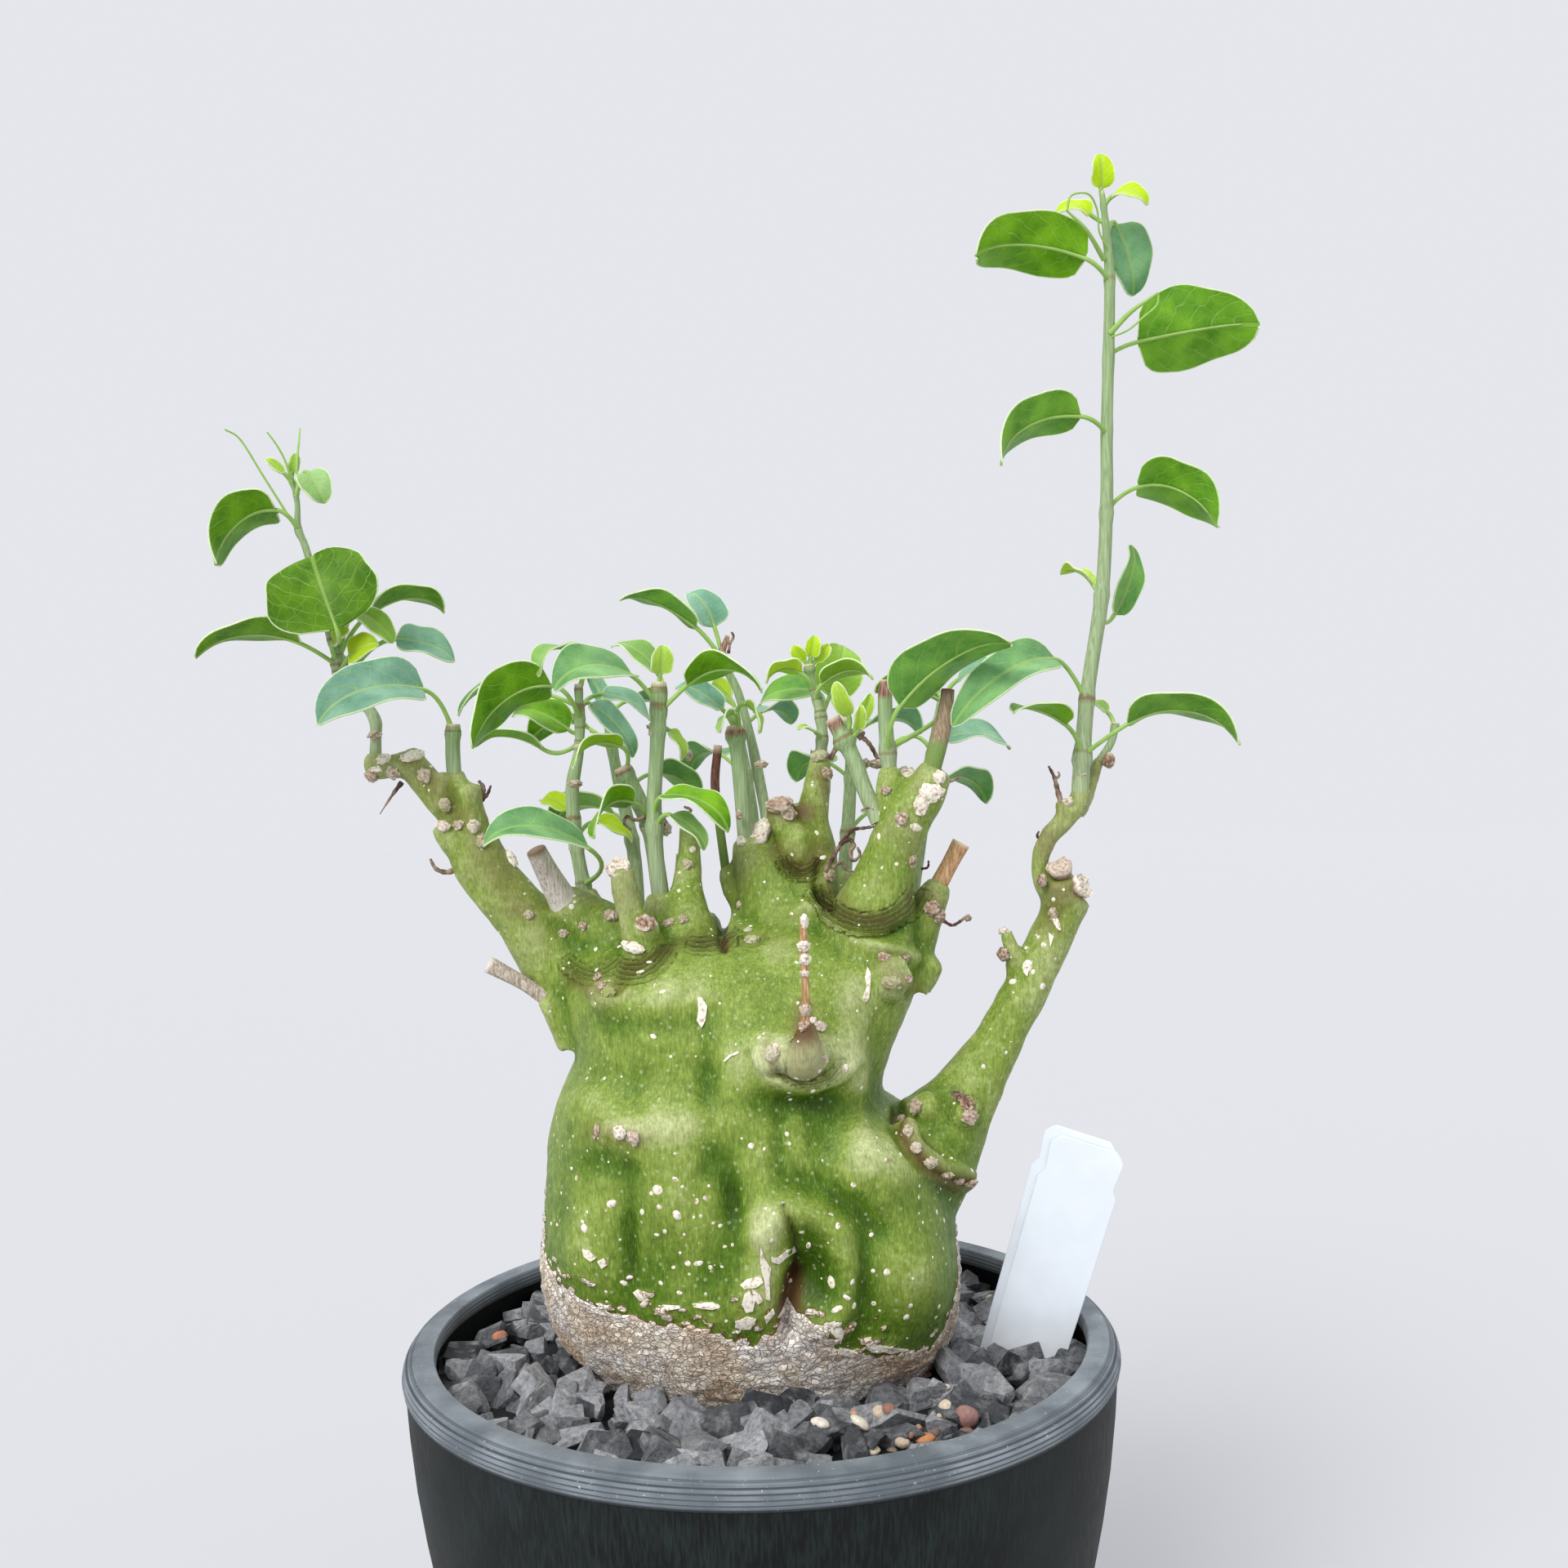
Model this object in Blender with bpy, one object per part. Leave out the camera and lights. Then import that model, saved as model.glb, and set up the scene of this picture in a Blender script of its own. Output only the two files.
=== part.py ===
"""Potted adenia: a swollen green caudex with cut limbs and leafy shoots in a round plastic pot.

Lengths are in millimetres until a mesh is written in metres. The origin is the centre of the
pot's underside, +Z is up, -Y is the front and +X is the right.
"""

import math
import random

import bmesh
import bpy
import numpy as np
from mathutils import Matrix, Vector

MM = 0.001
GAP = 0.35  # clearance between pieces that touch

# Pot: a No. 5 round pot, 150 mm across its rim
POT_HEIGHT = 118.0
POT_SIDES = 32
RIM_RADIUS = 75.0
LIP_RADIUS = 68.8
LIP_FOOT = 113.4
WALL = 2.6
FLOOR_TOP = 4.5
OUTER_WALL = [(1.2, 46.0), (23.0, 54.2), (48.0, 62.6), (72.5, 69.4), (93.0, 73.1), (114.5, RIM_RADIUS)]
INNER_STEPS = (23.0, 60.0, 93.0)
DRAIN_COUNT = 6
DRAIN_RADIUS = 3.5
DRAIN_CIRCLE = 26.0

# Fill: soil, then a layer of slate stones
SOIL_TOP = 104.0
GRAVEL_BED_TOP = 106.8
STONE_COUNT = 80
STONE_SPACING = 9.5
STONE_CORNERS = 7
STONE_LENGTHS = (6.0, 8.2)
STONE_WIDTHS = (4.6, 6.2)
STONE_HEIGHTS = (3.2, 4.6)
STONE_FIELD = (30.0, 66.5)
BARE_OVAL = (42.0, 31.0)
STONE_REACH = 70.0
PEBBLE_COUNT = 10
PEBBLE_SIZES = (1.6, 2.6)
PEBBLE_FIELD_X = (14.0, 46.0)
PEBBLE_FIELD_Y = (-54.0, -34.0)

# Labels: white plastic, leaning to the right
LABEL_WIDTH = 17.0
LABEL_FOOT_WIDTH = 15.0
LABEL_LENGTH = 78.0
LABEL_THICKNESS = 0.8
LABEL_LEAN = math.radians(17.5)
LABEL_TURN = math.radians(-9.0)
LABEL_SHIFT = -1.8
LABEL_FOOT = Vector((47.2, -2.5, 82.0))

# Caudex body: height, then its left, right, front and back reach
BODY_LEVELS = [
    (72.0, -2.5, 2.0, -2.5, 2.5),
    (82.0, -5.5, 5.0, -5.0, 5.5),
    (88.0, -14.0, 12.0, -11.0, 12.0),
    (95.0, -24.0, 22.0, -17.0, 20.0),
    (104.0, -33.0, 32.0, -23.0, 26.0),
    (111.0, -38.5, 38.5, -26.5, 30.0),
    (118.0, -44.0, 41.5, -30.0, 33.0),
    (126.0, -46.5, 42.5, -32.0, 35.0),
    (138.0, -46.5, 41.5, -33.5, 36.0),
    (150.0, -45.5, 41.0, -33.5, 36.0),
    (160.0, -44.5, 35.0, -33.0, 35.0),
    (168.0, -42.5, 27.5, -32.0, 33.0),
    (177.0, -38.5, 29.5, -31.0, 31.0),
    (186.0, -40.5, 33.5, -29.0, 30.0),
    (194.0, -41.0, 36.5, -25.0, 29.0),
    (201.0, -37.0, 34.5, -17.0, 25.0),
    (204.5, -26.0, 27.0, -8.0, 16.0),
    (206.5, -8.0, 12.0, -2.0, 6.0),
]

# Swellings and hollows of the body: centre, reach across and up, height outwards
LUMPS = [
    ((-22, -26, 191), 14, 10, 4.5),
    ((-17, -30, 179), 10, 6, -3.5),
    ((-33, -22, 176), 9, 6, -2.0),
    ((-26, -30, 163), 12, 10, 5.0),
    ((-31, -28, 154), 6, 7, -4.6),
    ((-25, -31, 141), 3.5, 8, -2.6),
    ((-15, -33, 149), 7, 13, 4.2),
    ((-33, -24, 140), 7, 12, 2.4),
    ((-8, -33, 177), 5, 12, -4.5),
    ((-5, -33, 154), 4, 9, -4.2),
    ((10, -32, 181), 9, 8, 6.5),
    ((-1, -33, 168), 4.5, 10, 3.0),
    ((8, -34, 165), 4.5, 10, -5.0),
    ((17, -30, 167), 6, 11, 3.8),
    ((2, -34, 147), 5, 6, 4.6),
    ((-1, -34, 135), 7, 9, 3.6),
    ((7.8, -36, 144), 1.9, 7, -5.5),
    ((6.6, -34, 135), 3.2, 5, -6.0),
    ((3, -33, 126), 5, 6, -2.2),
    ((13.6, -33, 146), 4.6, 6, 4.4),
    ((17.5, -31, 136), 5.5, 9, 4.8),
    ((23, -28, 146), 4, 8, -3.0),
    ((31, -21, 134), 9, 13, 4.2),
    ((26, -25, 157), 9, 7, 3.8),
    ((22, -25, 188), 11, 3, -2.2),
    ((28, -18, 179), 8, 7, -3.0),
    ((-6, -28, 198), 4.5, 12, -6.5),
    ((-8, -12, 206), 4, 6, -3.5),
    ((26, 24, 150), 14, 16, 4.0),
    ((0, 34, 158), 6, 18, -5.0),
    ((-24, 28, 165), 13, 15, 4.5),
    ((-6, 33, 132), 11, 11, 3.5),
    ((18, 26, 190), 10, 10, 4.0),
    ((-22, 22, 193), 10, 9, 3.5),
    ((30, 14, 176), 9, 12, -3.0),
]

# Fleshy limbs, cut stubs and knots that are one with the body: x, y, z, radius along each
LIMBS = {
    "crown_left_lobe": [(-22, -2, 186, 17), (-22, -2, 192, 14)],
    "crown_right_lobe": [(12, 0, 190, 20), (12, 1, 199, 15)],
    "left_limb": [(-26, -2, 186, 13), (-40, -2, 196, 9), (-48, -3, 206, 6.8), (-54, -3, 213, 6.0),
                  (-59, -2, 220, 6.0), (-60, -2, 225, 5.4)],
    "left_knot": [(-63, -2, 220, 4.4), (-60, -3, 227, 5.0), (-59.5, -3, 232, 4.0)],
    "left_branch": [(-60, -2, 226, 4.8), (-66, -2, 232, 4.3), (-71, -2, 238, 4.0), (-74.3, -2, 241.5, 3.9)],
    "left_bulb": [(-73, -2, 240, 3.2), (-77, -1.5, 239.6, 2.6), (-80.3, -1, 239.6, 2.8),
                  (-80.6, -0.6, 242, 2.5)],
    "left_knot_stub": [(-60, -3, 230, 3.6), (-62, -3, 234, 3.0), (-63.2, -3, 237.5, 2.9)],
    "left_shoulder": [(-28, -3, 199, 9), (-36, -4, 206, 6.4), (-40, -7, 210.5, 3.9)],
    "left_socket": [(-33, 3, 202, 6), (-36.8, 6, 208.5, 3.9), (-37, 6, 211.5, 3.4)],
    "front_stub": [(-21, -14, 198, 6), (-23.6, -17, 205, 3.2), (-25.4, -18, 212, 2.6),
                   (-26.3, -18, 218, 2.4)],
    "front_bud": [(-21.5, -16, 203, 3.2), (-21.0, -20.5, 206.3, 2.5)],
    "cut_shoot_sleeve": [(-18, -6, 196, 8), (-19.5, -6, 205, 4.6), (-19.6, -6, 211, 3.2)],
    "middle_stub": [(-14, -8, 193, 9.5), (-14.2, -7, 202, 7.0), (-14, -4, 211, 3.6), (-13.4, -2, 218, 2.7),
                    (-13.2, -2, 226, 2.3)],
    "left_stub_sleeve": [(-19, 4, 196, 7), (-19.8, 4, 206, 4.0), (-20.2, 4, 210, 3.4)],
    "crown_lobe": [(9, 0, 200, 12), (5, 2, 211, 8.6), (1.6, 4, 219, 6.4), (1.0, 4.5, 223, 5.0)],
    "brown_stub_sleeve": [(2, 4, 206, 6), (-3.6, 5, 211, 3.2), (-6, 5.6, 216, 2.4)],
    "twisted_limb": [(11, 0, 206, 8), (13, 1, 217, 5.2), (13, 1, 226, 3.9), (14.6, 2, 234, 3.3),
                     (15.5, 3, 240.5, 3.2)],
    "twisted_knob": [(13, 1, 223, 3.8), (8.6, -1, 223.6, 3.4), (6.6, -1.5, 227.5, 3.2),
                     (6.4, -1.5, 231, 2.8)],
    "front_right_limb": [(23, -8, 198, 11.5), (25.5, -9, 206, 9.0), (29, -10, 217, 6.2),
                         (32.5, -12, 226, 5.6), (36.2, -13, 231.5, 5.0), (39.8, -14, 236.8, 3.6)],
    "limb_flat_cut": [(31.5, -10.5, 223, 5.0), (31.4, -10.5, 235.5, 4.0)],
    "right_stub": [(30, -3, 196, 8), (36, -4, 205, 4.8), (40.2, -4, 212.5, 3.5)],
    "outer_sleeve": [(30, 4, 198, 7), (34.6, 6, 206, 3.6), (35.2, 6.5, 210, 3.0)],
    "right_bud": [(27, -16, 193, 5), (30, -21, 195, 3.0)],
    "right_edge_bud": [(34, -6, 192, 5), (38.5, -8, 196, 2.2)],
    "left_bud": [(-28, -20, 191, 5), (-30.5, -25, 193, 3.0)],
    "lower_left_knot": [(-27, -28, 164, 6), (-27.5, -32, 164.5, 3.6)],
    "navel": [(10, -28, 182, 8), (10, -34, 183, 4.6), (10.2, -36.5, 186.5, 3.0)],
    "navel_bud": [(5, -30, 181, 5), (3.6, -36, 181.5, 3.0)],
    "left_twig_nub": [(-37, -6, 182, 6), (-42, -8, 188, 3.2), (-44, -8, 190.2, 2.6)],
    "right_limb": [(28, -4, 147, 15), (37, -5, 157, 11.5), (44.2, -5, 167, 7.2), (51.2, -5, 178, 5.3),
                   (58, -5, 190, 4.9), (64.2, -5, 202, 4.6), (67.3, -5, 209, 4.9)],
    "right_collar": [(30, -19, 165, 3.0), (31, -21.5, 160, 3.2), (36, -20, 155.5, 3.2),
                     (42, -13, 151, 3.0), (44.5, -8, 149, 2.2)],
    "right_limb_buds": [(42, -9, 164, 4), (44, -13.5, 165.5, 2.6)],
    "right_limb_bud_left": [(37, -10, 164, 5), (34.5, -14, 168, 2.2)],
    "right_limb_stub": [(56.5, -6, 194, 3.4), (54.6, -8, 198, 1.9), (53.2, -8, 202, 1.6)],
    "right_knob": [(65.5, -6, 208, 4.4), (64.6, -8, 213, 3.6)],
    "right_branch": [(65, -5, 209, 4.0), (62.2, -5, 213, 3.0), (61.8, -5, 217, 2.8), (64, -5, 221.5, 2.8),
                     (68, -5, 225.5, 2.9), (70.2, -5, 229, 3.0), (70.2, -5, 231, 2.9)],
    "right_fork": [(69.4, -4, 226.5, 2.8), (72.8, -1.2, 232.5, 2.3), (75.8, 0, 238, 2.4)],
    "back_left_sleeve": [(-22, 12, 192, 8), (-26, 17, 202, 4.2), (-26.6, 18, 206, 3.4)],
    "back_middle_sleeve": [(2, 10, 198, 10), (1, 18, 209, 4.6), (0.6, 19.5, 213.5, 3.5)],
    "back_right_sleeve": [(16, 10, 198, 10), (20, 17, 209, 4.4), (20.6, 18.5, 213, 3.4)],
    "back_left_stub": [(-8, 12, 196, 8), (-9, 17, 208, 3.8), (-9.6, 20, 219, 2.6)],
    "back_right_stub": [(30, 12, 196, 7), (31, 18, 206, 3.6), (34, 24, 215, 2.6)],
    "back_knot": [(-10, 30, 176, 6), (-11, 35, 178, 3.2)],
}

# Section, skin and count of the caudex mesh
FOOT_POWER = 1.85
BODY_POWER = 2.35
FOOT_HEIGHT = 108.0
BODY_SIDES = 120
BODY_ROWS = 84
LIMB_SIDES = 16
VOXEL = 1.15
SMOOTH_STEPS = 5
CAUDEX_TRIANGLES = 2700
SOCKET_DEPTH = 3.6
SOCKET_SIDES = 8

# Leafy stems. "stem" holds x, y, z and radius from the seat upwards. A leaf holds the point that
# its stalk leaves the stem near, the base and tip of its blade, its width, the way its upper
# side looks and how far its midrib bows that way, as a share of its length.
SHOOTS = {
    "tall_right_shoot": {
        "stem": [(70.2, -5, 231, 1.85), (70.7, -4.6, 236, 1.85), (72.8, -3, 253, 1.6),
                 (76.4, -2, 273, 1.5), (78.1, -1, 293, 1.4), (78.7, 0, 309, 1.3), (80, 0, 339, 1.15),
                 (79.6, 0, 351, 0.95), (78.8, 0, 360.5, 0.8)],
        "leaves": [
            ((78.8, 0, 358), (78.6, -0.2, 361), (78.4, -1, 368.3), 4.6, (0.2, -1, 0.1), 0.10),
            ((79, 0, 357), (81, -1, 359), (87.6, -4, 355.4), 5.2, (0, -0.2, 1), 0.30),
            ((79, 0, 353.5), (76.4, 0.5, 355.6), (70.4, 4, 357.8), 5.0, (0, -0.2, 1), 0.20),
            ((79.7, -0.5, 341), (74.2, -3, 345), (48.4, -10, 344.5), 14.5, (0.1, 0.72, 0.65), 0.20),
            ((79.7, 0.5, 350), (81.4, 4, 354.5), (86.8, 8, 340.8), 8.0, (0.5, -0.85, 0.2), 0.10),
            ((79.8, 0, 325), (86.6, 3, 328.6), (111.2, -4, 330.4), 18.5, (0, 0.85, 0.5), 0.06),
            ((78.8, -1, 308), (72.2, -4, 311), (52.4, -12, 300), 12.5, (-0.2, 0.6, 0.75), 0.20),
            ((78.2, 0, 291), (86, 3, 297), (101.8, -5, 287), 14.0, (0.15, 0.6, 0.8), 0.24),
            ((76.2, -2, 269), (81, 7, 269.8), (86.4, 9, 285.6), 7.5, (0.6, -0.8, -0.1), 0.08),
            ((76.5, -2, 273), (75.8, 4, 276), (70, 10, 280), 7.0, (0.3, -0.1, 0.95), 0.15),
            ((72.4, -3, 250), (65, -8, 259), (41.4, -15, 245.6), 12.0, (0.1, -0.72, 0.68), 0.20),
            ((70.8, -4.6, 238), (66.4, -10, 245.2), (54.4, -17, 248.4), 10.0, (-0.2, -0.1, 1), 0.10),
            ((70.8, -4.6, 238.6), (79.6, -10, 245), (102, -17, 241), 12.5, (0.1, 0.35, 0.93), 0.20),
        ],
    },
    "right_stub_leaf": {
        "stem": [(75.6, 0, 237.6, 0.9), (78.2, 0.4, 241.4, 0.85), (79.4, 1, 245.6, 0.8)],
        "leaves": [
            ((79.5, 1, 244.6), (78, 2.4, 248), (72.6, 5, 250), 5.0, (0, -0.3, 1), 0.15),
        ],
    },
    "left_shoot": {
        "stem": [(-80.6, -0.6, 242, 1.5), (-80.5, -0.3, 246.2, 1.5), (-80.6, 0, 249.4, 1.7),
                 (-82, 0, 252.2, 1.4), (-84.6, 1, 253.8, 1.3), (-88.4, 2, 258, 1.5),
                 (-88.9, 2, 263.5, 1.2), (-90.9, 2, 270, 1.1), (-95.5, 3, 287, 1.0), (-97.3, 3, 292, 1.0),
                 (-97.4, 3, 298, 0.85), (-98.8, 3, 303.5, 0.75)],
        "leaves": [
            ((-97.3, 3, 291.6), (-100.8, 0, 295.6), (-112.8, -8, 283), 12.5, (-0.3, 0.55, 0.78), 0.26),
            ((-97.4, 3, 297), (-95.4, 2, 301), (-89.6, 0, 296), 6.0, (0.3, -0.4, 0.85), 0.25),
            ((-98.4, 3, 302), (-99.8, 2, 304), (-103.4, 1, 307), 2.6, (-0.4, -0.5, 0.7), 0.10),
            ((-98.6, 3, 302.5), (-98.6, 4, 304.5), (-98, 5, 309), 2.6, (0.4, -0.9, 0.1), 0.10),
            ((-90.2, 2, 267), (-86.2, -3, 271.4), (-100, -11, 279.2), 20.0, (0.15, -0.78, 0.6), 0.14),
            ((-88.9, 2, 263.5), (-83, 6, 273.4), (-67.6, 14, 275), 10.5, (0.05, 0.3, 0.95), 0.20),
            ((-88.7, 2, 261.5), (-95.6, -2, 266.4), (-117.2, -7, 264.6), 12.0, (0, 0.4, 0.92), 0.18),
            ((-87.6, 1.8, 257.4), (-76.9, 5, 267.6), (-64.6, 9, 263.4), 9.0, (0.2, -0.72, 0.68), 0.10),
            ((-88.6, 2, 260), (-84.8, -2.4, 264.6), (-77.8, -6, 265.2), 5.6, (0, -0.3, 1), 0.10),
        ],
    },
    "left_stub_shoot": {
        "stem": [(-63.2, -3, 237.5, 1.6), (-63.4, -3, 242.5, 1.6), (-63.2, -3, 248.4, 1.5)],
        "leaves": [
            ((-63.3, -3, 246.4), (-68.2, -8, 255.6), (-89.6, -15, 249), 14.0, (0.1, -0.75, 0.66), 0.20),
        ],
    },
    "crown_left_shoot": {
        "stem": [(-37, 6, 211.5, 1.9), (-38.6, 6, 221, 1.7), (-39.3, 6, 231, 1.6), (-39, 6, 236, 1.7),
                 (-37.6, 6, 242.4, 1.4), (-37.3, 6, 248.3, 1.3), (-37.4, 6, 257, 1.1)],
        "leaves": [
            ((-37.4, 6, 249), (-42.6, 0, 256.4), (-58.2, -8, 244), 13.0, (-0.2, 0.62, 0.76), 0.25),
            ((-38, 6, 244), (-46.4, 12, 243), (-62.4, 13, 245), 7.0, (0, 0.25, 0.95), 0.14),
            ((-37.3, 6, 247), (-41, 13.5, 247.4), (-54.4, 18, 252.2), 9.5, (0, -0.6, 0.8), 0.12),
            ((-37.3, 6, 252), (-52.8, 13.6, 257.6), (-66, 12, 251.4), 8.5, (-0.1, -0.2, 0.95), 0.16),
            ((-37.4, 6, 255.4), (-37, 4.4, 263.4), (-45.4, -3, 258.4), 8.0, (-0.3, -0.35, 0.9), 0.30),
            ((-37.3, 6, 249.4), (-35.4, 10, 252.8), (-25.4, 12, 241), 6.5, (0.5, -0.7, 0.5), 0.10),
            ((-37.3, 6, 251), (-33, 13.4, 255), (-22.2, 17, 249.6), 7.5, (0.2, -0.5, 0.84), 0.12),
            ((-37, 6, 213), (-33.6, -14, 221.8), (-54.4, -22, 223.8), 11.0, (0, -0.56, 0.83), 0.20),
            ((-39, 6, 227), (-41.2, 13, 229.4), (-48, 17, 232), 6.0, (-0.1, -0.5, 0.85), 0.10),
            ((-38.6, 6, 221.4), (-34.6, 12.6, 226.4), (-27, 16, 222), 6.0, (0.2, -0.5, 0.85), 0.10),
        ],
    },
    "crown_left_stub": {
        "stem": [(-20.2, 4, 210, 2.0), (-21.2, 3.6, 219, 1.9), (-22.4, 3, 226, 1.9),
                 (-24.6, 2.4, 231.4, 2.0), (-27.8, 1.4, 238.5, 1.9)],
        "leaves": [
            ((-27.2, 1.6, 237), (-27.4, -1.8, 242.8), (-38, -8, 238.8), 7.0, (-0.2, 0.3, 0.93), 0.22),
            ((-22.3, 3, 225.6), (-25.2, -1, 230.8), (-33.4, -12, 224), 9.0, (-0.3, 0.5, 0.8), 0.24),
        ],
    },
    "crown_cut_shoot": {
        "stem": [(-19.6, -6, 211, 1.7), (-20.2, -6, 221, 1.65), (-20.3, -6, 231, 1.6),
                 (-19.6, -6, 240, 1.55), (-19.1, -6, 247, 1.6), (-18.7, -6, 256.2, 1.5)],
        "leaves": [
            ((-18.9, -6, 251), (-24.4, -10, 257.6), (-39.6, -20, 254.6), 12.0, (0, -0.7, 0.7), 0.22),
            ((-18.8, -6, 253), (-19.4, 1, 258.4), (-29.6, 5, 266), 8.0, (0.3, -0.5, 0.8), 0.12),
            ((-18.7, -6, 254.6), (-18.4, -6.2, 258), (-17.6, -7, 264), 5.0, (0.3, -0.95, 0.1), 0.12),
            ((-18.8, -6, 249.4), (-12.6, -7, 255.4), (4, -14, 254), 11.0, (0, 0.35, 0.93), 0.22),
            ((-19.1, -6, 246), (-17, -3, 246), (-14, -2, 239.6), 4.6, (0.8, -0.4, 0.3), 0.10),
            ((-20.2, -6, 226), (-18, -10, 232), (-3.6, -17, 225), 8.5, (0.3, -0.5, 0.8), 0.16),
            ((-20.2, -6, 224.6), (-16.6, -9.6, 228), (-9, -11.6, 221), 6.0, (0.5, -0.5, 0.7), 0.10),
        ],
    },
    "crown_brown_stub": {
        "stem": [(-6, 5.6, 216, 1.0), (-7.4, 6.6, 228, 0.95), (-7.9, 7, 235, 1.0), (-7.1, 8, 242.8, 0.95)],
        "leaves": [],
    },
    "crown_middle_stub": {
        "stem": [(-1.4, 3, 223, 1.7), (-2.2, 3.4, 236, 1.7), (-3.2, 4, 247, 1.65)],
        "leaves": [
            ((-3, 4, 245), (-5.8, 1.6, 250.6), (-15.8, 2.4, 256.2), 7.0, (0, -0.62, 0.78), 0.10),
            ((-3, 4, 245.4), (-0.6, 1, 251.4), (2.6, -3, 245), 5.0, (0.6, 0.2, 0.75), 0.15),
            ((-3, 4, 244), (-3.4, -0.6, 249.4), (-6.4, -5, 245.4), 4.6, (-0.4, 0.2, 0.85), 0.15),
        ],
    },
    "crown_middle_shoot": {
        "stem": [(3.4, 6.6, 223, 1.25), (3.0, 7.4, 228, 1.2), (1.3, 9.6, 238, 1.25),
                 (-0.3, 11, 246.3, 1.0), (-2.7, 12, 255.2, 0.95), (-5.9, 12, 262.3, 0.9),
                 (-4.6, 12.6, 267.5, 0.55)],
        "leaves": [
            ((-5.4, 12, 261), (-11.6, 11, 269.4), (-28, 6, 276.4), 9.5, (0, 0.2, 0.97), 0.10),
            ((-5.8, 12, 262), (-7.6, 13.4, 269.8), (-13, 17, 278.4), 9.0, (0.35, -0.8, 0.5), 0.12),
        ],
    },
    "crown_young_shoot": {
        "stem": [(15.5, 3, 240.5, 1.35), (15.9, 3.4, 245.5, 1.2), (15.3, 4, 251, 1.1),
                 (13.8, 4, 256.4, 0.95), (13.3, 4, 260, 0.8)],
        "leaves": [
            ((14.4, 4, 254), (11.6, 2, 258), (3.4, 0.4, 256.4), 7.0, (0, 0.35, 0.93), 0.22),
            ((15.5, 3.8, 249), (14.6, 9.4, 254.4), (1.4, 16, 252.6), 9.0, (0, -0.7, 0.7), 0.12),
            ((15.2, 4, 252), (16, 1, 255.4), (27.2, -3.4, 256.6), 7.4, (0, 0.42, 0.9), 0.20),
            ((15.6, 3.8, 247.6), (18, 12, 253.6), (22, 17, 265.6), 11.0, (0.2, -0.95, 0.1), 0.10),
            ((13.4, 4, 259), (12.4, 3.6, 260.8), (9.8, 2.6, 264), 3.2, (-0.5, -0.7, 0.4), 0.10),
            ((13.4, 4, 259), (13.8, 3.8, 261.6), (14.8, 3.8, 266.4), 3.6, (0.1, -1, 0.1), 0.10),
            ((13.4, 4, 259), (14.8, 4.8, 260.8), (18, 6, 264.4), 3.0, (0.6, -0.6, 0.5), 0.10),
            ((15.8, 3.2, 243.6), (14.4, 0.6, 245), (10.4, -2, 246), 3.4, (0, -0.3, 0.95), 0.10),
        ],
    },
    "crown_leaning_stub": {
        "stem": [(25.8, -10.6, 228.4, 1.75), (23.8, -9.8, 233.5, 1.75), (21.8, -9.2, 239.4, 1.75),
                 (17.8, -8.6, 247.6, 1.7)],
        "leaves": [
            ((20.4, -9, 243), (21.2, -9.6, 248), (18.4, -12, 255), 3.8, (-0.3, -0.9, 0.2), 0.10),
            ((20.6, -9, 242.8), (23.2, -8.4, 246.4), (26, -9.6, 252.6), 3.4, (0.4, -0.9, 0.2), 0.10),
            ((20.6, -9, 242.8), (23, -11.4, 245), (23.6, -13.6, 250), 2.8, (0.2, -0.95, 0.2), 0.10),
        ],
    },
    "crown_upright_stub": {
        "stem": [(29.4, -9.8, 236.6, 1.6), (28.9, -9.4, 246, 1.55), (28.9, -9.2, 251.7, 1.5),
                 (29, -9.2, 255.4, 1.1)],
        "leaves": [
            ((29.2, -9.6, 239.4), (31.6, -16, 249.6), (53, -27, 262.6), 15.0, (-0.4, 0.7, 0.6), 0.12),
            ((29.1, -9.5, 241), (41, -3, 251.6), (27.4, 3.4, 254.6), 7.5, (0, 0.5, 0.85), 0.12),
        ],
    },
    "crown_right_stub": {
        "stem": [(38.0, -12.6, 236.4, 1.95), (40.2, -11.2, 243.6, 1.9), (41.6, -10.6, 250, 1.5),
                 (42, -10.4, 253, 1.4)],
        "leaves": [],
    },
    "dead_twig_left": {
        "stem": [(-44, -8, 190.2, 1.45), (-48.7, -8, 193.4, 1.3), (-55.8, -8, 197.4, 1.5)],
        "leaves": [],
    },
    "dead_twig_front": {
        "stem": [(10.2, -36.5, 186.5, 1.15), (10.5, -37.6, 193, 1.05), (10.4, -37.8, 203, 1.1),
                 (10.4, -37.6, 208.6, 0.9)],
        "leaves": [],
    },
    "dead_stub_grey": {
        "stem": [(-40, -7, 210.5, 2.1), (-42.4, -9.6, 216, 1.9), (-44.6, -12, 221.4, 1.6)],
        "leaves": [],
    },
    "dead_stub_right": {
        "stem": [(40.2, -4, 212.5, 1.9), (42.4, -4, 216.4, 1.8), (44.8, -4, 220.6, 2.0)],
        "leaves": [],
    },
    "back_left_shoot": {
        "stem": [(-26.6, 18, 206, 1.7), (-27.6, 20.4, 220, 1.6), (-31, 23, 236, 1.4), (-33, 25, 247, 1.1),
                 (-33.6, 26, 253, 0.8)],
        "leaves": [
            ((-28, 20.6, 222), (-32.6, 26, 228), (-49, 33, 226), 11.0, (-0.1, 0.5, 0.85), 0.20),
            ((-30, 22.4, 232), (-24, 27, 237), (-13, 34, 231), 10.0, (0.2, 0.55, 0.8), 0.20),
            ((-32.4, 24.4, 243), (-38, 29, 248), (-54, 36, 246), 11.5, (-0.1, 0.5, 0.85), 0.20),
            ((-33.4, 25.6, 250), (-30, 29, 254), (-20, 33, 252), 8.0, (0.2, 0.4, 0.9), 0.20),
            ((-33.6, 26, 252), (-34.4, 26.6, 254.6), (-38, 28, 261), 5.0, (0.3, 0.9, 0.3), 0.10),
        ],
    },
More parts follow.
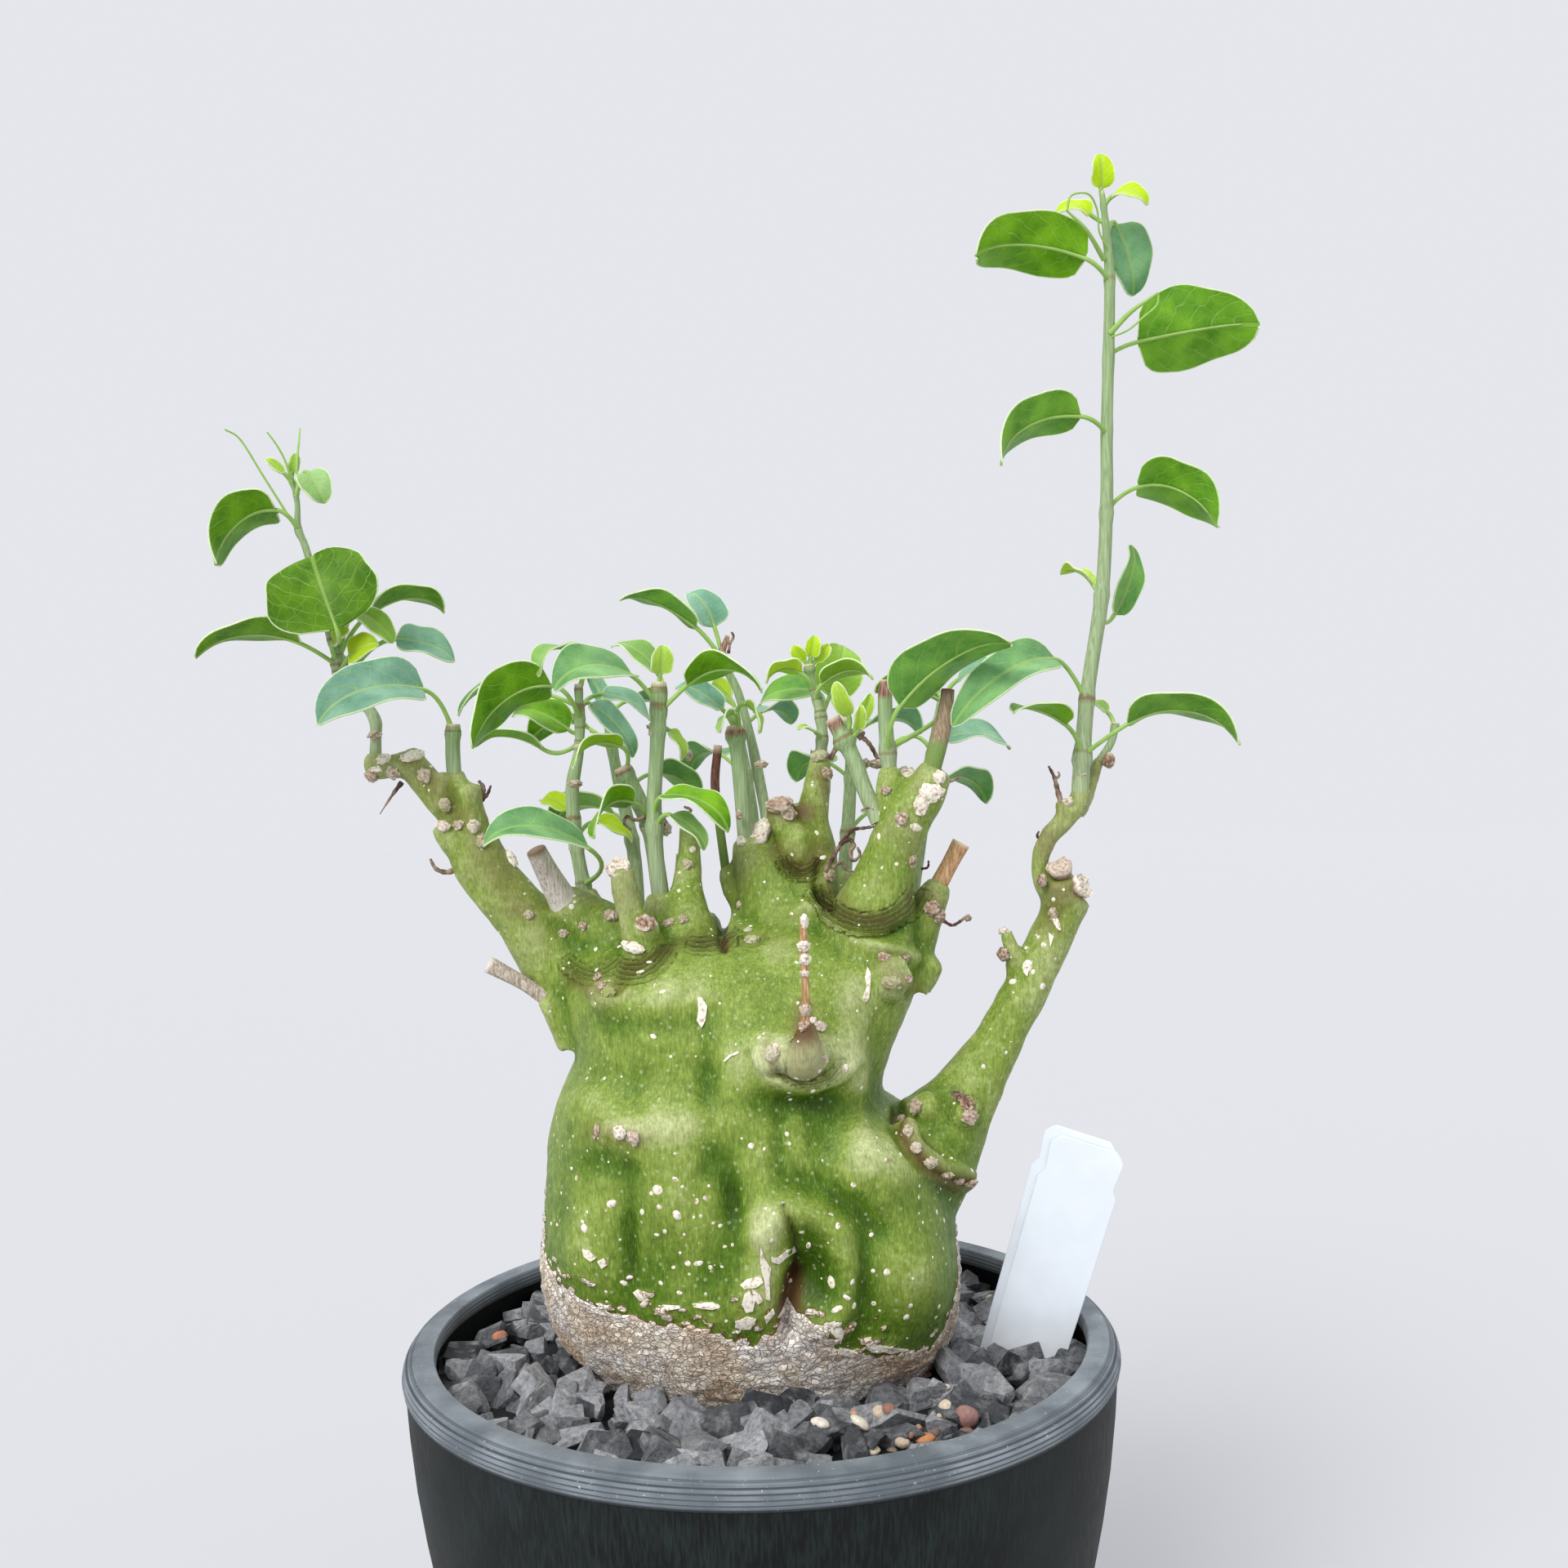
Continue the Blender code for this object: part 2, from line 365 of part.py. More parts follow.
    "back_middle_shoot": {
        "stem": [(0.6, 19.5, 213.5, 1.75), (-0.4, 23, 228, 1.6), (-2.6, 27, 243, 1.3), (-4, 29, 252, 0.9)],
        "leaves": [
            ((0, 21.6, 222), (6, 28, 228), (14, 42, 223), 11.5, (0.25, 0.5, 0.83), 0.20),
            ((-1.4, 25, 236), (-7, 31, 241), (-16, 44, 238), 11.0, (-0.2, 0.5, 0.83), 0.20),
            ((-3, 27.6, 246), (2, 31.6, 251), (10, 41, 249), 9.0, (0.25, 0.5, 0.85), 0.20),
            ((-3.8, 28.8, 250.6), (-4.6, 30, 254), (-9, 35, 258.6), 6.0, (-0.3, 0.7, 0.6), 0.12),
        ],
    },
    "back_right_shoot": {
        "stem": [(20.6, 18.5, 213, 1.7), (22, 21.6, 226, 1.55), (23, 26, 240, 1.3), (22, 28.6, 249, 0.9)],
        "leaves": [
            ((21.6, 20.6, 222), (27, 27, 227), (40, 37, 223), 11.5, (0.25, 0.45, 0.85), 0.20),
            ((22.6, 24.4, 235), (17.6, 30, 239), (10, 42, 235), 10.0, (-0.2, 0.55, 0.8), 0.20),
            ((22.6, 27.2, 244), (28, 30, 248), (41, 37, 246), 9.5, (0.2, 0.45, 0.88), 0.18),
            ((22.1, 28.2, 247.8), (21.6, 29.6, 251), (19, 33, 257), 5.4, (0.2, 0.8, 0.5), 0.12),
        ],
    },
    "back_outer_shoot": {
        "stem": [(35.2, 6.5, 210, 1.5), (37.4, 8.6, 222, 1.45), (39.6, 12, 235, 1.3), (42.4, 15, 248, 1.0),
                 (43.6, 16, 253.6, 0.8)],
        "leaves": [
            ((40.4, 13, 239), (44, 17.6, 243.4), (60, 21, 241.6), 9.0, (0.1, -0.5, 0.86), 0.14),
            ((39, 10.8, 231), (43.4, 16, 234), (55, 27, 229), 10.0, (0.2, 0.45, 0.87), 0.20),
            ((42.2, 14.8, 247), (47, 15.4, 256.6), (58, 12, 259), 6.5, (0.1, -0.55, 0.83), 0.14),
            ((43.4, 16, 252.8), (42.6, 17, 256.6), (49, 20, 263), 6.0, (-0.5, 0.6, 0.6), 0.12),
            ((40.8, 13.4, 240.6), (36, 16.4, 244), (31, 15, 236.6), 6.0, (-0.6, -0.2, 0.7), 0.14),
        ],
    },
}

STEM_SIDES = 6
PETIOLE_RADIUS = 0.68
LEAF_EDGE = 0.62
LEAF_MIDRIB = 1.0
LEAF_FOLD = math.radians(16.0)
LARGE_LEAF = 15.0
LONG_STALK = 10.5

# Blade outline: distance from its base as a share of its length, half width as a share of the widest
LARGE_OUTLINE = [(0.0, 0.14), (0.09, 0.68), (0.38, 1.0), (0.79, 0.70), (1.0, 0.12)]
SMALL_OUTLINE = [(0.0, 0.2), (0.24, 0.92), (0.70, 0.82), (1.0, 0.14)]

# Needle faces shorter or flatter than this are closed up, at the first size that leaves no opening
SLIVER_SIZES = (0.02, 0.01, 0.005)
SLIVER_ROUNDS = 4

COLOURS = {
    "pot": (0.020, 0.022, 0.022, 0.55),
    "soil": (0.035, 0.024, 0.016, 0.95),
    "gravel": (0.045, 0.048, 0.052, 0.85),
    "label": (0.80, 0.82, 0.84, 0.40),
    "caudex": (0.19, 0.32, 0.06, 0.55),
    "shoot": (0.14, 0.30, 0.05, 0.50),
    "dead": (0.30, 0.22, 0.15, 0.90),
}


def remove_all_objects():
    for obj in list(bpy.data.objects):
        bpy.data.objects.remove(obj)


def material(name, kind):
    red, green, blue, roughness = COLOURS[kind]
    made = bpy.data.materials.new(name)
    made.use_nodes = True
    shader = made.node_tree.nodes["Principled BSDF"]
    shader.inputs["Base Color"].default_value = (red, green, blue, 1.0)
    shader.inputs["Roughness"].default_value = roughness
    shader.inputs["Metallic"].default_value = 0.0
    return made


def add_mesh(name, points, faces, kind=None):
    """An object from points in millimetres, with its faces turned outwards."""
    mesh = bpy.data.meshes.new(name)
    mesh.from_pydata([Vector(p) * MM for p in points], [], faces)
    work = bmesh.new()
    work.from_mesh(mesh)
    bmesh.ops.recalc_face_normals(work, faces=work.faces)
    work.to_mesh(mesh)
    work.free()
    obj = bpy.data.objects.new(name, mesh)
    bpy.context.scene.collection.objects.link(obj)
    if kind:
        mesh.materials.append(material(name, kind))
    return obj


def apply_modifiers(obj):
    view = bpy.context.evaluated_depsgraph_get()
    done = bpy.data.meshes.new_from_object(obj.evaluated_get(view))
    old = obj.data
    obj.modifiers.clear()
    obj.data = done
    bpy.data.meshes.remove(old)


def boolean_with(obj, pieces, operation, solver="EXACT"):
    """Joins the pieces to the object, or cuts them out of it, and removes them."""
    if not pieces:
        return
    group = bpy.data.collections.new(obj.name + "_pieces")
    for piece in pieces:
        group.objects.link(piece)
    change = obj.modifiers.new("boolean", "BOOLEAN")
    change.operation = operation
    change.operand_type = "COLLECTION"
    change.collection = group
    change.solver = solver
    apply_modifiers(obj)
    for piece in pieces:
        bpy.data.objects.remove(piece)
    bpy.data.collections.remove(group)


def keep_main_body(obj):
    """Drops the loose scraps that a cut leaves."""
    work = bmesh.new()
    work.from_mesh(obj.data)
    left = set(work.verts)
    bodies = []
    while left:
        body = {left.pop()}
        edge = list(body)
        while edge:
            near = {link.other_vert(vert) for vert in edge for link in vert.link_edges}
            edge = list(near - body)
            body |= near
        left -= body
        bodies.append(body)
    main = max(bodies, key=len)
    bmesh.ops.delete(work, geom=[vert for vert in work.verts if vert not in main], context="VERTS")
    work.to_mesh(obj.data)
    work.free()


def drop_slivers(obj):
    """Closes up the needle faces that a union or a cut leaves, as far as the mesh stays closed."""
    for size in SLIVER_SIZES:
        work = bmesh.new()
        work.from_mesh(obj.data)
        bmesh.ops.triangulate(work, faces=work.faces)
        for _ in range(SLIVER_ROUNDS):
            bmesh.ops.dissolve_degenerate(work, dist=size * MM, edges=work.edges)
            bmesh.ops.triangulate(work, faces=work.faces)
        closed = all(edge.is_manifold for edge in work.edges)
        if closed:
            work.to_mesh(obj.data)
        work.free()
        if closed:
            return


def shade_round(obj, angle=40.0):
    obj.data.shade_smooth()
    obj.data.set_sharp_from_angle(angle=math.radians(angle))


def lathe(name, profile, sides, kind=None):
    """Turns a profile of (radius, height) from the axis, outwards and back to the axis."""
    points = [(0, 0, profile[0][1])]
    rings = []
    for radius, height in profile[1:-1]:
        rings.append(len(points))
        for step in range(sides):
            turn = math.tau * step / sides
            points.append((radius * math.cos(turn), radius * math.sin(turn), height))
    points.append((0, 0, profile[-1][1]))
    last = len(points) - 1
    faces = []
    for step in range(sides):
        after = (step + 1) % sides
        faces.append((0, rings[0] + after, rings[0] + step))
        faces.append((last, rings[-1] + step, rings[-1] + after))
        for low, high in zip(rings, rings[1:]):
            faces.append((low + step, low + after, high + after, high + step))
    return add_mesh(name, points, faces, kind)


def ring_frame(direction, hint):
    """Two unit vectors square to a direction, the second one nearest to the hint."""
    up = hint - direction * hint.dot(direction)
    if up.length < 1e-4:
        up = direction.orthogonal()
    up.normalize()
    return direction.cross(up), up


def path_directions(points):
    directions = []
    for index, _ in enumerate(points):
        before = points[max(index - 1, 0)]
        after = points[min(index + 1, len(points) - 1)]
        directions.append((after - before).normalized())
    return directions


def loft(name, rings, kind=None):
    """Closed solid through rings of equal count, each quad split the same way."""
    count = len(rings[0])
    points = [point for ring in rings for point in ring]
    faces = [tuple(reversed(range(count)))]
    for row in range(len(rings) - 1):
        for step in range(count):
            low = row * count + step
            low_next = row * count + (step + 1) % count
            faces.append((low, low_next, low_next + count))
            faces.append((low, low_next + count, low + count))
    faces.append(tuple(range((len(rings) - 1) * count, len(rings) * count)))
    return add_mesh(name, points, faces, kind)


def tube(name, route, sides, kind=None):
    """Round solid along a route of x, y, z and radius."""
    hint = Vector((0.2, -1.0, 0.1))
    points = [Vector(stop[:3]) for stop in route]
    rings = []
    for centre, direction, stop in zip(points, path_directions(points), route):
        side, up = ring_frame(direction, hint)
        ring = []
        for step in range(sides):
            turn = math.tau * step / sides
            ring.append(centre + (side * math.cos(turn) + up * math.sin(turn)) * stop[3])
        rings.append(ring)
    return loft(name, rings, kind)


def smooth_route(route, steps):
    """A finer route through the same stops, curved by the Catmull-Rom rule."""
    stops = [Vector(stop) for stop in route]
    stops = [stops[0] * 2 - stops[1]] + stops + [stops[-1] * 2 - stops[-2]]
    fine = []
    for a, b, c, d in zip(stops, stops[1:], stops[2:], stops[3:]):
        for step in range(steps):
            t = step / steps
            square = (a * 2 - b * 5 + c * 4 - d) * t ** 2
            cube = (b * 3 - a - c * 3 + d) * t ** 3
            fine.append((b * 2 + (c - a) * t + square + cube) * 0.5)
    fine.append(stops[-2])
    return [tuple(stop) for stop in fine]


def nearest_on_route(route, point):
    best = None
    for start, end in zip(route, route[1:]):
        a, b = Vector(start[:3]), Vector(end[:3])
        share = max(0.0, min(1.0, (point - a).dot(b - a) / (b - a).length_squared))
        foot = a + (b - a) * share
        if best is None or (foot - point).length < (best - point).length:
            best = foot
    return best


def quadratic(a, b, c, share):
    return a * (1 - share) ** 2 + b * 2 * share * (1 - share) + c * share ** 2


def leaf(name, stem, spec):
    """Petiole and blade in one solid: a six-sided section that widens into a folded blade."""
    near, base, tip, width, upper, arch = spec
    base, tip, upper = Vector(base), Vector(tip), Vector(upper).normalized()
    root = nearest_on_route(stem, Vector(near))
    length = (tip - base).length
    crown = (base + tip) * 0.5 + upper * arch * 2 * length
    bend = base - (crown - base).normalized() * (base - root).length * 0.4
    rings = []
    stalk_shares = (0.0, 0.6) if (base - root).length > LONG_STALK else (0.0,)
    for share in stalk_shares:
        centre = quadratic(root, bend, base, share)
        direction = (quadratic(root, bend, base, share + 0.3) - centre).normalized()
        side, up = ring_frame(direction, upper)
        corners = [math.radians(degrees) for degrees in (150, 90, 30, -30, -90, -150)]
        rings.append([centre + (side * math.cos(turn) + up * math.sin(turn)) * PETIOLE_RADIUS
                      for turn in corners])
    outline = LARGE_OUTLINE if length > LARGE_LEAF else SMALL_OUTLINE
    for share, spread in outline:
        centre = quadratic(base, crown, tip, share)
        ahead = quadratic(base, crown, tip, share + 0.02)
        behind = quadratic(base, crown, tip, share - 0.02)
        direction = (ahead - behind).normalized()
        side, up = ring_frame(direction, upper)
        half = max(spread * width * 0.5, 0.5)
        left = side * -math.cos(LEAF_FOLD) + up * math.sin(LEAF_FOLD)
        right = side * math.cos(LEAF_FOLD) + up * math.sin(LEAF_FOLD)
        left_up = side * math.sin(LEAF_FOLD) + up * math.cos(LEAF_FOLD)
        right_up = side * -math.sin(LEAF_FOLD) + up * math.cos(LEAF_FOLD)
        rings.append([
            centre + left * half + left_up * LEAF_EDGE * 0.5,
            centre + up * LEAF_MIDRIB * 0.5,
            centre + right * half + right_up * LEAF_EDGE * 0.5,
            centre + right * half - right_up * LEAF_EDGE * 0.5,
            centre - up * LEAF_MIDRIB * 0.5,
            centre + left * half - left_up * LEAF_EDGE * 0.5,
        ])
    return loft(name, rings)


def make_shoot(name, spec):
    """A stem seated in the caudex, with its leaves fused on."""
    route = spec["stem"]
    kind = "shoot" if spec["leaves"] else "dead"
    start = Vector(route[0][:3])
    onward = (Vector(route[1][:3]) - start).normalized()
    foot = start - onward * (SOCKET_DEPTH - GAP)
    stem_route = [(*foot, route[0][3])] + list(route)
    stem = tube(name, stem_route, STEM_SIDES, kind)
    leaves = [leaf(f"{name}_leaf_{number}", stem_route, item) for number, item in enumerate(spec["leaves"])]
    boolean_with(stem, leaves, "UNION", "MANIFOLD")
    keep_main_body(stem)
    drop_slivers(stem)
    shade_round(stem)
    return stem


def socket_cutter(name, spec):
    """The plain round hole that a stem stands in."""
    start = Vector(spec["stem"][0][:3])
    onward = (Vector(spec["stem"][1][:3]) - start).normalized()
    radius = (spec["stem"][0][3] + GAP) / math.cos(math.pi / SOCKET_SIDES)
    low = start - onward * SOCKET_DEPTH
    high = start + onward * 5.0
    return tube(name + "_socket", [(*low, radius), (*high, radius)], SOCKET_SIDES)


def body_reach(height):
    """Left, right, front and back reach of the body at a height, on a smooth curve."""
    levels = BODY_LEVELS
    index = 0
    while index < len(levels) - 2 and height > levels[index + 1][0]:
        index += 1
    before = levels[max(index - 1, 0)]
    low, high = levels[index], levels[index + 1]
    after = levels[min(index + 2, len(levels) - 1)]
    span = high[0] - low[0]
    t = (height - low[0]) / span
    reach = []
    for side in range(1, 5):
        slope_low = (high[side] - before[side]) / max(high[0] - before[0], 1e-6) * span
        slope_high = (after[side] - low[side]) / max(after[0] - low[0], 1e-6) * span
        reach.append((2 * t ** 3 - 3 * t ** 2 + 1) * low[side] + (t ** 3 - 2 * t ** 2 + t) * slope_low
                     + (3 * t ** 2 - 2 * t ** 3) * high[side] + (t ** 3 - t ** 2) * slope_high)
    return reach


def body_rings(low, high, rows, sides, grow=0.0):
    """Rings of the body: squarish ovals pushed in and out by the lumps."""
    rings = []
    for row in range(rows + 1):
        height = low + (high - low) * row / rows
        left, right, front, back = body_reach(height)
        centre = np.array([(left + right) / 2, (front + back) / 2])
        half = np.array([(right - left) / 2 + grow, (back - front) / 2 + grow])
        rise = min(max((height - FOOT_HEIGHT) / 30.0, 0.0), 1.0)
        power = FOOT_POWER + (BODY_POWER - FOOT_POWER) * rise
        ring = []
        for step in range(sides):
            turn = math.tau * step / sides
            aim = np.array([math.cos(turn), math.sin(turn)])
            squareness = (abs(aim[0]) ** power + abs(aim[1]) ** power) ** (-1 / power)
            flat = centre + aim * half * squareness
            push = 0.0
            for (x, y, z), across, up, out in LUMPS:
                away = ((flat[0] - x) / across) ** 2 + ((flat[1] - y) / (across + 6.0)) ** 2
                push += out * math.exp(-away - ((height - z) / up) ** 2)
            flat = flat + aim * push
            ring.append(Vector((flat[0], flat[1], height)))
        rings.append(ring)
    return rings


def make_caudex():
    """Body and limbs melted into one skin, thinned, and bored for the stems that stand in it."""
    rings = body_rings(BODY_LEVELS[0][0], BODY_LEVELS[-1][0], BODY_ROWS, BODY_SIDES)
    body = loft("caudex", rings, "caudex")
    work = bmesh.new()
    work.from_mesh(body.data)
    for name, route in LIMBS.items():
        limb = tube(name, smooth_route(route, 4), LIMB_SIDES)
        work.from_mesh(limb.data)
        bpy.data.objects.remove(limb)
    work.to_mesh(body.data)
    work.free()
    melt = body.modifiers.new("melt", "REMESH")
    melt.mode = "VOXEL"
    melt.voxel_size = VOXEL * MM
    soften = body.modifiers.new("soften", "SMOOTH")
    soften.factor = 0.5
    soften.iterations = SMOOTH_STEPS
    apply_modifiers(body)
    thin = body.modifiers.new("thin", "DECIMATE")
    thin.ratio = CAUDEX_TRIANGLES / (2.0 * len(body.data.polygons))
    apply_modifiers(body)
    boolean_with(body, [socket_cutter(name, spec) for name, spec in SHOOTS.items()], "DIFFERENCE")
    keep_main_body(body)
    drop_slivers(body)
    shade_round(body, 60.0)
    return body


def buried_body(name, low, high, rows):
    """The part of the body near the soil, a little larger, to cut its hollow."""
    return loft(name, body_rings(low, high, rows, 28, GAP + 0.6))


def inner_wall(height):
    """Inner radius of the pot's wall at a height."""
    for (low, small), (high, large) in zip(OUTER_WALL, OUTER_WALL[1:]):
        if height <= high:
            return small + (large - small) * (height - low) / (high - low) - WALL
    return RIM_RADIUS - WALL


def make_pot():
    outside = [(radius, height) for height, radius in OUTER_WALL]
    inside = [(inner_wall(height), height) for height in reversed(INNER_STEPS)]
    under = [(0, 0), (12, 0), (13.2, 1.8), (38, 1.8), (39.4, 0), (44.8, 0)]
    lip = [(74.2, 117.4), (72.4, POT_HEIGHT), (69.4, POT_HEIGHT), (LIP_RADIUS, 117.2), (LIP_RADIUS, 115.0),
           (inner_wall(LIP_FOOT), LIP_FOOT)]
    corner = [(45.0, 6.6), (43.4, FLOOR_TOP), (0, FLOOR_TOP)]
    pot = lathe("pot", under + outside + lip + inside + corner, POT_SIDES, "pot")
    drains = []
    for number in range(DRAIN_COUNT):
        turn = math.tau * (number + 0.5) / DRAIN_COUNT
        x, y = DRAIN_CIRCLE * math.cos(turn), DRAIN_CIRCLE * math.sin(turn)
        drains.append(tube("drain", [(x, y, -2, DRAIN_RADIUS), (x, y, 8, DRAIN_RADIUS)], 8))
    boolean_with(pot, drains, "DIFFERENCE")
    drop_slivers(pot)
    shade_round(pot, 30.0)
    return pot


def make_soil():
    foot = FLOOR_TOP + GAP
    side = [(inner_wall(height) - GAP, height) for height in (*INNER_STEPS, SOIL_TOP)]
    profile = [(0, foot), (43.0, foot), (44.7, 6.9)] + side + [(0, SOIL_TOP)]
    soil = lathe("soil", profile, POT_SIDES, "soil")
    boolean_with(soil, [buried_body("soil_hollow", 71.4, 112.0, 8)] + label_slots(), "DIFFERENCE")
    drop_slivers(soil)
    shade_round(soil, 30.0)
    return soil


def stone(name, centre, size, rng, corners=STONE_CORNERS, rough=0.45):
    """An angular chip: the hull of a few points on a flattened, turned box."""
    points = []
    turn = Matrix.Rotation(rng.uniform(0, math.tau), 3, "Z")
    turn = turn @ Matrix.Rotation(rng.uniform(-0.5, 0.5), 3, "X")
    for _ in range(corners):
        aim = Vector([rng.gauss(0, 1) for _ in range(3)]).normalized()
        aim /= max(abs(aim.x), abs(aim.y), abs(aim.z)) ** (1 - rough)
        points.append(centre + turn @ Vector((aim.x * size[0], aim.y * size[1], aim.z * size[2])))
    work = bmesh.new()
    for point in points:
        work.verts.new(point)
    hull = bmesh.ops.convex_hull(work, input=work.verts)
    inside = [item for item in hull["geom_interior"] if isinstance(item, bmesh.types.BMVert)]
    bmesh.ops.delete(work, geom=inside, context="VERTS")
    bmesh.ops.triangulate(work, faces=work.faces)
    work.verts.index_update()
    verts = [vert.co.copy() for vert in work.verts]
    faces = [tuple(vert.index for vert in face.verts) for face in work.faces]
    work.free()
    return add_mesh(name, verts, faces)


def stone_places(rng):
    """Spots in the ring between caudex and lip, a little apart from each other."""
    places = []
    tries = 0
    while len(places) < STONE_COUNT and tries < 20000:
        tries += 1
        radius = math.sqrt(rng.uniform(STONE_FIELD[0] ** 2, STONE_FIELD[1] ** 2))
        turn = rng.uniform(0, math.tau)
        spot = Vector((radius * math.cos(turn), radius * math.sin(turn)))
        if (spot.x / BARE_OVAL[0]) ** 2 + (spot.y / BARE_OVAL[1]) ** 2 < 1.0:
            continue
        if all((spot - other).length > STONE_SPACING for other in places):
            places.append(spot)
    return places


def make_gravel():
    """A bed with chips standing out of it all over, in one solid, with pebbles at the right front."""
    rng = random.Random(11)
    bottom = SOIL_TOP + GAP
    side = inner_wall(SOIL_TOP) - GAP
    profile = [(0, bottom), (side, bottom), (side, GRAVEL_BED_TOP - 0.6), (52, GRAVEL_BED_TOP),
               (0, GRAVEL_BED_TOP + 2.2)]
    gravel = lathe("gravel", profile, POT_SIDES, "gravel")
    stones = []
    for spot in stone_places(rng):
        size = (rng.uniform(*STONE_LENGTHS), rng.uniform(*STONE_WIDTHS), rng.uniform(*STONE_HEIGHTS))
        if spot.length + size[0] > STONE_REACH:
            spot = spot * ((STONE_REACH - size[0]) / spot.length)
        lift = 1.6 * (1.0 - spot.length / STONE_REACH)
        centre = Vector((spot.x, spot.y, GRAVEL_BED_TOP + lift + rng.uniform(0.2, 1.6)))
        stones.append(stone("stone", centre, size, rng))
    for _ in range(PEBBLE_COUNT):
        spot = Vector((rng.uniform(*PEBBLE_FIELD_X), rng.uniform(*PEBBLE_FIELD_Y)))
        size = rng.uniform(*PEBBLE_SIZES)
        centre = Vector((spot.x, spot.y, GRAVEL_BED_TOP + rng.uniform(3.0, 3.8)))
        stones.append(stone("pebble", centre, (size, size * 0.9, size * 0.85), rng, 9, 1.0))
    boolean_with(gravel, stones, "UNION")
    under = tube("under_gravel", [(0, 0, 92, 80), (0, 0, bottom, 80)], POT_SIDES)
    around = lathe("around_gravel", [(0, 80), (90, 80), (90, 130), (0, 130)], POT_SIDES)
    inside = lathe("inside_wall", [(0, 79), (side, 79), (side, 131), (0, 131)], POT_SIDES)
    boolean_with(around, [inside], "DIFFERENCE")
    hollow = buried_body("gravel_hollow", 98.0, 124.0, 4)
    boolean_with(gravel, [under, around, hollow] + label_slots(), "DIFFERENCE")
    keep_main_body(gravel)
    drop_slivers(gravel)
    shade_round(gravel, 20.0)
    return gravel


def label_outline(width, foot_width):
    """A tag with cut corners, small shoulder notches and a pointed foot, seen from the front."""
    half, foot, top = width / 2, foot_width / 2, LABEL_LENGTH
    right = [(foot, 12), (half, top - 9.4), (half - 1.0, top - 8.6), (half - 0.6, top - 2.4),
             (half - 2.6, top)]
    left = [(-x, z) for x, z in reversed(right)]
    return [(0, 0)] + right + left


def label_frame(shift, back):
    """Places a label: leaning to the right, turned slightly to face the front left."""
    lean = Matrix.Rotation(LABEL_LEAN, 4, "Y")
    turn = Matrix.Rotation(LABEL_TURN, 4, "Z")
    offset = Matrix.Translation(Vector((shift, back, shift * -0.8)))
    return Matrix.Translation(LABEL_FOOT) @ turn @ lean @ offset


def make_label(name, shift, back, kind="label", grow=0.0):
    place = label_frame(shift, back)
    deep = LABEL_THICKNESS / 2 + grow
    outline = label_outline(LABEL_WIDTH + 2 * grow, LABEL_FOOT_WIDTH + 2 * grow)
    front = [place @ Vector((x, -deep, z)) for x, z in outline]
    rear = [place @ Vector((x, deep, z)) for x, z in outline]
    return loft(name, [front, rear], kind)


def label_slots():
    """One slot for the pair of labels, cut in soil and gravel."""
    half = LABEL_WIDTH / 2 + 1.6
    place = label_frame(LABEL_SHIFT / 2, 0.6)
    deep = LABEL_THICKNESS + 0.6
    outline = [(-half, -3.0), (half, -3.0), (half, 40.0), (-half, 40.0)]
    front = [place @ Vector((x, -deep, z)) for x, z in outline]
    rear = [place @ Vector((x, deep, z)) for x, z in outline]
    return [loft("label_slot", [front, rear])]


remove_all_objects()
make_pot()
make_soil()
make_gravel()
make_label("label_front", 0.0, 0.0)
make_label("label_back", LABEL_SHIFT, LABEL_THICKNESS + GAP)
make_caudex()
for shoot_name, shoot in SHOOTS.items():
    make_shoot(shoot_name, shoot)
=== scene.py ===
import math
import random

import bpy
import numpy as np
from mathutils import Matrix, Vector, noise
from mathutils.bvhtree import BVHTree


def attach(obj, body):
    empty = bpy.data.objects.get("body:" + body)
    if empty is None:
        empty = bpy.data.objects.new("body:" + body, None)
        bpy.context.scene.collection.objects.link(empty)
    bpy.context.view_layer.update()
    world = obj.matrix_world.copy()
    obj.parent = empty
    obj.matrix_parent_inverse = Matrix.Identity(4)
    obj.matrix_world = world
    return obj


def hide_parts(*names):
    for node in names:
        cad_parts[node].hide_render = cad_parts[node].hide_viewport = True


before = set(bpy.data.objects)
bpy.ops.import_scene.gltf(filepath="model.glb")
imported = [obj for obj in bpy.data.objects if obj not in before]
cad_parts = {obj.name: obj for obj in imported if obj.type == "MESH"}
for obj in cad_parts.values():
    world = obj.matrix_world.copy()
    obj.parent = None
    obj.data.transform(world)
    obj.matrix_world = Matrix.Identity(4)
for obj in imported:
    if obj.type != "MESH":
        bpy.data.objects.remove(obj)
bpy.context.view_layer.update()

# Camera and light. The photograph looks level at the crown of the plant from 33 cm, with the
# camera turned a little clockwise. Daylight is soft and comes from the upper left and front.
MM = 0.001
PHOTO_SIZE = 1920
PHOTO_REACH = 1860.0  # the lens's focal length, in pixels of the photograph
CAMERA_PLACE = Vector((7.3, -328.0, 234.0))
CAMERA_ROLL = math.radians(1.29)


def linear(colour):
    """The linear values of an sRGB hex colour."""
    parts = [int(colour[at:at + 2], 16) / 255 for at in (0, 2, 4)]
    return tuple(c / 12.92 if c <= 0.04045 else ((c + 0.055) / 1.055) ** 2.4 for c in parts) + (1.0,)


def new_material(name, **values):
    """A Principled material; its constant values go straight on the shader's sockets."""
    material = bpy.data.materials.new(name)
    material.use_nodes = True
    for socket, value in values.items():
        material.node_tree.nodes["Principled BSDF"].inputs[socket.replace("_", " ")].default_value = value
    return material


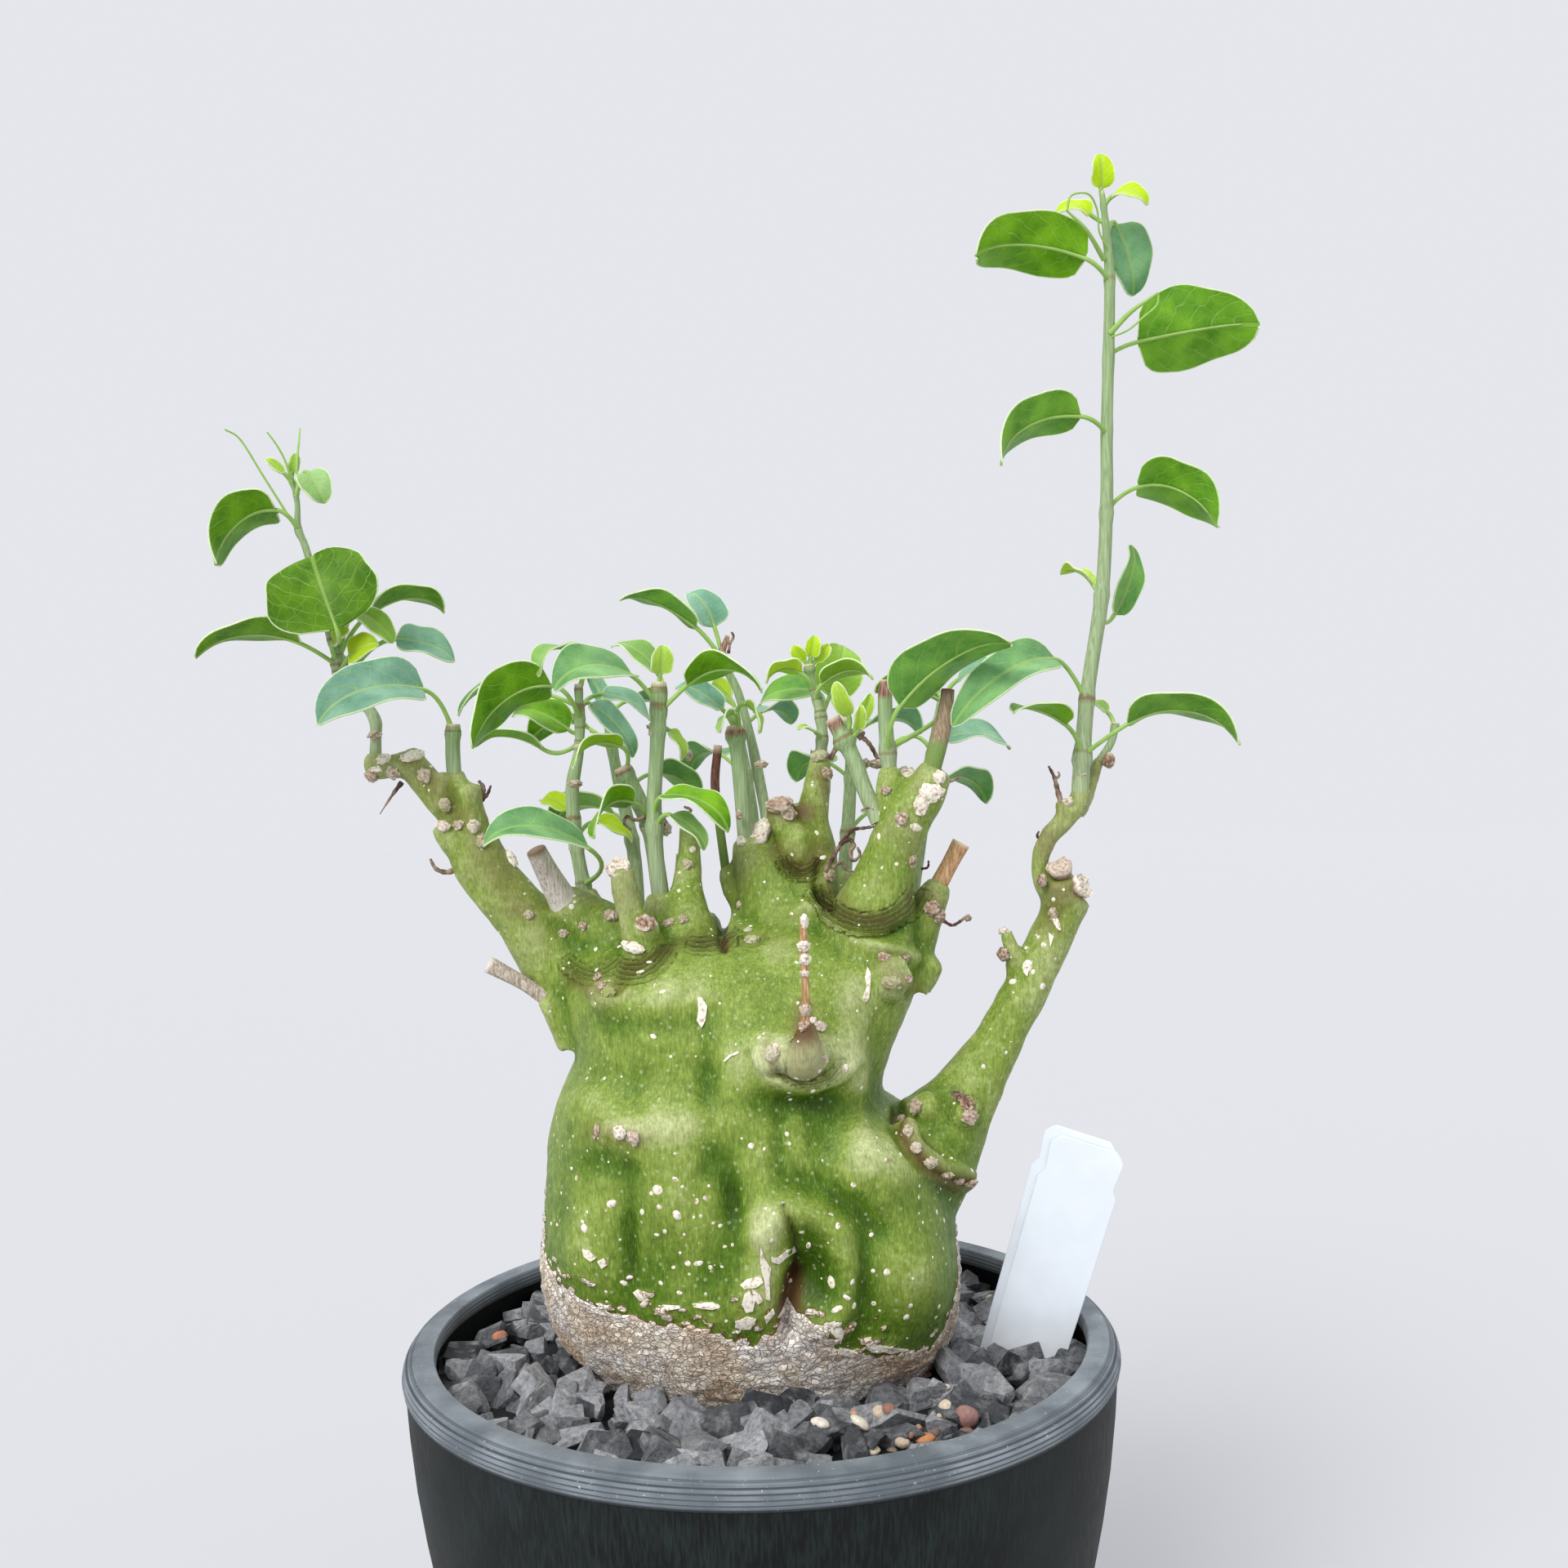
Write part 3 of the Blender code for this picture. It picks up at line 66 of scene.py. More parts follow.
def add_node(kind, sockets, *outs, **settings):
    """Adds a shader node to the material in hand, which is called made: its settings, and the values,
    hex colours and links of its sockets. Gives back the outputs asked for, or else the first."""
    node = made.node_tree.nodes.new("ShaderNode" + kind)
    for name, value in settings.items():
        setattr(node, name, value)
    for name, value in sockets.items():
        if isinstance(value, bpy.types.NodeSocket):
            made.node_tree.links.new(value, node.inputs[name])
        else:
            node.inputs[name].default_value = linear(value) if isinstance(value, str) else value
    found = [node.outputs[out] for out in outs or (0,)]
    return found if len(found) > 1 else found[0]


def to_shader(**outputs):
    """Links outputs to sockets of the shader of the material in hand."""
    for socket, output in outputs.items():
        shader = made.node_tree.nodes["Principled BSDF"]
        made.node_tree.links.new(output, shader.inputs[socket.replace("_", " ")])


bpy.ops.object.camera_add()
camera = bpy.context.object
turned = Matrix.Rotation(CAMERA_ROLL, 4, "Y") @ Matrix.Rotation(math.radians(90), 4, "X")
camera.matrix_world = Matrix.Translation(CAMERA_PLACE * MM) @ turned
camera.data.sensor_width = 36.0
camera.data.lens = 36.0 * PHOTO_REACH / PHOTO_SIZE
camera.data.clip_start = 0.01
bpy.context.scene.camera = camera
CAMERA_RIGHT = turned.to_3x3() @ Vector((1, 0, 0))
CAMERA_UP = turned.to_3x3() @ Vector((0, 1, 0))
CAMERA_AHEAD = turned.to_3x3() @ Vector((0, 0, -1))

# Name, where it shines from, how wide it is in degrees, and strength
LIGHTS = [("window", (-0.6, -0.95, 0.9), 28.0, 2.3), ("skylight", (0.3, 0.45, 1.0), 60.0, 0.9)]
for name, place, spread, power in LIGHTS:
    bpy.ops.object.light_add(type="SUN", location=place)
    light = bpy.context.object
    light.name = name
    light.data.angle = math.radians(spread)
    light.data.energy = power
    light.rotation_euler = (-Vector(place)).to_track_quat("-Z", "Y").to_euler()
world = bpy.data.worlds.new("pale_room")
bpy.context.scene.world = world
world.use_nodes = True
background = world.node_tree.nodes["Background"]
background.inputs["Color"].default_value = linear("EDEFF5")
background.inputs["Strength"].default_value = 0.92
bpy.context.scene.view_settings.view_transform = "Standard"

# Floor: a wide sheet of matt pale grey card just under the pot.
bpy.ops.mesh.primitive_circle_add(vertices=96, radius=6.0, fill_type="NGON", location=(0, 0, -0.4 * MM))
floor = bpy.context.object
floor.name = "floor"
made = new_material("matt_grey_card", Base_Color=linear("BDBDBF"), Roughness=0.9)
floor.data.materials.append(made)


# Pot: a round nursery pot, injection-moulded black polypropylene, dusty and brushed by use. Its
# lip is rolled over, with three fine grooves round its outer edge, and its paleness is a painted sheen.
POT_SIDES = 144
# Heights and radii of its profile, from under the floor round to the inside
OUTER_WALL = [
    (1.2, 46), (12, 50.2), (23, 54.2), (35, 58.6), (48, 62.6), (60, 66.3), (72.5, 69.4), (83, 71.5),
    (93, 73.1), (104, 74.3), (112.4, 74.9),
]
LIP = [
    (112.9, 75.35), (114.2, 75.6), (115.2, 75.45), (115.45, 75.1), (115.75, 75.1), (116, 75.2),
    (116.5, 74.85), (116.55, 74.5), (116.8, 74.4), (117.1, 74.4), (117.45, 73.9), (117.4, 73.55),
    (117.65, 73.4), (117.95, 73.3), (118, 72.6), (118, 70.2), (117.9, 69.2), (117.3, 68.8), (115.4, 68.7),
    (114, 69.4), (113.2, 71.4),
]
INNER_WALL = [
    (104, 71.6), (93, 70.5), (72.5, 66.8), (48, 60), (23, 51.6), (6.6, 45), (4.5, 43.4),
]
UNDERSIDE = [(0.0, 12.0), (1.8, 13.2), (1.8, 38.0), (0.0, 39.4), (0.0, 44.8)]
UNDER_FLOOR = 4.5
DRAINS = 6
DRAIN_RADIUS = 3.5
DRAIN_CIRCLE = 26.0


def deselect():
    bpy.ops.object.select_all(action="DESELECT")


def pick(obj):
    """Selects one object alone and makes it the active one."""
    deselect()
    obj.select_set(True)
    bpy.context.view_layer.objects.active = obj


def face_outwards():
    """Turns every face of the mesh in edit mode outwards, and leaves edit mode."""
    bpy.ops.mesh.select_all(action="SELECT")
    bpy.ops.mesh.normals_make_consistent(inside=False)
    bpy.ops.object.mode_set(mode="OBJECT")


def apply_modifier(obj, kind, **settings):
    """Adds one modifier with its settings and applies it."""
    pick(obj)
    change = obj.modifiers.new(kind.lower(), kind)
    for name, value in settings.items():
        setattr(change, name, value)
    bpy.ops.object.modifier_apply(modifier=change.name)


def join_pieces(name, parts):
    """Several objects made one, under a new name."""
    deselect()
    for part in parts:
        part.select_set(True)
    bpy.context.view_layer.objects.active = parts[0]
    if len(parts) > 1:
        bpy.ops.object.join()
    whole = bpy.context.object
    whole.name = whole.data.name = name
    return whole


def hand_over(obj, finish, slot, *nodes):
    """Gives a finished piece its material, hangs it under the root, and hides the CAD nodes it stands for."""
    if finish:
        obj.data.materials.clear()
        obj.data.materials.append(finish)
    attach(obj, "root")
    if nodes:
        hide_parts(*nodes)


def turned_shape(name, profile, sides):
    """Draws a ring out through a profile of (height, radius), as on a wheel, closed at both poles."""
    deselect()
    height, radius = profile[0]
    bpy.ops.mesh.primitive_circle_add(vertices=sides, radius=radius * MM, fill_type="TRIFAN",
                                      location=(0, 0, height * MM))
    obj = bpy.context.object
    obj.name = obj.data.name = name
    bpy.ops.object.transform_apply(location=True, rotation=False, scale=False)
    bpy.ops.object.mode_set(mode="EDIT")
    bpy.ops.mesh.select_all(action="SELECT")
    bpy.ops.mesh.region_to_loop()
    for next_height, next_radius in profile[1:]:
        step = (0, 0, (next_height - height) * MM)
        bpy.ops.mesh.extrude_region_move(TRANSFORM_OT_translate={"value": step})
        scale = next_radius / radius
        bpy.ops.transform.resize(value=(scale, scale, 1.0))
        height, radius = next_height, next_radius
    bpy.ops.mesh.merge(type="CENTER")
    face_outwards()
    return obj


profile = UNDERSIDE + OUTER_WALL + LIP + INNER_WALL + [(UNDER_FLOOR, 20.0)]
pot = turned_shape("nursery_pot", profile, POT_SIDES)
holes = []
for number in range(DRAINS):
    turn = math.tau * (number + 0.5) / DRAINS
    place = Vector((DRAIN_CIRCLE * math.cos(turn), DRAIN_CIRCLE * math.sin(turn), 3.0)) * MM
    bpy.ops.mesh.primitive_cylinder_add(vertices=32, radius=DRAIN_RADIUS * MM, depth=10 * MM, location=place)
    holes.append(bpy.context.object)
drill = join_pieces("drill", holes)
apply_modifier(pot, "BOOLEAN", object=drill, operation="DIFFERENCE", solver="EXACT")
bpy.data.objects.remove(drill)
pick(pot)
bpy.ops.object.shade_smooth_by_angle(angle=math.radians(32))

# Polypropylene, moulded: a dull sheen, streaked down the wall with greenish dust, and a painted sheen
# that turns the lip pale in patches. Streaks are 0.5 mm wide and 5 mm long, clouds of dust 11 mm,
# specks of lime 0.8 mm.
made = new_material("moulded_polypropylene", IOR=1.49, Specular_IOR_Level=0.25)
place = add_node("TexCoord", {}, "Object")
height = add_node("SeparateXYZ", {0: place}, 2)
stretched = add_node("Mapping", {"Vector": place, "Scale": (2000.0, 2000.0, 190.0)})
streaks = add_node("TexNoise", {"Vector": stretched, "Scale": 1.0, "Detail": 5.0, "Roughness": 0.6})
clouds = add_node("TexNoise", {"Vector": place, "Scale": 90.0, "Detail": 4.0})
grime = add_node("Math", {0: clouds, 1: 0.35, 2: streaks}, operation="MULTIPLY_ADD")
grime = add_node("MapRange", {"Value": grime, "From Min": 0.56, "From Max": 0.90})
wall = add_node("Mix", {0: grime, 6: "030607", 7: "202B2A"}, 2, data_type="RGBA")
on_lip = add_node("MapRange", {"Value": height, "From Min": 0.1128, "From Max": 0.1136})
# Painted sheen: the lip is painted pale grey, paler in patches.
lip_sheen_patches = add_node("MapRange", {"Value": clouds, "From Min": 0.35, "From Max": 0.68})
lip = add_node("Mix", {0: lip_sheen_patches, 6: "60676D", 7: "8A9197"}, 2, data_type="RGBA")
groove = add_node("Math", {0: height, 1: 7400.0}, operation="MULTIPLY")
groove = add_node("Math", {0: groove}, operation="SINE")
groove = add_node("Math", {0: clouds, 1: 1.6, 2: groove}, operation="MULTIPLY_ADD")
groove = add_node("MapRange", {"Value": groove, "From Min": 1.05, "From Max": 1.75, "To Max": 0.7})
edge = add_node("MapRange", {"Value": height, "From Min": 0.1177, "From Max": 0.1172})
groove = add_node("Math", {0: groove, 1: edge}, operation="MULTIPLY")
lip = add_node("Mix", {0: groove, 6: lip, 7: "1B2024"}, 2, data_type="RGBA")
speck = add_node("TexNoise", {"Vector": place, "Scale": 1300.0, "Detail": 3.0, "Roughness": 0.7})
speck = add_node("MapRange", {"Value": speck, "From Min": 0.66, "From Max": 0.74, "To Max": 0.7})
lip = add_node("Mix", {0: speck, 6: lip, 7: "D5D9DC"}, 2, data_type="RGBA")
colour = add_node("Mix", {0: on_lip, 6: wall, 7: lip}, 2, data_type="RGBA")
flat = add_node("VectorMath", {0: place, 1: (1.0, 1.0, 0.0)}, operation="MULTIPLY")
reach = add_node("VectorMath", {0: flat}, "Value", operation="LENGTH")
within = add_node("MapRange", {"Value": reach, "From Min": 0.0722, "From Max": 0.0715})
below = add_node("MapRange", {"Value": height, "From Min": 0.1150, "From Max": 0.1138})
inside = add_node("Math", {0: within, 1: below}, operation="MULTIPLY")
colour = add_node("Mix", {0: inside, 6: colour, 7: "101214"}, 2, data_type="RGBA")
rough = add_node("MapRange", {"Value": streaks, "From Min": 0.3, "From Max": 0.7, "To Min": 0.5,
                              "To Max": 0.75})
bump = add_node("Bump", {"Height": streaks, "Strength": 0.25, "Distance": 0.0003})
to_shader(Base_Color=colour, Roughness=rough, Normal=bump)
hand_over(pot, made, "pot", "pot")


# Soil: peat with grit that fills the pot under the stones. Only a little of it shows, at the drain
# holes. Its solid is kept, and its crumbs are 1.4 mm.
made = new_material("damp_peat", Roughness=0.95)
place = add_node("TexCoord", {}, "Object")
crumb = add_node("TexNoise", {"Vector": place, "Scale": 700.0, "Detail": 6.0})
colour = add_node("Mix", {0: crumb, 6: "1A120C", 7: "4A3828"}, 2, data_type="RGBA")
bump = add_node("Bump", {"Height": crumb, "Strength": 0.8, "Distance": 0.001})
to_shader(Base_Color=colour, Normal=bump)
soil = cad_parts["soil"]
soil.data.materials.clear()
soil.data.materials.append(made)


# Gravel: broken slate, angular chips 4 to 12 mm long, dark grey and dusty, heaped on a bed of finer
# chippings. It lies about 9 mm under the rim and a little higher against the plant's foot.
BED_TOP = 107.6
BED_RADIUS = 70.9
BED_SLOPE = 0.035
STONE_REACH = 70.4
CHIP_KINDS = 14
PEBBLE_KINDS = 5
CHIP_COUNT = 470
SMALL_CHIPS = 150
FOOT_OVAL = (40.0, 29.0)  # the part of the bed that the plant's foot takes up, left without stones
# Pebbles among the stones at the right front: pixel, half width and height in pixels, lean, colour
PEBBLES = [
    (1077, 1728, 9, 8.5, 0, "CDBBA6"), (1089, 1724, 8.5, 7, 20, "9A6F5C"), (1158, 1722, 9, 9, 0, "D2C2AA"),
    (1184, 1733, 14.5, 13, 0, "9A746C"), (1131, 1684, 10, 8, 0, "C8836A"), (1004, 1741, 12, 6, 12, "E2D8CA"),
    (1054, 1741, 14, 6, 35, "E4DCC8"), (1046, 1730, 6, 4, 20, "CF8F6C"), (1105, 1765, 9.5, 7, 0, "CBB89F"),
    (1133, 1760, 14, 7, -6, "CF8A58"), (1066, 1775, 12, 6, -8, "DECDB2"), (1184, 1752, 9.5, 5.5, 0, "876B60"),
    (1115, 1756, 4.5, 4.5, 0, "9A6F5C"), (1125, 1749, 5, 6, 20, "B79074"), (1152, 1732, 5, 3, 0, "CBB89F"),
    (1160, 1697, 4, 3, 0, "D8C8AE"), (1146, 1752, 7, 6, 0, "7C695E"), (1092, 1776, 7, 5, 0, "8B7668"),
]


def move_points(obj, rule):
    """Puts every point of a mesh where the rule, which works in millimetres, says."""
    flat = np.empty(len(obj.data.vertices) * 3)
    obj.data.vertices.foreach_get("co", flat)
    moved = rule(flat.reshape(-1, 3) / MM)
    obj.data.vertices.foreach_set("co", (np.asarray(moved) * MM).ravel())
    obj.data.update()


def store(obj, name, values):
    """Keeps four numbers at each point for the material: a row for each point, or one for all."""
    rows = np.broadcast_to(np.asarray(values, np.float32), (len(obj.data.vertices), 4))
    layer = obj.data.attributes.new(name, "FLOAT_COLOR", "POINT")
    layer.data.foreach_set("color", np.ascontiguousarray(rows).ravel())


def bed_height(radius):
    """The top of the bed, which rises a little towards the plant."""
    return BED_TOP + (BED_RADIUS - radius) * BED_SLOPE


profile = [(104.4, 20.0), (104.4, 45.0), (104.4, BED_RADIUS), (106.6, BED_RADIUS)]
profile += [(bed_height(r), r) for r in (68.0, 64, 60, 56, 52, 48, 44, 40, 36, 30, 24, 14)]
bed = turned_shape("gravel_bed", profile, 96)


def crumbled(points):
    """Roughens the top of the bed like fine chippings, 3 mm apart."""
    for point in points:
        if point[2] > 105.0 and math.hypot(point[0], point[1]) < 69.5:
            point[2] += 1.1 * noise.noise(Vector((point[0] / 3.1, point[1] / 3.1, 2.0)))
    return points


move_points(bed, crumbled)
# What the gravel's material reads: how pale a stone is, and how deep in shade it lies
store(bed, "stone", (0.0, 1.0, 0.0, 1.0))

# The kinds of stone: cubes with seven slices struck off, and rounded pebbles
rng = random.Random(11)
chips = []
for number in range(CHIP_KINDS):
    deselect()
    bpy.ops.mesh.primitive_cube_add(size=2.0)
    chip = bpy.context.object
    bpy.ops.object.mode_set(mode="EDIT")
    for _ in range(7):
        aim = Vector([rng.gauss(0, 1) for _ in range(3)]).normalized()
        bpy.ops.mesh.select_all(action="SELECT")
        bpy.ops.mesh.bisect(plane_co=aim * rng.uniform(0.62, 0.95), plane_no=aim, use_fill=True,
                            clear_outer=True)
    bpy.ops.mesh.select_all(action="SELECT")
    bpy.ops.mesh.bevel(offset=0.035, segments=1)
    bpy.ops.object.mode_set(mode="OBJECT")
    chips.append(chip)
for number in range(PEBBLE_KINDS):
    deselect()
    bpy.ops.mesh.primitive_ico_sphere_add(subdivisions=3, radius=1.0)
    pebble = bpy.context.object
    move_points(pebble, lambda points, number=number: [
        p * (1 + 0.16 * noise.noise(Vector(p * MM * 0.9) + Vector((number * 7.0, 0, 0)))) for p in points])
    bpy.ops.object.shade_smooth()
    chips.append(pebble)


def laid_copy(kind, place, size, turn):
    """A copy of a modelled piece with its own mesh, put at its size and place."""
    copy = kind.copy()
    copy.data = kind.data.copy()
    bpy.context.scene.collection.objects.link(copy)
    stretch = Matrix.Diagonal((*size, 1.0))
    copy.data.transform(Matrix.Translation(Vector(place) * MM) @ turn @ stretch)
    return copy


def touch_tree(corners, obj):
    """What rays are cast at to find places on an object's surface."""
    faces = [tuple(face.vertices) for face in obj.data.polygons]
    return BVHTree.FromPolygons([Vector(corner) for corner in corners], faces)


def sight(x, y):
    """From the camera towards a pixel of the photograph, one focal length long."""
    half = PHOTO_SIZE / 2
    return CAMERA_AHEAD * PHOTO_REACH + CAMERA_RIGHT * (x - half) - CAMERA_UP * (y - half)


def pixel_at(place):
    """How many millimetres a pixel of the photograph spans at a place."""
    return (place - CAMERA_PLACE).dot(CAMERA_AHEAD) / PHOTO_REACH


# Small stones first and the larger on them, each clear of those of its size, but for one try in nine
stones = []
middles = []
tries = 0
while len(stones) < CHIP_COUNT and tries < 60000:
    tries += 1
    large = len(stones) >= SMALL_CHIPS
    length = rng.uniform(3.2, 6.0) if large else rng.uniform(2.0, 3.2)
    radius = math.sqrt(rng.uniform(24.0 ** 2, 68.0 ** 2))
    turn = rng.uniform(0, math.tau)
    radius = min(radius, STONE_REACH - length)
    x, y = radius * math.cos(turn), radius * math.sin(turn)
    if (x / FOOT_OVAL[0]) ** 2 + (y / FOOT_OVAL[1]) ** 2 < (1.0 if large else 0.9):
        continue
    spacing = 0.92 if large else 0.7
    if any((x - far_x) ** 2 + (y - far_y) ** 2 < (spacing * (length + other)) ** 2 and kind == large
           for far_x, far_y, other, kind in middles):
        if tries % 9:
            continue
    middles.append((x, y, length, large))
    size = (length, length * rng.uniform(0.62, 0.95), length * rng.uniform(0.34, 0.6))
    lift = bed_height(math.hypot(x, y)) + (rng.uniform(0.9, 2.9) if large else rng.uniform(-0.4, 0.6))
    tilt = Matrix.Rotation(rng.uniform(0, math.tau), 4, "Z") @ Matrix.Rotation(rng.gauss(0, 0.55), 4, "X")
    tilt = tilt @ Matrix.Rotation(rng.gauss(0, 0.45), 4, "Y")
    stone = laid_copy(chips[rng.randrange(CHIP_KINDS)], (x, y, lift), [s * MM for s in size], tilt)
    store(stone, "stone", (rng.random(), 0.0 if large else 0.6, 0.0, 1.0))
    stones.append(stone)
gravel = join_pieces("slate_chips", [bed] + stones)
gravel_tree = touch_tree([vert.co for vert in gravel.data.vertices], gravel)

# Pebbles lie on the stones where the photograph shows them, and a few more lie round the back
pebbles = []
for x, y, across, down, lean, colour in PEBBLES:
    place = gravel_tree.ray_cast(CAMERA_PLACE * MM, sight(x, y).normalized())[0] / MM
    near = pixel_at(place) * MM
    spin = Matrix.Rotation(math.radians(lean), 4, "Y")
    size = [across * near, 0.5 * (across + down) * near, down * near]
    kind = chips[CHIP_KINDS + len(pebbles) % PEBBLE_KINDS]
    pebble = laid_copy(kind, place - Vector((0, -0.3, 0.3)), size, spin)
    store(pebble, "stone", linear(colour))
    pebbles.append(pebble)
for number in range(9):
    turn = rng.uniform(0.1, 3.0)
    x, y = 60 * math.cos(turn), 60 * math.sin(turn)
    size = rng.choice((1.1, 1.4, 1.9)) * MM
    pebble = laid_copy(chips[CHIP_KINDS + number % PEBBLE_KINDS], (x, y, BED_TOP + 4.4),
                       (size, size * 0.9, size * 0.8), Matrix.Rotation(turn * 9, 4, "Z"))
    store(pebble, "stone", linear(rng.choice(("C2B199", "94706A", "BA7A5E"))))
    pebbles.append(pebble)
pebble_bed = join_pieces("rounded_pebbles", pebbles)
for chip in chips:
    bpy.data.objects.remove(chip)

# Slate: split along its grain, so the faces are flat and fine-grained, with pale dust in the hollows.
# The grain is 1 mm, coarser than the real one so that it shows, and the dust lies in 4 mm patches.
made = new_material("broken_slate", Specular_IOR_Level=0.35)
place = add_node("TexCoord", {}, "Object")
tone = add_node("Attribute", {}, "Color", attribute_name="stone")
tone, deep = add_node("SeparateColor", {0: tone}, 0, 1)
grain = add_node("TexNoise", {"Vector": place, "Scale": 900.0, "Detail": 8.0, "Roughness": 0.65})
dust = add_node("TexNoise", {"Vector": place, "Scale": 240.0, "Detail": 5.0})
stone = add_node("Mix", {0: tone, 6: "292C30", 7: "ABACAF"}, 2, data_type="RGBA")
dusty = add_node("MapRange", {"Value": dust, "From Min": 0.5, "From Max": 0.78, "To Max": 0.6})
colour = add_node("Mix", {0: dusty, 6: stone, 7: "BDBDBC"}, 2, data_type="RGBA")
speck = add_node("MapRange", {"Value": grain, "From Min": 0.3, "From Max": 0.75, "To Min": 0.45,
                              "To Max": 1.5})
colour = add_node("VectorMath", {0: colour, "Scale": speck}, operation="SCALE")
# Painted shade: the bed and the small chips, which lie under the larger stones, are darkened towards
# near-black.
colour = add_node("Mix", {0: deep, 6: colour, 7: "17191B"}, 2, data_type="RGBA")
rough = add_node("MapRange", {"Value": grain, "To Min": 0.6, "To Max": 0.9})
bump = add_node("Bump", {"Height": grain, "Strength": 0.9, "Distance": 0.0009})
to_shader(Base_Color=colour, Roughness=rough, Normal=bump)
hand_over(gravel, made, "gravel", "gravel")

# Fired clay and quartz pebbles: cream, tan and brick red, worn smooth and matt, with 0.7 mm specks.
made = new_material("fired_clay_and_quartz", Roughness=0.8)
place = add_node("TexCoord", {}, "Object")
colour = add_node("Attribute", {}, "Color", attribute_name="stone")
grain = add_node("TexNoise", {"Vector": place, "Scale": 1500.0, "Detail": 6.0})
speck = add_node("MapRange", {"Value": grain, "From Min": 0.3, "From Max": 0.7, "To Min": 0.75,
                              "To Max": 1.15})
colour = add_node("VectorMath", {0: colour, "Scale": speck}, operation="SCALE")
bump = add_node("Bump", {"Height": grain, "Strength": 0.4, "Distance": 0.0003})
to_shader(Base_Color=colour, Normal=bump)
hand_over(pebble_bed, made, "gravel")


# Labels: two plant tags die-cut from white PVC sheet and pushed into the gravel one behind the
# other, so that the back one's edge shows at the left. The front one is bare here.
LABEL_LENGTH = 78.0
LABEL_THICKNESS = 0.8
LABEL_LEAN = math.radians(17.5)
LABEL_TURN = math.radians(-9.0)
LABEL_FOOT = Vector((47.2, -2.5, 82.0))
# Heights up the label and half its width there: a point, a waist near the top, cut corners
LABEL_HALVES = [
    (0, 0.6), (12, 7.5), (40, 8.1), (68.2, 8.5), (68.6, 8.4), (69.4, 7.5), (70.4, 7.4), (75.4, 7.9),
    (76.4, 7.7), (78, 5.9),
]


def make_label(name, shift, back):
    """A tag cut from a flat grid, bent a little, thickened, and leant to the right."""
    deselect()
    bpy.ops.mesh.primitive_grid_add(x_subdivisions=8, y_subdivisions=78, size=2.0)
    tag = bpy.context.object
    tag.name = tag.data.name = name

    def cut(points):
        points = points * MM
        rise = (points[:, 1] + 1) * 0.5 * LABEL_LENGTH
        half = np.interp(rise, [h for h, _ in LABEL_HALVES], [w for _, w in LABEL_HALVES])
        bow = 0.5 * (rise / LABEL_LENGTH) ** 2 * np.sin(rise / 19.0) + 0.15 * points[:, 0] ** 2
        return np.stack([points[:, 0] * half, bow, rise], axis=1)

    move_points(tag, cut)
    apply_modifier(tag, "SOLIDIFY", thickness=LABEL_THICKNESS * MM, offset=0.0)
    apply_modifier(tag, "BEVEL", width=0.12 * MM, segments=1, limit_method="ANGLE",
                   angle_limit=math.radians(50))
    lean = Matrix.Rotation(LABEL_TURN, 4, "Z") @ Matrix.Rotation(LABEL_LEAN, 4, "Y")
    offset = Matrix.Translation(Vector((shift, back, shift * -0.8)) * MM)
    tag.data.transform(Matrix.Translation(LABEL_FOOT * MM) @ lean @ offset)
    bpy.ops.object.mode_set(mode="EDIT")
    face_outwards()
    return tag


# PVC sheet, calendered: white and smooth with a low gloss, faintly smudged by handling in 8 mm
# patches and soiled brown where it enters the gravel.
made = new_material("white_pvc_sheet", Roughness=0.42, IOR=1.53)
place = add_node("TexCoord", {}, "Object")
smudge = add_node("TexNoise", {"Vector": place, "Scale": 120.0, "Detail": 5.0})
height = add_node("SeparateXYZ", {0: place}, 2)
soiled = add_node("MapRange", {"Value": height, "From Min": 0.122, "From Max": 0.108})
marks = add_node("Math", {0: soiled, 1: smudge}, operation="MULTIPLY")
faint = add_node("MapRange", {"Value": smudge, "From Min": 0.4, "From Max": 0.8, "To Max": 0.5})
colour = add_node("Mix", {0: faint, 6: "E4EAF1", 7: "D3DAE4"}, 2, data_type="RGBA")
colour = add_node("Mix", {0: marks, 6: colour, 7: "A9A69C"}, 2, data_type="RGBA")
to_shader(Base_Color=colour)
hand_over(make_label("front_label", 0.0, 0.0), made, "label", "label_front")
hand_over(make_label("back_label", -1.8, LABEL_THICKNESS + 0.35), made, "label", "label_back")


# Caudex: the swollen stem of the plant, living green skin over water tissue, with a corky foot. Its
# limbs, cut stubs, collars and knots grew from it, so all are one skin.
BODY_LEVELS = [
    (72, -2.5, 2, -2.5, 2.5), (82, -5.5, 5, -5, 5.5), (88, -14, 12, -11, 12), (95, -24, 22, -17, 20),
    (104, -33, 32, -23, 26), (111, -38.5, 38.5, -26.5, 30), (118, -44, 41.5, -30, 33),
    (126, -46.5, 42.5, -32, 35), (138, -46.5, 41.5, -33.5, 36), (150, -45.5, 41, -33.5, 36),
    (160, -44.5, 35, -33, 35), (168, -42.5, 27.5, -32, 33), (177, -38.5, 29.5, -31, 31),
    (186, -40.5, 33.5, -29, 30), (194, -41, 36.5, -25, 29), (201, -37, 34.5, -17, 25),
    (204.5, -26, 27, -8, 16), (206.5, -8, 12, -2, 6),
]
FOOT_HEIGHT = 108.0
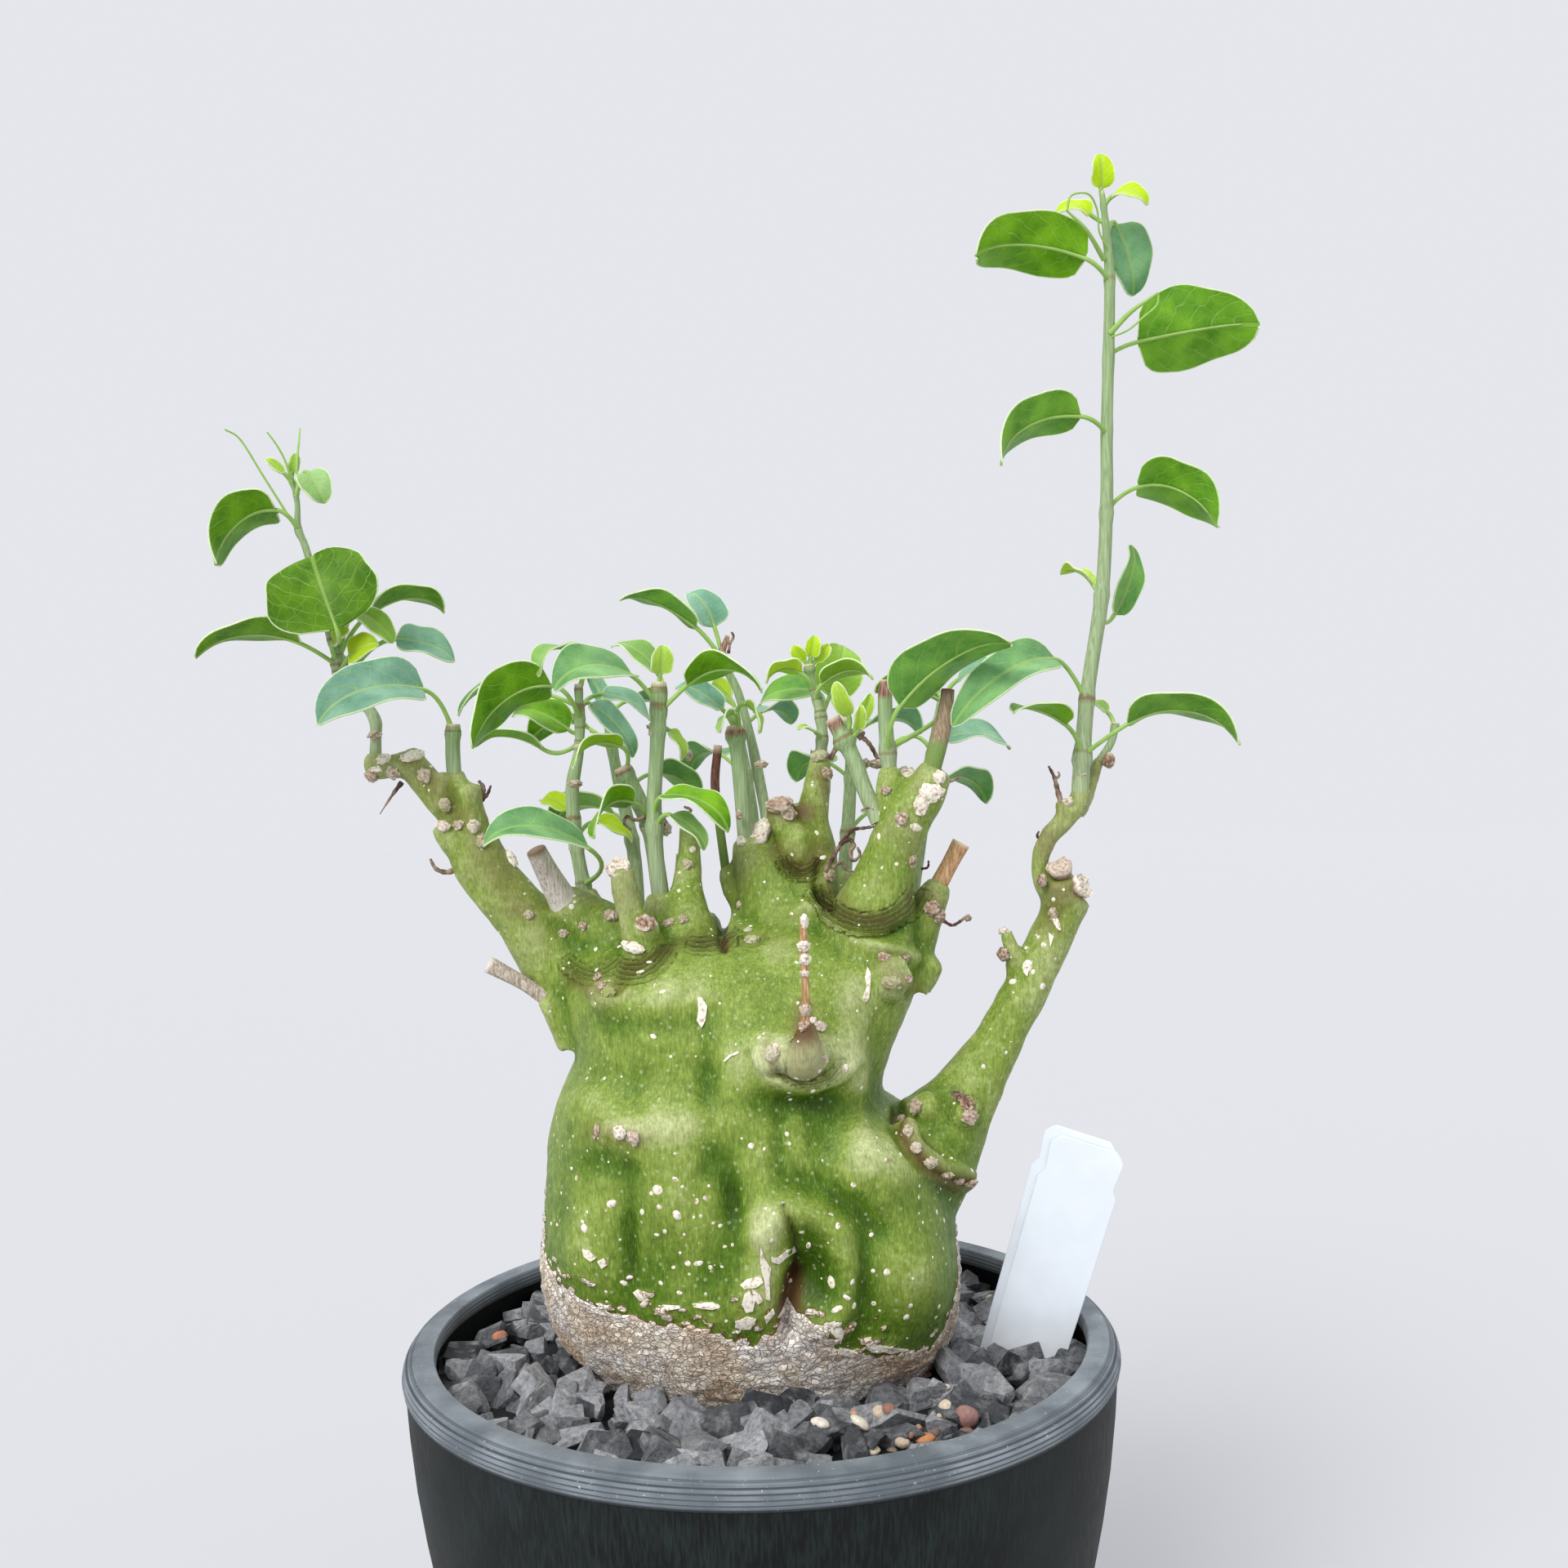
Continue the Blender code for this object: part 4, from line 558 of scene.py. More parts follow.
# Swellings and hollows of the sides and back: centre, reach across and up, height outwards
LUMPS = [
    ((-26, -30, 163), 12, 10, 3.6), ((-33, -24, 140), 7, 12, 2), ((31, -21, 134), 9, 13, 3.4),
    ((26, -25, 157), 9, 7, 2.6), ((-22, -26, 191), 14, 10, 3.6), ((10, -32, 181), 9, 8, 2.4),
    ((-8, -12, 206), 4, 6, -3.5), ((26, 24, 150), 14, 16, 4), ((0, 34, 158), 6, 18, -5),
    ((-24, 28, 165), 13, 15, 4.5), ((-6, 33, 132), 11, 11, 3.5), ((18, 26, 190), 10, 10, 4),
    ((-22, 22, 193), 10, 9, 3.5), ((30, 14, 176), 9, 12, -3), ((8, 34, 140), 5, 10, 2.5),
]
# Swellings and hollows of the front, in the photograph's pixels: centre, reach across and down, how
# far it is turned clockwise in degrees, and height outwards in millimetres
FORMS = [
    (832, 1205, 65, 45, 0, 1.4), (905, 1285, 34, 65, 0, 1.1), (982, 1296, 56, 45, 0, 2.6),
    (1046, 1330, 19, 87, -4, 1.5), (1062, 1205, 47, 43, 0, 1), (1074, 1418, 58, 31, 18, 2.1),
    (846, 1376, 69, 27, -8, 1.4), (735, 1345, 47, 29, 0, 1.2), (765, 1383, 30, 14, 4, 1.1),
    (832, 1472, 45, 69, 0, 2), (722, 1500, 36, 69, 0, 1.8), (938, 1500, 30, 29, 0, 3),
    (930, 1556, 29, 52, 0, 2.2), (1105, 1562, 54, 72, 0, 2.2), (880, 1602, 74, 38, 0, 1.7),
    (930, 1425, 22, 52, 0, 0.6), (1050, 1640, 67, 27, 10, 1.1), (838, 1250, 58, 22, -4, -1.2),
    (757, 1256, 43, 20, 0, -0.9), (868, 1318, 14, 56, 0, -1.2), (772, 1334, 25, 29, 40, -1.1),
    (978, 1350, 63, 18, 0, -2), (1006, 1396, 27, 52, 0, -1.5), (955, 1405, 12, 52, 0, -0.9),
    (735, 1424, 31, 25, 0, -1.9), (770, 1436, 22, 22, 0, -1.4), (773, 1528, 9, 58, 0, -1.2),
    (896, 1470, 13, 44, -8, -1.9), (868, 1425, 12, 24, 20, -0.9), (990, 1566, 25, 34, 0, -3.5),
    (1055, 1552, 11, 54, 0, -1.1), (1076, 1310, 18, 63, 0, -1.1), (1012, 1245, 18, 38, 0, -0.4),
    (940, 1240, 34, 29, 0, -0.4), (960, 1165, 38, 45, 0, 0.6), (700, 1260, 27, 67, 0, -0.4),
]
# Narrow folds of the front: points in pixels, half width and depth in millimetres; a ridge's depth is
# negative
FOLDS = [
    ([(958, 1474), (966, 1494), (974, 1520), (977, 1550), (971, 1574)], 0.6, 2.2),
    ([(974, 1568), (967, 1598), (966, 1630)], 1.5, 5),
    ([(966, 1478), (1000, 1486), (1024, 1508), (1036, 1548), (1030, 1594), (1010, 1616)], 3.4, -3.3),
    ([(975, 1448), (1012, 1462), (1050, 1480), (1074, 1505)], 2.8, 1.5), ([(882, 1150), (887, 1164)], 0.6, 2),
    ([(936, 1270), (932, 1296), (944, 1318), (966, 1334), (994, 1338), (1018, 1326), (1034, 1304)], 1.4, -1),
    ([(946, 1280), (945, 1298), (956, 1312), (982, 1320), (1006, 1312), (1014, 1296)], 0.6, 1.2),
    ([(985, 1112), (1010, 1120), (1045, 1145), (1085, 1160), (1118, 1172)], 1.7, -1.8),
    ([(1003, 1092), (1020, 1122), (1052, 1146), (1088, 1148), (1112, 1132)], 1, 1.5),
    ([(1003, 1060), (1000, 1085), (1012, 1110)], 1, 1.6),
    ([(722, 1212), (738, 1226), (758, 1226), (772, 1216)], 0.9, -0.9),
    ([(1100, 1358), (1096, 1385), (1110, 1412), (1148, 1440), (1186, 1454)], 1.1, 1.5),
    ([(1112, 1352), (1120, 1382), (1144, 1408), (1178, 1434), (1190, 1440)], 1.6, -1),
    ([(1080, 1196), (1090, 1212), (1108, 1214)], 0.8, 1),
    ([(1012, 1338), (1030, 1326), (1048, 1306)], 1, 0.9),
]
# Where old skin has gone brown: points in pixels, half width in millimetres and strength
BROWN_LINES = [
    ([(1103, 1368), (1105, 1390), (1116, 1407), (1132, 1426), (1150, 1440), (1170, 1450), (1190, 1449)],
     1.7, 0.85), ([(965, 1600), (968, 1640), (990, 1660)], 3, 0.8),
    ([(940, 990), (962, 985), (985, 995)], 2.6, 0.9), ([(952, 1040), (980, 1062), (1005, 1040)], 2.6, 0.55),
    ([(1010, 1085), (1040, 1120), (1085, 1128)], 2, 0.4),
    ([(770, 1185), (800, 1170), (850, 1150), (888, 1150)], 1.6, 0.4),
    ([(700, 1200), (730, 1215), (760, 1212)], 2, 0.5), ([(725, 1385), (750, 1392), (785, 1395)], 2.2, 0.35),
    ([(944, 1285), (950, 1308), (978, 1320), (1005, 1312)], 0.6, 0.6),
    ([(985, 1262), (984, 1302)], 2.8, 0.45),
    ([(1284, 1046), (1272, 1020), (1276, 995), (1300, 975)], 2.6, 0.4), ([(985, 1235), (985, 1265)], 2, 0.7),
    ([(888, 1142), (888, 1168)], 0.45, 0.7), ([(1085, 1180), (1100, 1205), (1118, 1210)], 2, 0.4),
    ([(1286, 1130), (1296, 1090), (1320, 1085)], 3, 0.5), ([(1140, 1100), (1150, 1120)], 2.2, 0.5),
    ([(1000, 940), (1012, 965)], 2.2, 0.5), ([(500, 930), (530, 960), (560, 1000)], 3, 0.45),
    ([(590, 1040), (640, 1110)], 3, 0.35),
]
# Wrinkles round the roots of limbs: centre, inner and outer reach in pixels, the sector they fill in
# degrees from the right by way of below, and how strong they are
RINGS = [
    ((1062, 1062), 54, 88, 20, 160, 0.9), ((982, 1046), 12, 36, 10, 175, 1),
    ((775, 1150), 26, 60, 10, 120, 0.8), ((727, 1150), 30, 58, 30, 150, 0.5),
    ((740, 1205), 22, 34, 200, 330, 0.7), ((989, 1290), 28, 42, 5, 175, 0.8),
    ((920, 1140), 12, 26, 10, 170, 0.6), ((1096, 1205), 14, 26, 20, 170, 0.5),
    ((860, 1100), 48, 74, 40, 110, 0.8), ((1183, 1362), 12, 24, 0, 360, 0.6),
]
# Limbs, stubs and knots: x, y, z and radius along each
LIMBS = [
    [(-22, -2, 186, 17), (-22, -2, 192, 14)], [(12, 0, 190, 20), (12, 1, 199, 15)],
    [(-26, -2, 186, 13), (-40, -2, 196, 9), (-48, -3, 206, 6.8), (-54, -3, 213, 6), (-59, -2, 220, 6),
     (-60, -2, 225, 5.4)],
    [(-63, -2, 220, 4.2), (-60, -3, 227, 4), (-59.8, -4, 231, 2.9), (-59.5, -5, 235.4, 2.7)],
    [(-65.4, -4, 231, 2.6), (-65.4, -5, 235, 1.9), (-65.6, -5.4, 238.2, 1.7)],
    [(-61.6, -4, 222, 3.8), (-64.4, -5, 224.6, 3), (-66, -5.4, 227.2, 2.3)],
    [(-60, -2, 226, 4.4), (-66, -2, 232, 3.7), (-71, -2, 238, 3.5), (-74.3, -2, 241.5, 3.7)],
    [(-73, -2, 240, 3.2), (-77, -1.5, 239.6, 2.6), (-80.3, -1, 239.6, 2.8), (-80.6, -0.6, 242.5, 2.3)],
    [(-60, -3, 230, 3.2), (-62, -3, 234, 2.6), (-63.2, -3, 238, 2.1)],
    [(-28, -3, 199, 9), (-36, -4, 206, 6), (-40, -7, 210.5, 4)],
    [(-33, 3, 202, 6), (-36.8, 6, 208.5, 3.9), (-37, 6, 212, 2.7)],
    [(-21, -14, 198, 6), (-23.6, -17, 205, 3.4), (-25.4, -18, 212, 2.7), (-26.3, -18, 217.5, 2.6)],
    [(-21.5, -16, 203, 3.2), (-21, -20.5, 206.3, 2.5)],
    [(-18, -6, 196, 8), (-19.5, -6, 205, 4.6), (-19.6, -6, 211.5, 2.4)],
    [(-14, -8, 193, 9.5), (-14.2, -7, 202, 7), (-14, -4, 211, 3.8), (-13.4, -2, 218, 2.8),
     (-13.2, -2, 226, 2.3)], [(-19, 4, 196, 7), (-19.8, 4, 206, 4), (-20.2, 4, 210.5, 2.7)],
    [(9, 0, 200, 12), (5, 2, 211, 8.6), (1.6, 4, 219, 6.4), (1, 4.5, 222.6, 5)],
    [(2, 4, 206, 6), (-3.6, 5, 211, 3.2), (-6, 5.6, 216.4, 1.7)],
    [(11, 0, 206, 8), (13, 1, 217, 6), (13.2, 1, 222, 4.6), (13, 1, 226, 3.8), (14.6, 2, 234, 3.2),
     (15.5, 3, 241, 2.1)], [(10, -1.5, 218, 4.4), (9.5, -2, 221.5, 4), (11.5, -1.5, 224.5, 3.4)],
    [(13, 1, 223, 3.8), (8.6, -1, 223.6, 3.4), (6.6, -1.5, 227.5, 3.3), (6.4, -1.5, 231, 2.9)],
    [(23, -8, 198, 11.5), (25.5, -9, 206, 9), (29, -10, 217, 6), (32.5, -12, 226, 5.4),
     (36.2, -13, 231.5, 4.8), (39.4, -14, 236.4, 3.6)],
    [(31.5, -10.5, 223, 5), (30, -10.2, 230, 4), (29.4, -9.8, 237, 2.2)],
    [(30, -3, 196, 8), (36, -4, 205, 4.8), (40.2, -4, 212.5, 2.6)],
    [(30, 4, 198, 7), (34.6, 6, 206, 3.6), (35.2, 6.5, 210.5, 2.2)], [(27, -16, 193, 5), (30, -21, 195, 3)],
    [(34, -6, 192, 5), (38.5, -8, 196, 2.2)], [(-28, -20, 191, 5), (-30.5, -25, 193, 3)],
    [(-27, -28, 164, 6), (-27.5, -32, 164.5, 3)],
    [(9.6, -29, 180.6, 3.4), (9.8, -32.6, 180.6, 2.2), (10.5, -35, 183.6, 1.5), (10.9, -35.6, 187.6, 1.2)],
    [(4.6, -30, 181, 3), (4, -34.6, 181.6, 1.7)],
    [(-37, -6, 182, 6), (-42, -8, 188, 3.2), (-44, -8, 190.4, 2.2)],
    [(28, -4, 147, 15), (37, -5, 157, 11.5), (44.2, -5, 167, 7.4), (51.2, -5, 178, 5.3), (58, -5, 190, 4.9),
     (64.2, -5, 202, 4.6), (67.3, -5, 209, 4.8)],
    [(30, -19.5, 165, 2.2), (31, -22, 160, 2.4), (36, -20.6, 155.5, 2.4), (42, -13.6, 151, 2.2),
     (44.5, -8, 149, 1.8)], [(42, -9, 164, 4), (44, -13.5, 165.5, 2.6)],
    [(37, -10, 164, 5), (34.5, -14, 168, 2.2)],
    [(56.5, -6, 194, 3.4), (54.6, -8, 198, 1.9), (53.2, -8, 202, 1.6)],
    [(65.5, -6, 208, 4.4), (64.6, -8, 213, 3.6)],
    [(65, -5, 209, 3.8), (61.8, -5, 212.6, 2.3), (61.4, -5, 217, 2.1), (63.6, -5, 221.8, 2.2),
     (67.6, -5, 225.8, 2.2), (70.2, -5, 229, 2.3), (70.2, -5, 232, 1.9)],
    [(68, -5, 225.3, 2.2), (66.6, -5, 227.6, 1.9), (66, -5, 229.4, 1.4)],
    [(69.4, -4, 226.5, 2.5), (72.8, -1.2, 232.5, 1.9), (75.8, 0, 238, 1.4)],
    [(-22, 12, 192, 8), (-26, 17, 202, 4.2), (-26.6, 18, 206.4, 2.4)],
    [(2, 10, 198, 10), (1, 18, 209, 4.6), (0.6, 19.5, 214, 2.4)],
    [(16, 10, 198, 10), (20, 17, 209, 4.4), (20.6, 18.5, 213.4, 2.4)],
    [(-14, 12, 196, 7), (-15, 17, 208, 3.8), (-15.6, 20, 219, 2.6)],
    [(30, 12, 196, 7), (31, 18, 206, 3.6), (34, 24, 215, 2.6)], [(-10, 30, 176, 6), (-11, 35, 178, 3.2)],
    [(20, 26, 168, 6), (22, 31, 170, 2.6)],
]
# The gap between the lobes of the crown, through which one sees: x and height of its wedge
GAP_PLACE = (-6.6, 209.5)
SKIN_VOXEL = 0.72
SKIN_SMOOTHING = 9
# Where cork begins, going round the foot: degrees from the right by way of the back, and height
CORK_EDGE = [
    (-180, 139), (-172, 139), (-155, 134), (-140, 131), (-125, 128.5), (-112, 128), (-104, 126.5),
    (-92, 125.5), (-85, 127), (-79, 132), (-73, 129), (-66, 124), (-55, 120.5), (-43, 119), (-28, 117),
    (-14, 128), (-4, 136), (20, 132), (60, 126), (90, 124), (120, 128), (150, 134), (180, 139),
]


def fine_route(stops, steps):
    """More stops between the given ones, on a smooth curve through them."""
    stops = np.array(stops, float)
    stops = np.vstack([stops[0] * 2 - stops[1], stops, stops[-1] * 2 - stops[-2]])
    fine = []
    for a, b, c, d in zip(stops, stops[1:], stops[2:], stops[3:]):
        for step in range(steps):
            t = step / steps
            bend, turn = 2 * a - 5 * b + 4 * c - d, 3 * b - a - 3 * c + d
            fine.append(0.5 * (2 * b + (c - a) * t + bend * t ** 2 + turn * t ** 3))
    fine.append(stops[-2])
    return np.array(fine)


def grown_tubes(name, routes, roundness):
    """One mesh from curves that are as thick at each stop as the stop says, closed at their ends."""
    deselect()
    bpy.ops.curve.primitive_bezier_curve_add()
    obj = bpy.context.object
    obj.name = name
    shape = obj.data
    shape.splines.clear()
    shape.dimensions = "3D"
    shape.bevel_depth = MM
    shape.bevel_resolution = roundness
    shape.use_fill_caps = True
    for route in routes:
        line = shape.splines.new("POLY")
        line.points.add(len(route) - 1)
        for point, stop in zip(line.points, route):
            point.co = (stop[0] * MM, stop[1] * MM, stop[2] * MM, 1.0)
            point.radius = stop[3]
    obj.matrix_world = Matrix.Identity(4)
    bpy.ops.object.convert(target="MESH")
    obj = bpy.context.object
    bpy.ops.object.mode_set(mode="EDIT")
    bpy.ops.mesh.select_all(action="SELECT")
    bpy.ops.mesh.remove_doubles(threshold=1e-6)
    face_outwards()
    return obj


def body_points(rows, sides):
    """Rings of the body: squarish ovals, pushed in and out by the lumps."""
    levels = np.array(BODY_LEVELS)
    heights = np.linspace(levels[0, 0], levels[-1, 0], rows)
    slopes = np.gradient(levels[:, 1:], levels[:, 0], axis=0)
    reach = []
    for height in heights:
        low = min(int(np.searchsorted(levels[:, 0], height, side="right")) - 1, len(levels) - 2)
        span = levels[low + 1, 0] - levels[low, 0]
        t = (height - levels[low, 0]) / span
        reach.append((2 * t ** 3 - 3 * t ** 2 + 1) * levels[low, 1:]
                     + (t ** 3 - 2 * t ** 2 + t) * span * slopes[low]
                     + (3 * t ** 2 - 2 * t ** 3) * levels[low + 1, 1:]
                     + (t ** 3 - t ** 2) * span * slopes[low + 1])
    left, right, front, back = np.array(reach).T[:, :, None]
    turn = np.linspace(0, math.tau, sides, endpoint=False)[None, :]
    aim_x, aim_y = np.cos(turn), np.sin(turn)
    power = 1.85 + 0.5 * np.clip((heights - FOOT_HEIGHT) / 30, 0, 1)[:, None]
    square = (np.abs(aim_x) ** power + np.abs(aim_y) ** power) ** (-1 / power)
    x = (left + right) / 2 + aim_x * (right - left) / 2 * square
    y = (front + back) / 2 + aim_y * (back - front) / 2 * square
    z = np.repeat(heights[:, None], sides, axis=1)
    push = np.zeros_like(x)
    for (at_x, at_y, at_z), across, up, out in LUMPS:
        away = ((x - at_x) / across) ** 2 + ((y - at_y) / (across + 6.0)) ** 2 + ((z - at_z) / up) ** 2
        push += out * np.exp(-away)
    return np.stack([x + aim_x * push, y + aim_y * push, z], axis=2)


def in_photo(points):
    """The photograph's pixels at which points, in millimetres, show, and the millimetres in a pixel."""
    away = points - np.array(CAMERA_PLACE)
    depth = away @ np.array(CAMERA_AHEAD)
    across = PHOTO_SIZE / 2 + PHOTO_REACH * (away @ np.array(CAMERA_RIGHT)) / depth
    down = PHOTO_SIZE / 2 - PHOTO_REACH * (away @ np.array(CAMERA_UP)) / depth
    return np.stack([across, down], axis=1), depth / PHOTO_REACH


def line_distance(places, line):
    """How far places are from a line through points."""
    best = np.full(len(places), 1e9)
    for a, b in zip(np.array(line, float), np.array(line[1:], float)):
        share = np.clip(((places - a) @ (b - a)) / ((b - a) @ (b - a)), 0, 1)
        best = np.minimum(best, np.linalg.norm(places - a - share[:, None] * (b - a), axis=1))
    return best


def mesh_arrays(obj):
    """Points and outward directions of a mesh in millimetres, and its edges."""
    count = len(obj.data.vertices)
    points = np.empty(count * 3)
    normals = np.empty(count * 3)
    edges = np.empty(len(obj.data.edges) * 2, np.int64)
    obj.data.vertices.foreach_get("co", points)
    obj.data.vertex_normals.foreach_get("vector", normals)
    obj.data.edges.foreach_get("vertices", edges)
    return points.reshape(-1, 3) / MM, normals.reshape(-1, 3), edges.reshape(-1, 2)


def spread_out(values, edges, times):
    """Evens out values over the points of a mesh."""
    count = np.bincount(edges.ravel(), minlength=len(values))[:, None]
    values = values.reshape(len(values), -1)
    for _ in range(times):
        total = np.zeros_like(values)
        for column in range(values.shape[1]):
            total[:, column] = (np.bincount(edges[:, 0], values[edges[:, 1], column], len(values))
                                + np.bincount(edges[:, 1], values[edges[:, 0], column], len(values)))
        values = 0.5 * values + 0.5 * total / count
    return values


def noise_at(points, size, seed):
    """Smooth noise at points, its features as large as the size."""
    shift = Vector((seed * 3.7, seed * 1.3, -seed * 2.1))
    return np.array([noise.noise(Vector(p) / size + shift) for p in points])


# The body first, with the gap cut through its crown, then the limbs, and one skin drawn over all
ROWS, SIDES = 130, 160
rings = body_points(ROWS, SIDES)
faces = []
for row in range(ROWS - 1):
    for side in range(SIDES):
        after = (side + 1) % SIDES
        low, high = row * SIDES, (row + 1) * SIDES
        faces.append((low + side, low + after, high + after, high + side))
faces.append(tuple(reversed(range(SIDES))))
faces.append(tuple(range((ROWS - 1) * SIDES, ROWS * SIDES)))
mesh = bpy.data.meshes.new("caudex_skin")
mesh.from_pydata((rings.reshape(-1, 3) * MM).tolist(), [], faces)
body = bpy.data.objects.new("caudex_skin", mesh)
bpy.context.scene.collection.objects.link(body)
deselect()
bpy.ops.mesh.primitive_cylinder_add(vertices=3, radius=1.0, depth=2.0, rotation=(math.radians(-90), 0, 0))
wedge = bpy.context.object
wedge.data.transform(wedge.matrix_world)
wedge.matrix_world = Matrix.Identity(4)
move_points(wedge, lambda points: [
    (GAP_PLACE[0] + p[0] * MM * 4.6, p[1] * MM * 48.0, GAP_PLACE[1] - p[1] * MM * 4.8 + p[2] * MM * 11.0)
    for p in points])
apply_modifier(body, "BOOLEAN", object=wedge, operation="DIFFERENCE", solver="EXACT")
bpy.data.objects.remove(wedge)
limbs = grown_tubes("limbs", [fine_route(stops, 5) for stops in LIMBS], 6)
skin = join_pieces("caudex_skin", [body, limbs])
apply_modifier(skin, "REMESH", mode="VOXEL", voxel_size=SKIN_VOXEL * MM)
apply_modifier(skin, "SMOOTH", factor=0.5, iterations=SKIN_SMOOTHING)

# The front is worked after the photograph: swellings, folds, browned lines and wrinkles. What faces
# away from the camera takes none of it.
points, normals, edges = mesh_arrays(skin)
smooth_normals = spread_out(normals, edges, 12)
smooth_normals /= np.linalg.norm(smooth_normals, axis=1)[:, None]
places, pixel = in_photo(points)
toward = np.array(CAMERA_PLACE) - points
toward /= np.linalg.norm(toward, axis=1)[:, None]
facing = np.clip((smooth_normals * toward).sum(axis=1) * 3.0, 0, 1) * (points[:, 1] < 0)
push = np.zeros(len(points))
swell = np.zeros(len(points))
for at_x, at_y, across, down, tilt, out in FORMS:
    turn = math.radians(tilt)
    off_x, off_y = places[:, 0] - at_x, places[:, 1] - at_y
    along = off_x * math.cos(turn) + off_y * math.sin(turn)
    aside = off_y * math.cos(turn) - off_x * math.sin(turn)
    swell += out * np.exp(-(along / across) ** 2 - (aside / down) ** 2) * facing
push += swell + 0.4 * noise_at(points, 8.0, 1) + 0.2 * noise_at(points, 3.2, 2)
fold_shade_and_crust = np.zeros(len(points))
for line, width, depth in FOLDS:
    away = line_distance(places, line) * pixel
    mark = np.exp(-(away / width) ** 2) * facing
    push -= depth * mark
    # Deep folds are painted brown and dark: partly the crust in them, partly painted shade.
    fold_shade_and_crust += mark * max(depth - 1.5, 0) / 1.5
browned = np.zeros(len(points))
for line, width, strength in BROWN_LINES:
    browned += strength * np.exp(-(line_distance(places, line) * pixel / width) ** 2) * facing
ring_reach = np.zeros(len(points))
ring_mark = np.zeros(len(points))
for centre, inner, outer, start, stop, strength in RINGS:
    offset = places - np.array(centre)
    away = np.linalg.norm(offset, axis=1)
    turn = np.degrees(np.arctan2(offset[:, 1], offset[:, 0])) % 360
    band = np.clip((away - inner) / 8, 0, 1) * np.clip((outer - away) / 14, 0, 1)
    sector = 1.0
    if stop - start < 360:
        sector = np.clip((turn - start) / 14, 0, 1) * np.clip((stop - turn) / 14, 0, 1)
    mark = band * sector * facing * strength
    better = mark > ring_mark
    ring_reach[better] = (away * pixel)[better]
    ring_mark = np.maximum(ring_mark, mark)
points = points + smooth_normals * push[:, None]
move_points(skin, lambda _: points)
apply_modifier(skin, "SMOOTH", factor=0.4, iterations=2)

# Cork stands a little proud of the living skin, and loose flakes of it lie above its edge
points, normals, edges = mesh_arrays(skin)
turn = np.degrees(np.arctan2(points[:, 1], points[:, 0]))
edge = np.interp(turn, [a for a, _ in CORK_EDGE], [z for _, z in CORK_EDGE])
ragged = 2.0 * noise_at(points, 5.0, 5) + 1.6 * noise_at(points, 1.9, 6)
above = points[:, 2] - edge - ragged
cork = np.clip(0.5 - above / 2.6, 0, 1)
flakes = noise_at(points * (1, 1, 2.2), 3.0, 7) + 0.5 * noise_at(points * (1, 1, 2), 1.3, 8)
stray = np.clip((flakes - 0.13 - above / 22.0 + 0.06 * (points[:, 0] > 8)) * 5, 0, 1)
stray = stray * (above < 9) * (above > 0)
cork = np.maximum(cork, stray)
points = points + normals * (cork * (0.45 * flakes + 0.3))[:, None]
move_points(skin, lambda _: points)

# What the skin's material reads: cork; brown, with painted shade in the deep folds; painted light
# and shade, paler where the skin stands out and higher up, darker where it lies deep or low; and age
mean = spread_out(points, edges, 60)
rise = ((points - mean) * normals).sum(axis=1)
rise = spread_out(rise, edges, 4)[:, 0]
# Painted light: the skin is painted darker the lower it lies, as if lit from above.
lit = np.clip((points[:, 2] - 166) / 85, -0.5, 0.06)
# Painted light and shade: paler where the skin stands out or swells, darker where it lies deep.
tone_and_painted_light = np.clip(np.clip(rise / 1.8, -1, 0.4) + swell / 5.5 + lit, -1, 1)
age = np.clip((points[:, 2] - 196.0) / 14.0, 0, 1)
store(skin, "marks", np.stack([cork, np.clip(fold_shade_and_crust * 0.8 + browned, 0, 1), tone_and_painted_light, age], axis=1))
nought = np.zeros(len(points))
store(skin, "wrinkles", np.stack([ring_reach, ring_mark, nought, nought + 1], axis=1))
pick(skin)
bpy.ops.object.shade_smooth()
skin_tree = touch_tree(points, skin)

# Living skin: waxy and yellow-green, in clouds of 16 mm and mottles of 1.6 mm, with streaks 0.4 mm wide
# down it, and painted light and shade: paler on the swellings, deep green in the folds and lower down.
# Wrinkles 1 mm apart ring the limbs.
# The foot is under flaking tan cork, whose flakes are 1.8 mm wide and lie flat.
made = new_material("living_green_skin", IOR=1.42, Specular_IOR_Level=0.32)
place = add_node("TexCoord", {}, "Object")
marks, aged = add_node("Attribute", {}, "Color", "Alpha", attribute_name="marks")
cork_part, brown_and_fold_shade, painted_light_part = add_node("SeparateColor", {0: marks}, 0, 1, 2)
wrinkles = add_node("Attribute", {}, "Color", attribute_name="wrinkles")
reach_part, ring_part = add_node("SeparateColor", {0: wrinkles}, 0, 1)
clouds = add_node("TexNoise", {"Vector": place, "Scale": 62.0, "Detail": 7.0, "Roughness": 0.68})
mottle = add_node("TexNoise", {"Vector": place, "Scale": 640.0, "Detail": 6.0, "Roughness": 0.75})
stretched = add_node("Mapping", {"Vector": place, "Scale": (2400.0, 2400.0, 420.0)})
streaks = add_node("TexNoise", {"Vector": stretched, "Scale": 1.0, "Detail": 5.0, "Roughness": 0.65})
